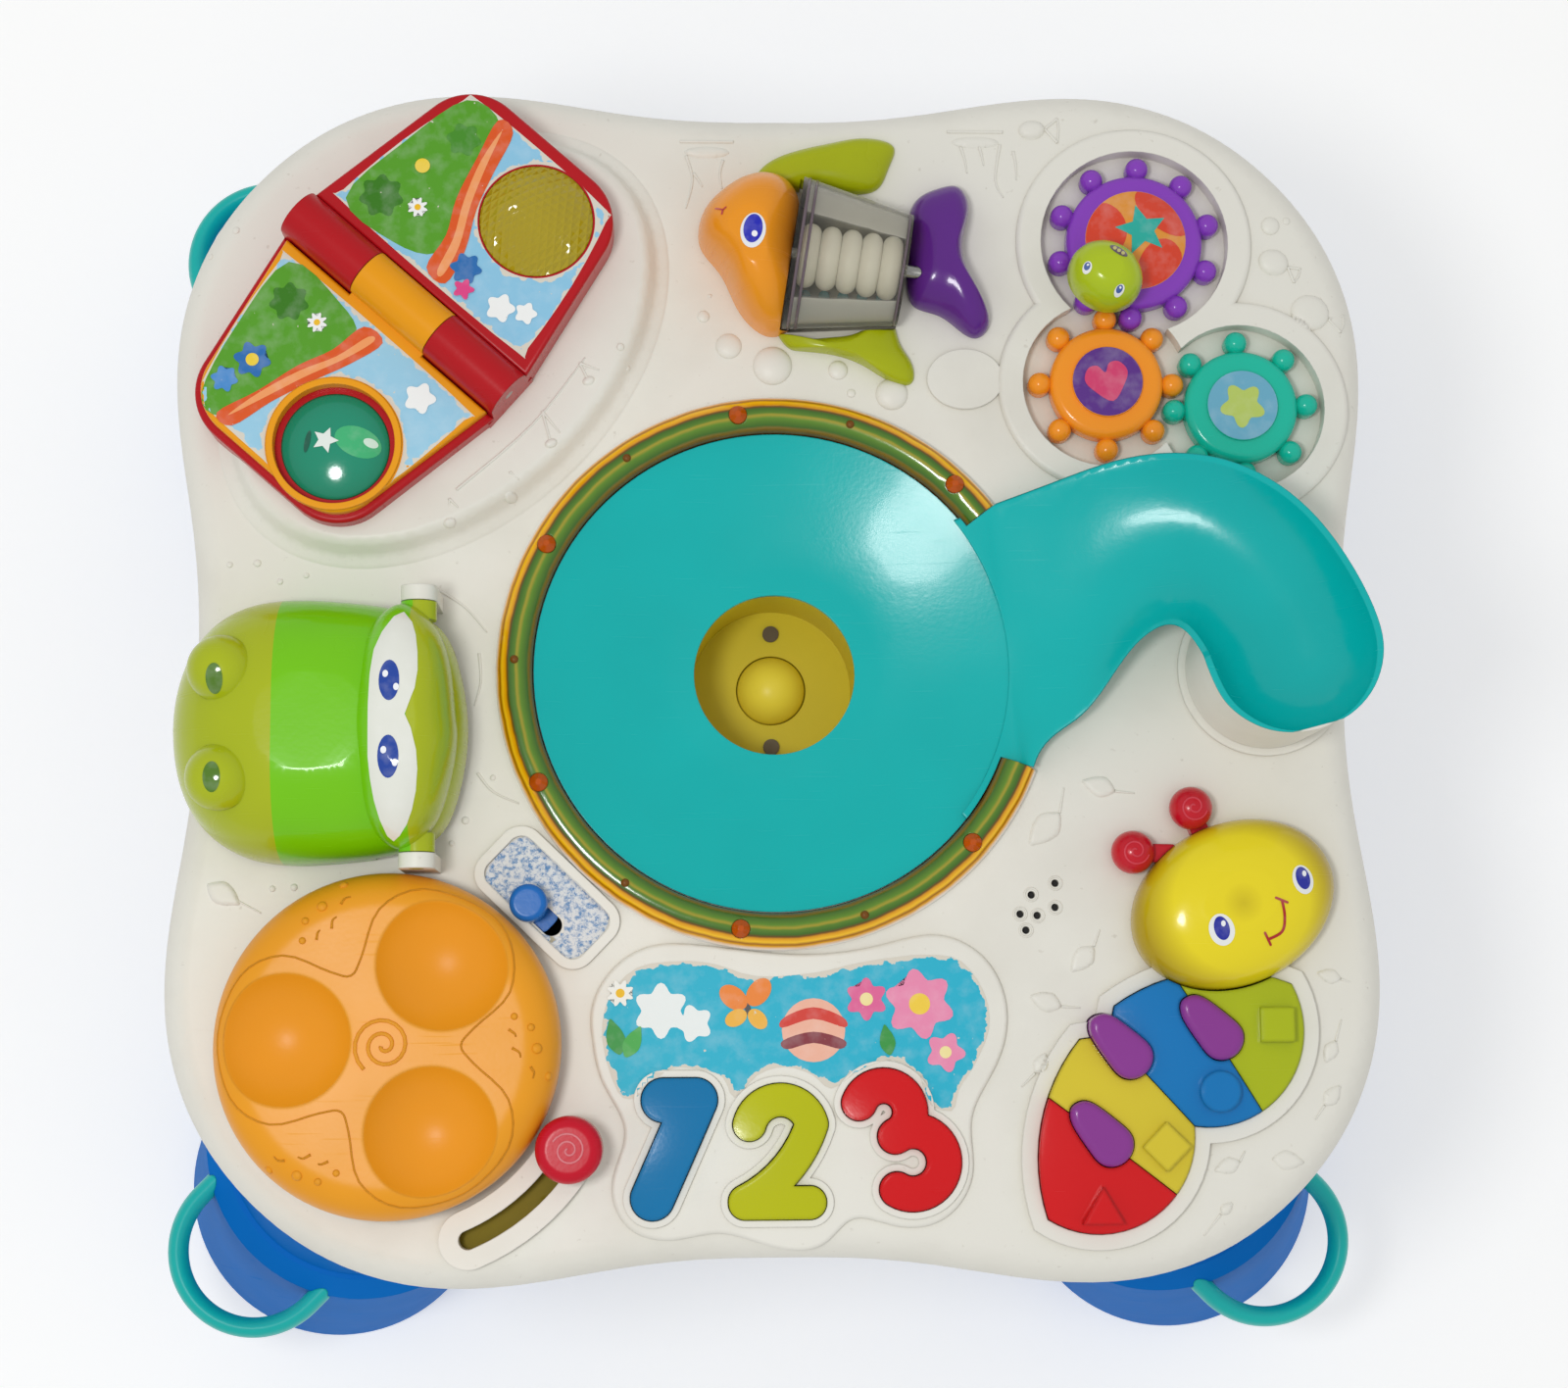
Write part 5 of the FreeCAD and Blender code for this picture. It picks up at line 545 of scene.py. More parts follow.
class Lay:
    """What lies on a piece's upper side: prints, raised shapes, round studs and raised lines."""

    def __init__(self, node):
        self.node = node
        self.ground = grounds([frame["nodes"][node]])
        self.mesh = bmesh.new()
        self.ink = self.mesh.loops.layers.float_color.new("ink")
        self.edge = self.mesh.verts.layers.float.new("edge")
        self.domes = ([], [], [], [])
        self.beads = ([], [], [], [])

    def drop(self, x, y):
        return self.ground.ray_cast(Vector((x, y, 1)), -UP)[:2]

    def dot(self, x, y, reach):
        """A round stud."""
        hit, normal = self.drop(x, y)
        points, _, reaches, leans = self.domes
        points.append(hit)
        reaches.append(reach)
        leans.append(normal)

    def line(self, path, reach, closed=False, taper=1.0):
        """A raised round line, narrowed to taper of its reach at its end."""
        points, edges, reaches, leans = self.beads
        first = len(points)
        for step, (x, y) in enumerate(path):
            hit, normal = self.drop(x, y)
            points.append(hit)
            reaches.append(reach * (1 + (taper - 1) * step / (len(path) - 1)))
            leans.append(normal)
        last = len(points) - 1
        edges += [(place, place + 1) for place in range(first, last)] + ([(last, first)] if closed else [])

    def patch(self, outline, tint=(1, 1, 1), lift=0.1 * MM, round_over=0.0, cell=SHAPE_CELL, gap=None,
              sheet=False):
        """A print, or a raised shape rounded over from its edge; gap is a round (x, y, reach) left out, and
        only a sheet has an edge that can tear."""
        cut = bmesh.new()
        cut.faces.new([cut.verts.new((x, y, 0)) for x, y in outline])
        bmesh.ops.triangulate(cut, faces=cut.faces)
        for axis in (0, 1):
            low, high = min(point[axis] for point in outline), max(point[axis] for point in outline)
            lines = int((high - low) / cell)
            normal = Vector((1 - axis, axis, 0))
            for line in range(lines):
                bmesh.ops.bisect_plane(cut, geom=cut.verts[:] + cut.edges[:] + cut.faces[:], dist=1e-8,
                                       plane_co=normal * (low + (high - low) * (line + 1) / (lines + 1)),
                                       plane_no=normal)
        if gap:
            self.keep_clear(cut, Vector(gap[:2]), gap[2])
        made = {}
        for vertex in cut.verts:
            inwards = edge_distance(vertex.co.xy, outline)
            if gap:
                inwards = min(inwards, (vertex.co.xy - Vector(gap[:2])).length - gap[2])
            share = min(1.0, inwards / round_over) if round_over else 1.0
            rise = lift * math.sqrt(1 - (1 - share) ** 2) - (SUNK_EDGE if round_over else 0.0)
            hit, normal = self.drop(vertex.co.x, vertex.co.y)
            if hit is not None:
                made[vertex] = self.mesh.verts.new(hit + normal * rise)
                made[vertex][self.edge] = inwards if sheet else 1.0
        for face in cut.faces:
            if all(vertex in made for vertex in face.verts):
                laid = self.mesh.faces.new([made[vertex] for vertex in face.verts])
                if face.normal.z < 0:
                    laid.normal_flip()
                laid.smooth = True
                for corner in laid.loops:
                    corner[self.ink] = (*tint, 1.0)
        cut.free()

    @staticmethod
    def keep_clear(cut, middle, reach):
        """Takes a round hole out of a flat mesh and draws its rim to the true circle."""
        inside = {vertex for vertex in cut.verts if (vertex.co.xy - middle).length < reach}
        bmesh.ops.delete(cut, geom=[face for face in cut.faces if inside.issuperset(face.verts)],
                         context="FACES_ONLY")
        bmesh.ops.delete(cut, geom=[vertex for vertex in cut.verts if not vertex.link_faces], context="VERTS")
        for vertex in cut.verts:
            away = vertex.co.xy - middle
            if away.length < reach:
                vertex.co.xy = middle + away.normalized() * reach

    def settle(self, name, material, rise=0.5):
        """Makes the pieces, which ride with the node that they lie on."""
        body, slot = BODY_OF[self.node], SLOT_OF[self.node]
        if self.mesh.faces:
            mesh = bpy.data.meshes.new(name)
            self.mesh.to_mesh(mesh)
            mesh.materials.append(material)
            new_piece(name, mesh, body)
        self.mesh.free()
        if self.domes[0]:
            grown(name + "_studs", *self.domes, domes_tree(), {"Rise": rise, "Material": material},
                  body, slot)
        if self.beads[0]:
            grown(name + "_lines", *self.beads, beads_tree(), {"Sides": LINE_SIDES, "Material": material},
                  body, slot)


# Settings

class ShellSettings(bpy.types.PropertyGroup):
    deck: colour("Deck", "Colour of the moulded deck and its lower shell", "#EBE9DF")
    # This colour is also painted into the deck's corners and between parts as shade
    grime_and_shade: colour("Grime", "Colour of the dirt that clouds the deck", "#8F7F62")
    leg: colour("Legs", "Colour of the four legs", "#0072CC")
    handle: colour("Handles", "Colour of the pull-up handles", "#12C0B8")
    relief: length("Relief", "How far the deck's raised leaves and twigs stand out", 1.2 * MM)


class RampSettings(bpy.types.PropertyGroup):
    ramp: colour("Ramp", "Colour of the dish, chute and bowl", "#00B6B4")
    jewel: colour("Studs", "Colour of the light ring's studs", "#F07010")
    cup: colour("Cup", "Colour of the popper cup", "#D8C62A")
    # Lighter than the cup's yellow, as a painted highlight on the plunger's lit top
    plunger: colour("Plunger", "Colour of the popper plunger", "#FFE84E")


class GearSettings(bpy.types.PropertyGroup):
    crank: colour("Crank gear", "Colour of the gear with the knob", "#8A3FC0")
    middle: colour("Middle gear", "Colour of the gear between the others", "#FF9A20")
    outer: colour("Outer gear", "Colour of the last gear", "#14BFA4")
    knob: colour("Knob", "Colour of the bug knob", "#B2C81E")


class BookSettings(bpy.types.PropertyGroup):
    cover: colour("Book", "Colour of the book's two halves", "#B8121C")
    page: colour("Page", "Colour of the page and its hinge", "#F0A010")
    lens: colour("Lens", "Colour of the light's lens", "#CBB41C")
    bubble: colour("Bubble", "Colour of the bubble under the page", "#0E9070")


class FishSettings(bpy.types.PropertyGroup):
    head: colour("Head", "Colour of the fish's head", "#F39A1E")
    fin: colour("Fins", "Colour of the fins", "#ACB600")
    tail: colour("Tail", "Colour of the tail", "#5E2288")
    drum: colour("Drum", "Tint of the clear drum", "#F4F3EE")


class TurntableSettings(bpy.types.PropertyGroup):
    table: colour("Turntable", "Colour of the turntable", "#EE9F22")
    knob: colour("Lever knob", "Colour of the spin lever's knob", "#C8102A")
    arm: colour("Lever arm", "Colour of the arm in the slot's floor", "#8C7A12")
    switch: colour("Switch", "Colour of the mode switch", "#1C6CC0")


class KeySettings(bpy.types.PropertyGroup):
    one: colour("One", "Colour of number key 1", "#0076AE")
    two: colour("Two", "Colour of number key 2", "#BCC000")
    three: colour("Three", "Colour of number key 3", "#D8040E")
    red: colour("Worm red", "Colour of the worm's first key", "#D80A12")
    yellow: colour("Worm yellow", "Colour of the worm's second key", "#DCC832")
    blue: colour("Worm blue", "Colour of the worm's third key", "#0078BE")
    green: colour("Worm green", "Colour of the worm's fourth key", "#B0BE10")
    spike: colour("Spikes", "Colour of the three spike keys", "#8C3894")
    head: colour("Worm head", "Colour of the worm's head", "#F0DC1E")
    antenna: colour("Antennae", "Colour of the antennae", "#C81428")
    label: colour("Label", "Ground colour of the picture label", "#2CB6D2")


class HippoSettings(bpy.types.PropertyGroup):
    snout: colour("Snout", "Colour of the snout and the brow", "#B0BE14")
    cheek: colour("Cheek", "Colour of the band behind the snout", "#78CE00")
    eye: colour("Eyes", "Colour of the eyes", "#0C3FA0")


class StageSettings(bpy.types.PropertyGroup):
    floor: colour("Floor", "Colour of the studio floor", "#F4F4F2")
    fill: bpy.props.FloatProperty(name="Fill", description="Strength of the even light from all round",
                                  min=0, default=0.62)
    key: bpy.props.FloatProperty(name="Key", description="Power of the soft box beside the camera",
                                 unit="POWER", min=0, default=4.2)


SETTINGS = (("shell", ShellSettings), ("ramp", RampSettings), ("gears", GearSettings),
            ("book", BookSettings), ("fish", FishSettings), ("turntable", TurntableSettings),
            ("keys", KeySettings), ("hippo", HippoSettings), ("stage", StageSettings))


class TableSettings(bpy.types.PropertyGroup):
    __annotations__ = {name: bpy.props.PointerProperty(type=kind) for name, kind in SETTINGS}


# Pieces

class TABLE_OT_shell(bpy.types.Operator):
    """Dresses the deck, its lower shell, the battery door and their screws"""
    bl_idname = "activity_table.shell"
    bl_label = "Shell"

    def execute(self, context):
        chosen = context.scene.activity_table.shell
        shell = worn_shell("White moulded polypropylene", chosen.deck, chosen.grime_and_shade)
        for node in ("table_top", "table_underside", "battery_door"):
            dress(node, shell)
        screws = bare_metal("Zinc-plated steel", linear("#9A9A96"), 0.35, 1.5 * MM)
        dress("underside_screws", screws)
        return {"FINISHED"}


class TABLE_OT_reliefs(bpy.types.Operator):
    """Raises the deck's moulded leaves, twigs, notes, bubbles, fish and jellyfish"""
    bl_idname = "activity_table.reliefs"
    bl_label = "Deck reliefs"

    LEAVES = (
        ((135.9, -48.8), (122.5, -44.5), (143.7, -49.6)),
        ((113.5, -57.5), (100.8, -70.5), (115.4, -47.4)),
        ((126.0, -110.8), (116.4, -121.0), (128.5, -104.1)),
        ((112.5, -134.4), (99.7, -130.1), (120.0, -134.9)),
        ((101.6, -160.5), (106.3, -152.3), (96.1, -165.8)),
        ((224.5, -124.3), (214.8, -121.7), (235.5, -128.0)),
        ((221.7, -148.7), (216.9, -157.6), (224.2, -140.4)),
        ((216.3, -174.2), (223.1, -166.0), (212.5, -179.5)),
        ((182.0, -195.7), (171.6, -199.2), (184.1, -191.7)),
        ((195.0, -194.6), (207.8, -196.3), (202.6, -198.2)),
        ((173.7, -216.2), (179.0, -211.2), (167.0, -224.3)),
        ((-224.6, -84.2), (-211.5, -92.2), (-203.5, -95.6)))
    TWIGS = (
        ((-135.1, 33.8), (-124.0, 26.3), (-115.4, 16.3)), ((-118.4, 7.6), (-117.7, -3.5), (-120.1, -13.4)),
        ((-118.7, -40.4), (-112.6, -47.8), (-102.2, -52.7)), ((-127.1, 72.1), (-97.3, 98.4), (-75.9, 126.2)))
    BUBBLES = (
        (-199.2, -86.0, 1.3), (-190.7, -85.5, 1.5), (-112.6, -42.3, 1.2), (-123.4, -59.3, 1.6),
        (-128.8, -68.4, 1.2), (-198.1, 37.0, 1.3), (-187.7, 39.5, 1.2), (-207.3, 44.5, 1.6),
        (-218.3, 43.9, 1.3), (-61.6, 130.7, 1.6), (-58.7, 123.3, 1.2), (-218.3, 182.2, 1.6),
        (-228.8, 171.8, 1.3), (-28.1, 146.3, 2.5), (-25.4, 155.0, 0.8), (-17.9, 133.9, 5.3),
        (-0.1, 125.7, 8.0), (26.6, 123.9, 4.0), (31.9, 114.3, 1.8), (48.4, 113.9, 6.6),
        (205.8, 185.0, 3.8), (212.6, 187.2, 1.6))
    NOTES = (
        ((-74.5, 116.7), (-78.1, 124.0), (-70.2, 121.1)), ((-89.5, 91.1), (-93.1, 104.2), (-85.9, 95.4)),
        ((-105.7, 70.0), (-105.8, 79.4), (-102.2, 76.5)), ((-129.8, 59.1), (-129.9, 68.5), (-126.3, 64.9)))
    TENTACLES = (
        ((-35.0, 214.1), (-32.4, 203.9), (-35.1, 191.9)), ((-31.9, 206.7), (-30.0, 204.0), (-28.3, 201.1)),
        ((-19.8, 212.3), (-21.1, 206.7), (-20.3, 200.2)), ((78.2, 218.3), (79.8, 213.0), (80.7, 207.1)),
        ((85.9, 218.3), (87.0, 214.0), (87.6, 210.4)), ((94.5, 219.3), (92.4, 204.3), (95.5, 196.9)),
        ((99.9, 216.5), (101.0, 210.0), (101.0, 204.4)))
    CAPS = (((-26.5, 220.2), 11.0), ((84.2, 224.8), 11.5))
    FISHES = (
        ((102.2, 225.0), (113.2, 226.1), (118.5, 230.5), (118.3, 220.2), 4.2),
        ((200.6, 171.5), (212.5, 167.5), (217.7, 166.8), (214.9, 161.0), 5.6),
        ((213.4, 150.8), (228.6, 145.6), (235.4, 147.7), (233.6, 140.2), 7.6))
    SPEAKER = ((111.1, -85.5), (101.4, -90.0), (96.9, -97.7), (103.8, -98.4), (110.9, -95.2), (99.1, -104.2))
    ROUND_OVER = 1.6 * MM
    TWIG_REACH = 0.7 * MM
    COLLAR_REACH = 2.6 * MM

    def execute(self, context):
        lift = context.scene.activity_table.shell.relief
        lay = Lay("table_top")
        for base, tip, stem in self.LEAVES:
            base, tip, stem = in_mm((base, tip, stem))
            lay.patch(leaf(base, tip), lift=lift, round_over=self.ROUND_OVER, cell=SMALL_CELL)
            lay.line([base, stem], 0.6 * MM, taper=0.6)
        for twig in self.TWIGS:
            lay.line(through(in_mm(twig), False), self.TWIG_REACH, taper=0.5)
        for x, y, reach in self.BUBBLES:
            lay.dot(x * MM, y * MM, reach * MM)
        for head, top, flag in self.NOTES:
            head, top, flag = in_mm((head, top, flag))
            lay.patch(placed(ellipse(2.6 * MM, 1.9 * MM), *head, 25), lift=lift,
                      round_over=self.ROUND_OVER, cell=1.0 * MM)
            lay.line([head, top], 0.55 * MM)
            lay.line([top, flag], 0.65 * MM, taper=0.5)
        for tentacle in self.TENTACLES:
            lay.line(through(in_mm(tentacle), False), self.TWIG_REACH, taper=0.5)
        for (x, y), half in self.CAPS:
            lay.line(in_mm(((x - half, y), (x + half, y - 0.1))), self.TWIG_REACH)
            lay.patch(placed(ellipse(half * MM * 0.85, 2.6 * MM), x * MM, (y - 4.6) * MM), lift=0.8 * lift,
                      round_over=2.2 * MM, cell=1.4 * MM)
        for nose, back, upper, lower, half in self.FISHES:
            nose, back, upper, lower = (Vector(point) for point in in_mm((nose, back, upper, lower)))
            along = back - nose
            turn = math.degrees(math.atan2(along.y, along.x))
            middle = nose + along / 2
            lay.patch(placed(ellipse(along.length / 2, half * MM), *middle, turn), lift=2 * lift,
                      round_over=half * MM * 0.9, cell=SMALL_CELL)
            fork = (upper + lower) / 2 + along * 0.05
            for path, reach in (((back, upper), 0.6 * MM), ((back, lower), 0.6 * MM),
                                ((upper, fork, lower), 0.5 * MM)):
                lay.line([tuple(point) for point in path], reach)
        for x, y in self.SPEAKER:
            lay.line(placed(ellipse(self.COLLAR_REACH, self.COLLAR_REACH, 20), x * MM, y * MM), 0.45 * MM,
                     closed=True)
        lay.settle("deck_relief", bpy.data.materials["White moulded polypropylene"], 0.42)
        return {"FINISHED"}


class TABLE_OT_legs(bpy.types.Operator):
    """Dresses the four legs and their pull-up handles"""
    bl_idname = "activity_table.legs"
    bl_label = "Legs and handles"

    def execute(self, context):
        chosen = context.scene.activity_table.shell
        leg = moulded("Blue moulded ABS", chosen.leg, 0.6, mirror=0.08)
        handle = moulded("Teal moulded ABS", chosen.handle, 0.32, mirror=0.3)
        for corner in CORNERS:
            dress("leg_" + corner, leg)
            dress("handle_" + corner, handle)
        return {"FINISHED"}


class TABLE_OT_ramp(bpy.types.Operator):
    """Dresses the dish with its chute, the pedestal, the light ring and the popper"""
    bl_idname = "activity_table.ramp"
    bl_label = "Ball ramp"

    POSTS = (72.8, 124.7, 177.8, 234.8, 289.3)
    POST_REACH = 104.0 * MM
    POST_RADIUS = 1.7 * MM
    RING_INNER = 96.8 * MM
    RING_OUTER = 111.8 * MM
    # Colours across the ring from inner to outer edge, with painted shade on the tube's sides and a painted
    # highlight along its crown
    RING_STOPS_WITH_PAINTED_LIGHT = (
        (0.0, "#5A3A10"), (0.10, "#8A6A18"), (0.16, "#3C6A14"), (0.34, "#5E8A20"), (0.42, "#A89A28"),
        (0.48, "#55801C"), (0.60, "#3C6A14"), (0.66, "#6A4408"), (0.71, "#E29A00"), (0.80, "#FFC81C"),
        (0.86, "#A86800"), (0.91, "#F2AC00"), (1.0, "#FFC010"))

    def execute(self, context):
        chosen = context.scene.activity_table.ramp
        dress("ball_ramp", moulded("Sea-green moulded ABS", chosen.ramp, 0.22, 0.15))
        dress("ramp_pedestal", bpy.data.materials["White moulded polypropylene"])
        dress("light_ring", ringed("Amber clear styrene", self.RING_STOPS_WITH_PAINTED_LIGHT, self.RING_INNER, self.RING_OUTER))
        dress("light_ring_jewels", clear_styrene("Orange clear styrene", chosen.jewel, 0.55))
        posts = Lay("light_ring")
        for turn in self.POSTS:
            posts.dot(*placed([(self.POST_REACH, 0)], 0, 0, turn)[0], self.POST_RADIUS)
        posts.settle("ring_posts", moulded("Brown post ABS", linear("#7A4A14"), 0.3), 0.8)
        dress("popper_cup", moulded("Yellow moulded ABS", chosen.cup, 0.36))
        # Painted highlight: the plunger takes a lighter yellow than the cup to stand in for its lit top
        dress("popper_plunger", moulded("Pale yellow moulded ABS", chosen.plunger, 0.34))
        # The cup's screws in a dark brown-grey steel
        dress("popper_cup_screws", bare_metal("Tarnished steel", linear("#5E5444"), 0.5, 1.5 * MM))
        dress("popper_spring", bare_metal("Coiled spring steel", linear("#8C8C88"), 0.3, 1.0 * MM))
        return {"FINISHED"}


class TABLE_OT_gears(bpy.types.Operator):
    """Dresses the three gears with their printed discs, the crank's bug knob and the axles"""
    bl_idname = "activity_table.gears"
    bl_label = "Gears"

    CRANK = (148.8, 177.1)
    MIDDLE = (136.0, 117.9)
    OUTER = (190.9, 108.0)
    KNOB = (134.4, 158.9)
    BLOBS = (((-14.0, 4.5), 9.5, 12.0, 20), ((11.5, 12.0), 13.5, 8.5, -40), ((9.5, -13.0), 9.5, 13.0, -20))
    CRANK_DISC = 20.6 * MM
    CRANK_PRINT = 20.4 * MM
    SMALL_DISC = 14.3 * MM
    MOTIF = 0.20 * MM
    OVER_MOTIF = 0.28 * MM

    def execute(self, context):
        chosen = context.scene.activity_table.gears
        dress("crank_gear", moulded("Purple moulded ABS", chosen.crank, 0.2, 0.3))
        dress("middle_gear", moulded("Orange gear ABS", chosen.middle, 0.2, 0.3))
        dress("outer_gear", moulded("Mint moulded ABS", chosen.outer, 0.2, 0.3))
        dress("crank_knob", moulded("Lime moulded ABS", chosen.knob, 0.2, 0.2))
        dress("gear_axles", bare_metal("Drawn steel", linear("#A8A8A4"), 0.3, 1.2 * MM))
        glossy = printed("Disc print under varnish", 0.12, coat=0.8)
        self.lay_crank(glossy)
        self.lay_small("middle_gear", self.MIDDLE, "#58208A", glossy, "#D8386E", self.heart())
        self.lay_small("outer_gear", self.OUTER, "#6AAFCB", glossy, "#BCD064", petals(9.5 * MM, 0.35, 5))
        self.lay_face(glossy)
        return {"FINISHED"}

    @staticmethod
    def heart():
        return through(in_mm(((0, -8.5), (-6.5, -2.5), (-9.0, 2.5), (-6.5, 7.0), (-2.5, 7.2), (0, 3.8),
                              (2.5, 7.2), (6.5, 7.0), (9.0, 2.5), (6.5, -2.5))), steps=4)

    def lay_crank(self, material):
        x, y = self.CRANK[0] * MM, self.CRANK[1] * MM
        middle = Vector((x, y))
        lay = Lay("crank_gear")
        lay.patch(placed(ellipse(self.CRANK_DISC, self.CRANK_DISC, 48), x, y), linear("#E8962C"), GROUND)
        for (left, up), half, tall, turn in self.BLOBS:
            held = []
            for across, along in placed(ellipse(half * MM, tall * MM), 0, 0, turn):
                away = Vector((x + left * MM + across, y + up * MM + along)) - middle
                held.append(tuple(middle + away * min(1.0, self.CRANK_PRINT / max(away.length, MM))))
            lay.patch(held, linear("#E03A10"), self.MOTIF)
        lay.patch(placed(star(11.0 * MM, 5.0 * MM), x + 2 * MM, y + 3 * MM, 12), linear("#12B0A2"),
                  self.OVER_MOTIF)
        lay.settle("crank_disc", material)

    def lay_small(self, node, place, ground, material, tint, motif):
        x, y = place[0] * MM, place[1] * MM
        lay = Lay(node)
        lay.patch(placed(ellipse(self.SMALL_DISC, self.SMALL_DISC, 40), x, y), linear(ground), GROUND)
        lay.patch(placed(motif, x, y, 14), linear(tint), self.MOTIF)
        lay.settle(node + "_disc", material)

    def lay_face(self, material):
        x, y = self.KNOB[0] * MM, self.KNOB[1] * MM
        lay = Lay("crank_knob")
        for left, up, turn in ((-9.1, -0.2, -10), (3.6, -9.3, -40)):
            eye = (x + left * MM, y + up * MM)
            lay.patch(placed(ellipse(1.7 * MM, 2.5 * MM), *eye, turn), (0.9, 0.9, 0.88), INK, cell=FINE_CELL)
            lay.patch(placed(ellipse(1.15 * MM, 1.6 * MM), eye[0], eye[1] + 0.5 * MM, turn),
                      linear("#0E4EA0"), OVER_INK, cell=FINE_CELL)
            lay.patch(placed(ellipse(0.45 * MM, 0.45 * MM, 12), eye[0] + 0.3 * MM, eye[1] + 1.0 * MM),
                      (0.95, 0.95, 0.95), self.OVER_MOTIF, cell=FINE_CELL)
        mouth = (x + 3.6 * MM, y + 6.6 * MM)
        lay.patch(placed(ellipse(4.0 * MM, 1.7 * MM), *mouth, -33), linear("#5C4A5A"), INK, cell=FINE_CELL)
        for step in (-1.9, 0.0, 1.9):
            lay.patch(placed(placed(ellipse(0.75 * MM, 0.95 * MM, 14), step * MM, 0), *mouth, -33),
                      linear("#C8C070"), OVER_INK, cell=FINE_CELL)
        lay.settle("knob_face", material)


class TABLE_OT_book(bpy.types.Operator):
    """Dresses the book: its halves, page, pictures, lens, bubble and hinge pin"""
    bl_idname = "activity_table.book"
    bl_label = "Book"

    MIDDLE = (-147.2, 143.8)
    TURN = -41.4
    LENS = (17, 60)
    LENS_CLEAR = 23.4 * MM
    BUBBLE = (17, -60)
    BUBBLE_CLEAR = 27.2 * MM

    def execute(self, context):
        chosen = context.scene.activity_table.book
        dress("book_base", moulded("Red moulded ABS", chosen.cover, 0.28))
        dress("book_page", moulded("Yellow-orange moulded ABS", chosen.page, 0.3))
        dress("book_lens", clear_styrene("Yellow clear styrene", chosen.lens, 0.75, 3.0 * MM))
        dress("book_bubble", moulded("Green moulded ABS", chosen.bubble, 0.14, 0.6))
        dress("book_hinge_pin", bpy.data.materials["Drawn steel"])
        self.lay_right()
        self.lay_left()
        self.lay_bubble()
        return {"FINISHED"}

    def on_page(self, outline):
        """An outline in the book's own plan: along the spine, then across it, in millimetres."""
        return placed(in_mm(outline), self.MIDDLE[0] * MM, self.MIDDLE[1] * MM, self.TURN)

    def lay_page(self, lay, side, gap, ground, shapes):
        sheet = through([(-47, 15 * side), (0, 14 * side), (47, 15 * side), (49, 19 * side), (45, 50 * side),
                         (38, 78 * side), (34, 82 * side), (0, 83 * side), (-34, 82 * side), (-38, 78 * side),
                         (-45, 50 * side), (-49, 19 * side)], steps=3)
        lay.patch(self.on_page(sheet), linear(ground), GROUND, cell=GROUND_CELL, gap=gap, sheet=True)
        for step, (tint, outline) in enumerate(shapes):
            lay.patch(self.on_page(outline), linear(tint), (0.18 + 0.05 * step) * MM, cell=2.5 * MM, gap=gap)

    def lay_right(self):
        lay = Lay("book_base")
        gap = (*self.on_page([self.LENS])[0], self.LENS_CLEAR)
        shapes = (
            ("#58A028", through([(-46, 17), (-20, 16), (-4, 24), (-8, 42), (-14, 60), (-20, 80), (-37, 79),
                                 (-44, 50)], steps=4)),
            ("#3A7C1C", placed(petals(9, 0.24, 7), -36, 27)),
            ("#48902A", placed(petals(7, 0.24, 6), -27, 66)),
            ("#E05A22", through([(-3, 17), (7, 17), (4, 32), (-4, 48), (-9, 64), (-14, 81), (-22, 81),
                                 (-18, 64), (-13, 46), (-6, 32)], steps=4)),
            ("#F4A064", through([(1, 19), (4, 19), (1, 32), (-7, 48), (-13, 64), (-18, 79), (-16, 64),
                                 (-10, 47), (-3, 33)], steps=4)),
            ("#F4F6F4", placed(petals(6, 0.3, 5), 30, 24)),
            ("#F4F6F4", placed(petals(4.6, 0.3, 5), 39, 29)),
            ("#2C6FB4", placed(petals(6.5, 0.3, 6), 9, 27)),
            ("#F2D23C", placed(ellipse(3.0, 3.0, 20), -32, 47)),
            ("#F4F6F4", placed(petals(4.2, 0.45, 8), -22, 33)),
            ("#F2C020", placed(ellipse(1.3, 1.3, 14), -22, 33)),
            ("#E2488A", placed(petals(4.4, 0.4, 5), 14, 20)))
        self.lay_page(lay, 1, gap, "#8FC8E6", shapes)
        lay.settle("right_page_picture", printed("Worn picture label", 0.4, 3.2 * MM))

    def lay_left(self):
        lay = Lay("book_page")
        gap = (*self.on_page([self.BUBBLE])[0], self.BUBBLE_CLEAR)
        shapes = (
            ("#58A028", through([(-46, -17), (-20, -16), (-6, -22), (-12, -42), (-18, -62), (-24, -81),
                                 (-36, -79), (-44, -50)], steps=4)),
            ("#3A7C1C", placed(petals(8, 0.24, 7), -35, -29)),
            ("#E05A22", through([(-6, -17), (4, -17), (0, -32), (-7, -48), (-13, -64), (-18, -81), (-26, -81),
                                 (-20, -64), (-15, -46), (-9, -32)], steps=4)),
            ("#F4A064", through([(-2, -19), (1, -19), (-3, -32), (-10, -48), (-16, -64), (-22, -79),
                                 (-19, -64), (-13, -47), (-6, -33)], steps=4)),
            ("#2C6FB4", placed(petals(7.5, 0.3, 6), -30, -56)),
            ("#4A8ED0", placed(petals(5.5, 0.3, 6), -33, -69)),
            ("#F4F6F4", placed(petals(6.5, 0.3, 5), 30, -24)),
            ("#F2D23C", placed(ellipse(2.6, 2.6, 18), -30, -56)),
            ("#F4F6F4", placed(petals(4.2, 0.45, 8), -21, -28)),
            ("#F2C020", placed(ellipse(1.3, 1.3, 14), -21, -28)))
        self.lay_page(lay, -1, gap, "#9CCFE8", shapes)
        lay.settle("left_page_picture", bpy.data.materials["Worn picture label"])

    def lay_bubble(self):
        lay = Lay("book_bubble")
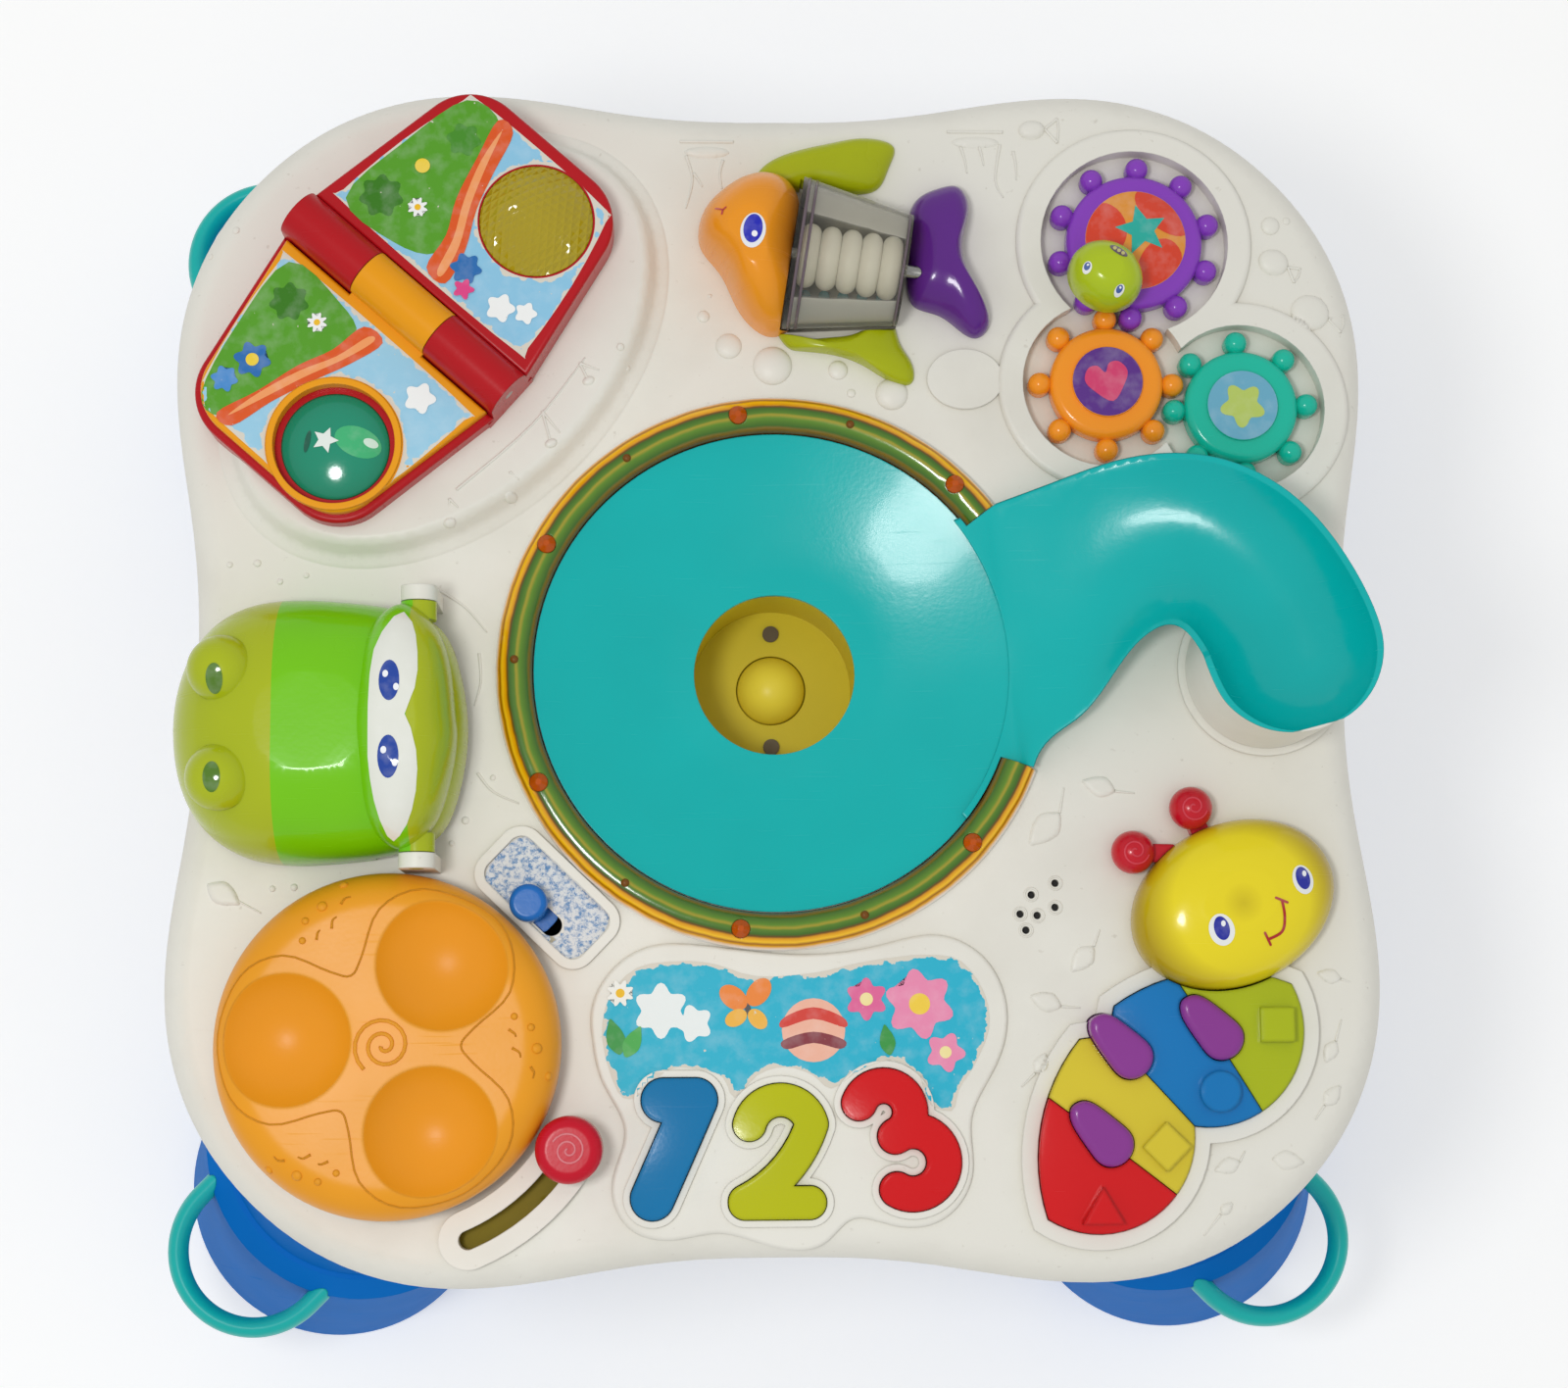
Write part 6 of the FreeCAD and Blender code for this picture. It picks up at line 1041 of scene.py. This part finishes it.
        # The light-green blob and pale glint at the upper right are a painted highlight on the bubble's dome,
        # the dark dash at the lower left is painted shade, and the star is print
        shapes = (("#3CB878", placed(ellipse(9.5, 6.0), 23, -53, 20)),
                  ("#D8F0E0", placed(ellipse(3.0, 1.8), 27, -50, 20)),
                  ("#0A5C48", placed(ellipse(4.5, 1.1), 8, -66, -60)),
                  ("#EAF2EC", placed(star(5.4, 2.6), 13, -61, 20)))
        for step, (tint, outline) in enumerate(shapes):
            lay.patch(self.on_page(outline), linear(tint), GROUND + 0.05 * MM * step, cell=SMALL_CELL)
        lay.settle("bubble_print", bpy.data.materials["Disc print under varnish"])


class TABLE_OT_fish(bpy.types.Operator):
    """Dresses the fish with its face and its turning drum"""
    bl_idname = "activity_table.fish"
    bl_label = "Fish"

    TURN = -9.0
    AXIS = Vector((30.9, 166.1, 391.0)) * MM
    BANDS = ((-20.5, 30.4, 0.7), (-17.5, 29.9, 0.6), (21.5, 22.4, 0.6))
    BAND_STEPS = 40
    EYE = (-8.6 * MM, 171.5 * MM)
    EYE_CELL = 1.1 * MM
    SMILE = (((-23.2, 182.2), (-20.4, 180.6)), ((-20.4, 180.6), (-19.2, 181.6)),
             ((-20.4, 180.6), (-20.8, 178.8)))

    def execute(self, context):
        chosen = context.scene.activity_table.fish
        dress("fish_head", moulded("Fish orange ABS", chosen.head, 0.26, 0.2))
        dress("fish_fins", moulded("Leaf-green moulded ABS", chosen.fin, 0.26, 0.2))
        dress("fish_tail", moulded("Deep purple ABS", chosen.tail, 0.2, 0.3))
        dress("fish_drum", clear_styrene("Clear styrene", chosen.drum, 0.03))
        dress("fish_core", moulded("White inner ABS", linear("#F2F0EA"), 0.35))
        self.make_bands()
        dress("fish_beads", moulded("Bright bead ABS", linear("#1E8C96"), 0.25))
        dress("fish_axle", bpy.data.materials["Drawn steel"])
        lay = Lay("fish_head")
        x, y = self.EYE
        lay.patch(placed(ellipse(5.0 * MM, 7.2 * MM), x, y, self.TURN), (0.86, 0.88, 0.9), INK,
                  cell=self.EYE_CELL)
        lay.patch(placed(ellipse(3.8 * MM, 5.9 * MM), x, y + 0.8 * MM, self.TURN), linear("#0010B8"),
                  OVER_INK, cell=self.EYE_CELL)
        lay.patch(placed(ellipse(1.2 * MM, 1.3 * MM, 16), x + 0.6 * MM, y - 1.4 * MM), (0.95, 0.95, 0.98),
                  TOP_INK, cell=self.EYE_CELL)
        for run in self.SMILE:
            lay.patch(stroke(in_mm(run), 0.7 * MM), linear("#C01818"), OVER_INK, cell=self.EYE_CELL)
        lay.settle("fish_face", bpy.data.materials["Disc print under varnish"])
        return {"FINISHED"}

    def make_bands(self):
        """Two smoky bands round the drum's wide end and one round its narrow end."""
        turn = math.radians(self.TURN)
        along = Vector((math.cos(turn), math.sin(turn), 0))
        across = Vector((-along.y, along.x, 0))
        points, edges, reaches, leans = [], [], [], []
        for place, reach, thick in self.BANDS:
            first = len(points)
            for step in range(self.BAND_STEPS):
                angle = 2 * math.pi * step / self.BAND_STEPS
                lean = across * math.cos(angle) + UP * math.sin(angle)
                points.append(self.AXIS + along * place * MM + lean * reach * MM)
                leans.append(lean)
                reaches.append(thick * MM)
                edges.append((first + step, first + (step + 1) % self.BAND_STEPS))
        smoke = moulded("Smoky edge styrene", linear("#6E6068"), 0.25)
        grown("drum_bands", points, edges, reaches, leans, beads_tree(),
              {"Sides": LINE_SIDES, "Material": smoke}, BODY_OF["fish_drum"], SLOT_OF["fish_drum"])


class TABLE_OT_turntable(bpy.types.Operator):
    """Dresses the turntable with its raised lines, the spin lever and the mode switch with its label"""
    bl_idname = "activity_table.turntable"
    bl_label = "Turntable and switch"

    MIDDLE = (-151.7, -148.0)
    WELLS = (54.4, 176.5, 298.5)
    KNOB = (-81.4, -188.3)
    SLOT = ((-81.4, -188.3), (-91.0, -202.5), (-104.8, -214.6), (-121.1, -223.0))
    SWITCH = (-90.9, -90.1)
    SWITCH_TURN = -44.0
    SWITCH_LABEL = (25.6 * MM, 12.2 * MM)
    LOBE = ((0, 64.0), (22, 61.5), (38, 52.0), (50, 35.0), (61, 29.5), (72, 35.0), (84, 52.0), (100, 61.5))
    MARK_REACH = 53 * MM
    STUDS = ((-12.0, -3.5, 1.4), (-8.0, 3.0, 1.5), (0.0, 5.5, 2.1), (10.5, 10.0, 1.7))
    COMMAS = (((-7.0, -5.5), (-5.5, -3.2), (-4.2, -2.6)), ((0.0, -4.0), (1.6, -1.2), (3.6, -0.6)),
              ((7.0, 3.2), (9.2, 4.6), (11.4, 4.2)))

    def execute(self, context):
        chosen = context.scene.activity_table.turntable
        table = moulded("Orange moulded ABS", chosen.table, 0.34, edge=2.0 * MM)
        knob = moulded("Cherry moulded ABS", chosen.knob, 0.24)
        dress("turntable", table)
        dress("spin_lever_knob", knob)
        dress("spin_lever_arm", moulded("Olive inner ABS", chosen.arm, 0.4))
        dress("turntable_spindle", bpy.data.materials["Drawn steel"])
        dress("mode_switch", moulded("Switch blue ABS", chosen.switch, 0.24))
        x, y = self.MIDDLE[0] * MM, self.MIDDLE[1] * MM
        lay = Lay("turntable")
        lobes = [placed([(reach, 0)], 0, 0, well + degrees)[0]
                 for well in self.WELLS for degrees, reach in self.LOBE]
        lay.line(placed(through(in_mm(lobes), steps=4), x, y), 0.45 * MM, closed=True)
        lay.line(placed(spiral(11.6 * MM, 2.1, 3.4), x, y), 0.8 * MM)
        for well in self.WELLS:
            turn = well + 60
            spot = placed([(self.MARK_REACH, 0)], x, y, turn)[0]
            for left, up, reach in self.STUDS:
                lay.dot(*placed([(left * MM, up * MM)], *spot, turn - 90)[0], reach * MM)
            for comma in self.COMMAS:
                lay.line(placed(through(in_mm(comma), False), *spot, turn - 90), 0.6 * MM, taper=0.5)
        lay.settle("turntable_relief", table, 0.55)
        swirl = Lay("spin_lever_knob")
        swirl.line(placed(spiral(6.8 * MM, 2.1, 2.0), self.KNOB[0] * MM, self.KNOB[1] * MM), 0.35 * MM)
        swirl.settle("knob_swirl", moulded("Worn-pale cherry ABS", linear("#E88A92"), 0.35))
        self.lay_slot(chosen)
        self.lay_label()
        return {"FINISHED"}

    def lay_slot(self, chosen):
        floor = Lay("table_underside")
        floor.patch(stroke(through(in_mm(self.SLOT), False), 9.0 * MM), lift=0.05 * MM, cell=GROUND_CELL)
        floor.settle("slot_floor", moulded("Olive rib ABS", chosen.arm, 0.6))

    def lay_label(self):
        lay = Lay("table_top")
        half_long, half_wide = self.SWITCH_LABEL
        corners = [(half_long * along, half_wide * across) for along, across in
                   ((-1, -0.45), (-0.92, -0.85), (-0.72, -1), (0.72, -1), (0.92, -0.85), (1, -0.45),
                    (1, 0.45), (0.92, 0.85), (0.72, 1), (-0.72, 1), (-0.92, 0.85), (-1, 0.45))]
        lay.patch(placed(through(corners, steps=3), *in_mm([self.SWITCH])[0], self.SWITCH_TURN), lift=INK)
        lay.settle("switch_label", rubbed_label("Rubbed vinyl label"))


class TABLE_OT_keys(bpy.types.Operator):
    """Dresses the number keys under their picture, and the worm's keys, head and antennae"""
    bl_idname = "activity_table.keys"
    bl_label = "Keys"

    LABEL = (7.1, -144.4)
    LABEL_SIZE = (152.4, 61.2)
    LABEL_SHARES = (
        (-.5, -.02), (-.48, .25), (-.41, .43), (-.3, .47), (-.21, .45), (-.1, .37), (.05, .39), (.16, .45),
        (.27, .49), (.35, .5), (.43, .46), (.49, .25), (.5, .02), (.46, -.21), (.42, -.36), (.4, -.5),
        (.33, -.43), (.32, -.28), (.25, -.17), (.16, -.24), (.09, -.35), (.04, -.26), (-.03, -.21),
        (-.1, -.26), (-.16, -.4), (-.19, -.27), (-.25, -.22), (-.33, -.22), (-.41, -.39), (-.46, -.36))
    HEAD = (181.8 * MM, -95.1 * MM)
    HEAD_REACH = 37 * MM
    EYES = (((206.0, -86.0), (4.3, 5.8), (2.9, 4.5), 15), ((173.0, -105.5), (5.0, 6.3), (3.0, 4.7), 15))
    SMILE = ((197.0, -94.3), (198.0, -100.3), (197.0, -106.2), (191.5, -109.3))
    DIMPLES = (((194.6, -93.2), (199.2, -95.0)), ((190.0, -106.8), (192.4, -111.4)))
    ANTENNAE = ((165.1, -56.4), (141.5, -73.8))

    def execute(self, context):
        chosen = context.scene.activity_table.keys
        for node, name, tint in (
                ("number_key_1", "Key blue ABS", chosen.one), ("number_key_2", "Key lime ABS", chosen.two),
                ("number_key_3", "Key red ABS", chosen.three),
                ("worm_key_red", "Worm red ABS", chosen.red),
                ("worm_key_yellow", "Worm yellow ABS", chosen.yellow),
                ("worm_key_blue", "Worm blue ABS", chosen.blue),
                ("worm_key_green", "Worm green ABS", chosen.green),
                ("worm_antennae", "Antenna red ABS", chosen.antenna)):
            dress(node, moulded(name, tint, 0.2, 0.25, 2.4 * MM))
        # The worm's head is painted darker amber towards its rim as shade
        dress("worm_head", rim_shaded("Worm head ABS", chosen.head, linear("#9A7A06"), self.HEAD,
                                  self.HEAD_REACH))
        spike = moulded("Spike purple ABS", chosen.spike, 0.2, 0.25, 1.6 * MM)
        for place in (1, 2, 3):
            dress("spike_key_%d" % place, spike)
        self.lay_picture(chosen)
        self.lay_worm()
        return {"FINISHED"}

    def lay_picture(self, chosen):
        lay = Lay("table_top")
        (x, y), (wide, tall) = self.LABEL, self.LABEL_SIZE
        sheet = through([(x + across * wide, y + up * tall) for across, up in self.LABEL_SHARES], steps=3)
        lay.patch(in_mm(sheet), chosen.label, GROUND, cell=GROUND_CELL, sheet=True)
        shapes = [
            ("#EEF4F2", placed(petals(11, 0.3, 6), -46, -135)),
            ("#EEF4F2", placed(petals(7.5, 0.3, 5), -33, -140)),
            ("#F3B8A0", placed(ellipse(12.5, 12.5), 14, -143)),
            ("#D8453A", through([(2.4, -138), (14, -134), (25.6, -138), (26.4, -142), (14, -138.6),
                                 (1.6, -142)], steps=4)),
            ("#8A3A44", through([(1.8, -147), (14, -143.6), (26.2, -147), (24.6, -150.4), (14, -148),
                                 (3.4, -150.4)], steps=4)),
            ("#EE8FB4", placed(petals(14, 0.3, 6), 56, -133, 10)),
            ("#E46A9C", placed(petals(8.5, 0.32, 6), 35, -131)),
            ("#EE8FB4", placed(petals(8, 0.32, 5), 66, -152, 30)),
            ("#F6D24A", placed(ellipse(4.2, 4.2, 20), 56, -133)),
            ("#F6E6A0", placed(ellipse(2.6, 2.6, 16), 35, -131)),
            ("#F6E6A0", placed(ellipse(2.4, 2.4, 16), 66, -152)),
            ("#58595B", placed(ellipse(1.2, 5.2, 16), -12, -134, 20)),
            ("#F08A3C", placed(ellipse(6.2, 4.2, 24), -17.5, -130, -38)),
            ("#F08A3C", placed(ellipse(6.2, 4.2, 24), -7.5, -128, 52)),
            ("#F2B84A", placed(ellipse(4.6, 3.2, 20), -16.5, -138, 28)),
            ("#F2B84A", placed(ellipse(4.6, 3.2, 20), -8.0, -138.5, -48)),
            ("#3E9A48", leaf((-62, -152), (-66, -138), 0.25)),
            ("#4CAE50", leaf((-60, -153), (-54, -141), 0.25)),
            ("#3E9A48", leaf((44, -153), (42, -141), 0.25)),
            ("#F4F4EC", placed(petals(5.5, 0.4, 8), -62, -128)),
            ("#F2C020", placed(ellipse(1.8, 1.8, 14), -62, -128))]
        for step, (tint, outline) in enumerate(shapes):
            lay.patch(in_mm(outline), linear(tint), (0.18 + 0.012 * step) * MM, cell=3.0 * MM)
        lay.settle("number_picture", printed("Torn picture label", 0.42, 3.4 * MM))

    def lay_worm(self):
        lay = Lay("worm_head")
        for (x, y), white, blue, turn in self.EYES:
            lay.patch(placed(ellipse(white[0] * MM, white[1] * MM), x * MM, y * MM, turn),
                      (0.86, 0.88, 0.86), INK, cell=SMALL_CELL)
            lay.patch(placed(ellipse(blue[0] * MM, blue[1] * MM), x * MM, (y + 0.6) * MM, turn),
                      linear("#0A1EA0"), OVER_INK, cell=SMALL_CELL)
            lay.patch(placed(ellipse(0.9 * MM, 1.2 * MM, 14), (x + 0.6) * MM, (y + 2.4) * MM),
                      (0.92, 0.94, 0.96), TOP_INK, cell=SMALL_CELL)
        red = linear("#B01414")
        lay.patch(stroke(through(in_mm(self.SMILE), False), 1.1 * MM), red, OVER_INK, cell=SMALL_CELL)
        for dimple in self.DIMPLES:
            lay.patch(stroke(in_mm(dimple), 1.0 * MM), red, OVER_INK)
        lay.settle("worm_face", bpy.data.materials["Disc print under varnish"])
        swirls = Lay("worm_antennae")
        for x, y in self.ANTENNAE:
            swirls.line(placed(spiral(5.6 * MM, 1.8, 1.0), x * MM, y * MM), 0.35 * MM)
        swirls.settle("antenna_swirls", moulded("Worn-pale antenna ABS", linear("#DC4858"), 0.3))


class TABLE_OT_hippo(bpy.types.Operator):
    """Dresses the hippo's head with its face, its jaw and its hinge pin"""
    bl_idname = "activity_table.hippo"
    bl_label = "Hippo"

    PATCH = (
        (-144.0, 17.1), (-147.5, 15.1), (-151.7, 8.6), (-154.5, 1.5), (-155.7, -8.0), (-156.1, -19.7),
        (-156.1, -29.1), (-156.1, -39.6), (-155.3, -47.8), (-154.0, -56.0), (-152.1, -63.0), (-149.7, -68.8),
        (-147.5, -70.6), (-144.9, -68.8), (-142.0, -64.9), (-139.8, -59.6), (-138.1, -52.6), (-137.4, -44.4),
        (-137.8, -37.4), (-139.7, -29.2), (-142.1, -23.9), (-140.2, -18.6), (-138.5, -13.9), (-137.6, -6.8),
        (-137.9, 0.3), (-138.9, 7.4), (-140.6, 12.7))
    EYES = (((-148.1, -10.9), (3.9, 7.8)), ((-148.2, -39.9), (4.0, 8.1)))
    GLINTS = ((-149.5, -8.5), (-145.4, -13.5), (-149.9, -37.5), (-145.6, -42.3))
    NOSTRIL_HOLE_SHADES = (((-214.8, -9.2), (3.2, 5.6)), ((-215.0, -46.9), (3.3, 5.8)))
    SNOUT_END = -250 * MM
    NECK_END = -96 * MM

    def execute(self, context):
        chosen = context.scene.activity_table.hippo
        bands = ((0.0, chosen.snout), (0.365, chosen.cheek), (0.70, chosen.snout))
        dress("hippo_head", zoned("Two-green glossy ABS", bands, self.SNOUT_END, self.NECK_END, 0.26))
        dress("hippo_jaw", moulded("Jaw green ABS", chosen.cheek, 0.26))
        dress("hippo_hinge_pin", moulded("Lime pin ABS", chosen.snout, 0.26))
        lay = Lay("hippo_head")
        lay.patch(in_mm(self.PATCH), linear("#E8EAE0"), INK)
        for (x, y), (half, tall) in self.EYES:
            lay.patch(placed(ellipse(half * MM, tall * MM), x * MM, y * MM), chosen.eye, 0.25 * MM)
        for x, y in self.GLINTS:
            lay.patch(placed(ellipse(1.1 * MM, 1.4 * MM, 14), x * MM, y * MM), (0.92, 0.94, 0.98), 0.35 * MM)
        # Painted shade: dark green ellipses on the nostril bumps stand in for the shade inside the nostril
        # holes
        for (x, y), (half, tall) in self.NOSTRIL_HOLE_SHADES:
            lay.patch(placed(ellipse(half * MM, tall * MM), x * MM, y * MM), linear("#4E7A10"), 0.2 * MM)
        lay.settle("hippo_face", bpy.data.materials["Disc print under varnish"])
        return {"FINISHED"}


class TABLE_OT_works(bpy.types.Operator):
    """Dresses what is inside: circuit board, contact pads and loudspeaker"""
    bl_idname = "activity_table.works"
    bl_label = "Works"

    def execute(self, context):
        dress("circuit_board", moulded("Solder-masked board", linear("#1E6B3A"), 0.35))
        dress("key_contact_pads", moulded("Carbon rubber", linear("#3A3A3A"), 0.6))
        dress("speaker", moulded("Black speaker paper", linear("#2A2A2A"), 0.55))
        return {"FINISHED"}


class TABLE_OT_stage(bpy.types.Operator):
    """Sets the pale floor, the soft light and the camera"""
    bl_idname = "activity_table.stage"
    bl_label = "Stage"

    CAMERA_PLACE = Vector((-0.0361, -0.1580, 1.4951))
    CAMERA_AHEAD = Vector((0.0352, 0.1323, -0.9906))
    CAMERA_RIGHT = Vector((0.9994, -0.0079, 0.0345))
    CAMERA_LENS = 64.46
    SENSOR = 36.0
    FLOOR_HALF = 12.0
    FLOOR_GLOW = 0.3
    LAMP_PLACE = Vector((-0.29, -0.15, 1.50))
    LAMP_SIZE = 0.22

    def execute(self, context):
        chosen = context.scene.activity_table.stage
        self.make_floor(chosen)
        self.make_world(chosen)
        self.make_light(chosen)
        self.make_camera()
        context.scene.view_settings.view_transform = "Standard"
        return {"FINISHED"}

    def make_floor(self, chosen):
        half = self.FLOOR_HALF
        mesh = bpy.data.meshes.new("studio_floor")
        mesh.from_pydata([(-half, -half, 0), (half, -half, 0), (half, half, 0), (-half, half, 0)], [],
                         [(0, 1, 2, 3)])
        material, tree = blank("Matt studio floor")
        matt = add(tree, "ShaderNodeBsdfPrincipled", {"Base Color": opaque(chosen.floor), "Roughness": 0.9})
        glow = add(tree, "ShaderNodeEmission", {"Color": (1, 1, 1, 1), "Strength": self.FLOOR_GLOW})
        path = add(tree, "ShaderNodeLightPath").outputs
        clear = add(tree, "ShaderNodeMath", {0: path["Is Camera Ray"], 1: path["Is Transmission Ray"]},
                    operation="MAXIMUM")
        seen = add(tree, "ShaderNodeMath", {0: clear.outputs[0], 1: path["Is Glossy Ray"]},
                   operation="MAXIMUM")
        none = add(tree, "ShaderNodeEmission", {"Strength": 0.0})
        lit = add(tree, "ShaderNodeMixShader", {0: seen.outputs[0], 1: none.outputs[0], 2: glow.outputs[0]})
        both = add(tree, "ShaderNodeAddShader", {0: matt.outputs[0], 1: lit.outputs[0]})
        add(tree, "ShaderNodeOutputMaterial", {"Surface": both.outputs[0]})
        mesh.materials.append(material)
        floor = bpy.data.objects.new("studio_floor", mesh)
        bpy.context.scene.collection.objects.link(floor)

    def make_world(self, chosen):
        world = bpy.data.worlds.new("studio_air")
        world.use_nodes = True
        tree = world.node_tree
        tree.nodes.clear()
        path = add(tree, "ShaderNodeLightPath").outputs
        seen = add(tree, "ShaderNodeMath", {0: path["Is Camera Ray"], 1: path["Is Transmission Ray"]},
                   operation="MAXIMUM")
        plain = add(tree, "ShaderNodeBackground", {"Color": (1, 1, 1, 1), "Strength": chosen.fill})
        white = add(tree, "ShaderNodeBackground", {"Color": (1, 1, 1, 1), "Strength": 1.0})
        mix = add(tree, "ShaderNodeMixShader", {0: seen.outputs[0], 1: plain.outputs[0], 2: white.outputs[0]})
        add(tree, "ShaderNodeOutputWorld", {"Surface": mix.outputs[0]})
        bpy.context.scene.world = world

    def make_light(self, chosen):
        lamp = bpy.data.lights.new("soft_box", "AREA")
        lamp.shape = "DISK"
        lamp.size = self.LAMP_SIZE
        lamp.energy = chosen.key
        box = bpy.data.objects.new("soft_box", lamp)
        box.location = self.LAMP_PLACE
        box.rotation_euler = (Vector((0, 0, DECK)) - self.LAMP_PLACE).to_track_quat("-Z", "Y").to_euler()
        bpy.context.scene.collection.objects.link(box)

    def make_camera(self):
        lens = bpy.data.cameras.new("camera")
        lens.lens = self.CAMERA_LENS
        lens.sensor_width = self.SENSOR
        lens.sensor_fit = "HORIZONTAL"
        lens.clip_start = 0.05
        camera = bpy.data.objects.new("camera", lens)
        ahead = self.CAMERA_AHEAD.normalized()
        right = (self.CAMERA_RIGHT - ahead * self.CAMERA_RIGHT.dot(ahead)).normalized()
        above = right.cross(ahead)
        place = self.CAMERA_PLACE
        camera.matrix_world = Matrix((
            (right.x, above.x, -ahead.x, place.x), (right.y, above.y, -ahead.y, place.y),
            (right.z, above.z, -ahead.z, place.z), (0, 0, 0, 1)))
        bpy.context.scene.collection.objects.link(camera)
        bpy.context.scene.camera = camera


OPERATORS = (TABLE_OT_shell, TABLE_OT_reliefs, TABLE_OT_legs, TABLE_OT_ramp, TABLE_OT_gears, TABLE_OT_book,
             TABLE_OT_fish, TABLE_OT_turntable, TABLE_OT_keys, TABLE_OT_hippo, TABLE_OT_works, TABLE_OT_stage)


class TABLE_PT_pieces(bpy.types.Panel):
    """Lists the table's pieces and their settings"""
    bl_idname = "TABLE_PT_pieces"
    bl_label = "Activity table"
    bl_space_type = "VIEW_3D"
    bl_region_type = "UI"
    bl_category = "Activity table"

    def draw(self, context):
        for operator in OPERATORS:
            self.layout.operator(operator.bl_idname)
        for name, kind in SETTINGS:
            group = getattr(context.scene.activity_table, name)
            for setting in kind.__annotations__:
                self.layout.prop(group, setting)


CLASSES = tuple(kind for name, kind in SETTINGS) + (TableSettings,) + OPERATORS + (TABLE_PT_pieces,)


def register():
    for kind in CLASSES:
        bpy.utils.register_class(kind)
    bpy.types.Scene.activity_table = bpy.props.PointerProperty(type=TableSettings)


def unregister():
    del bpy.types.Scene.activity_table
    for kind in reversed(CLASSES):
        bpy.utils.unregister_class(kind)


def main():
    register()
    for operator in OPERATORS:
        getattr(bpy.ops.activity_table, operator.bl_idname.split(".")[1])()


if __name__ == "__main__":
    main()
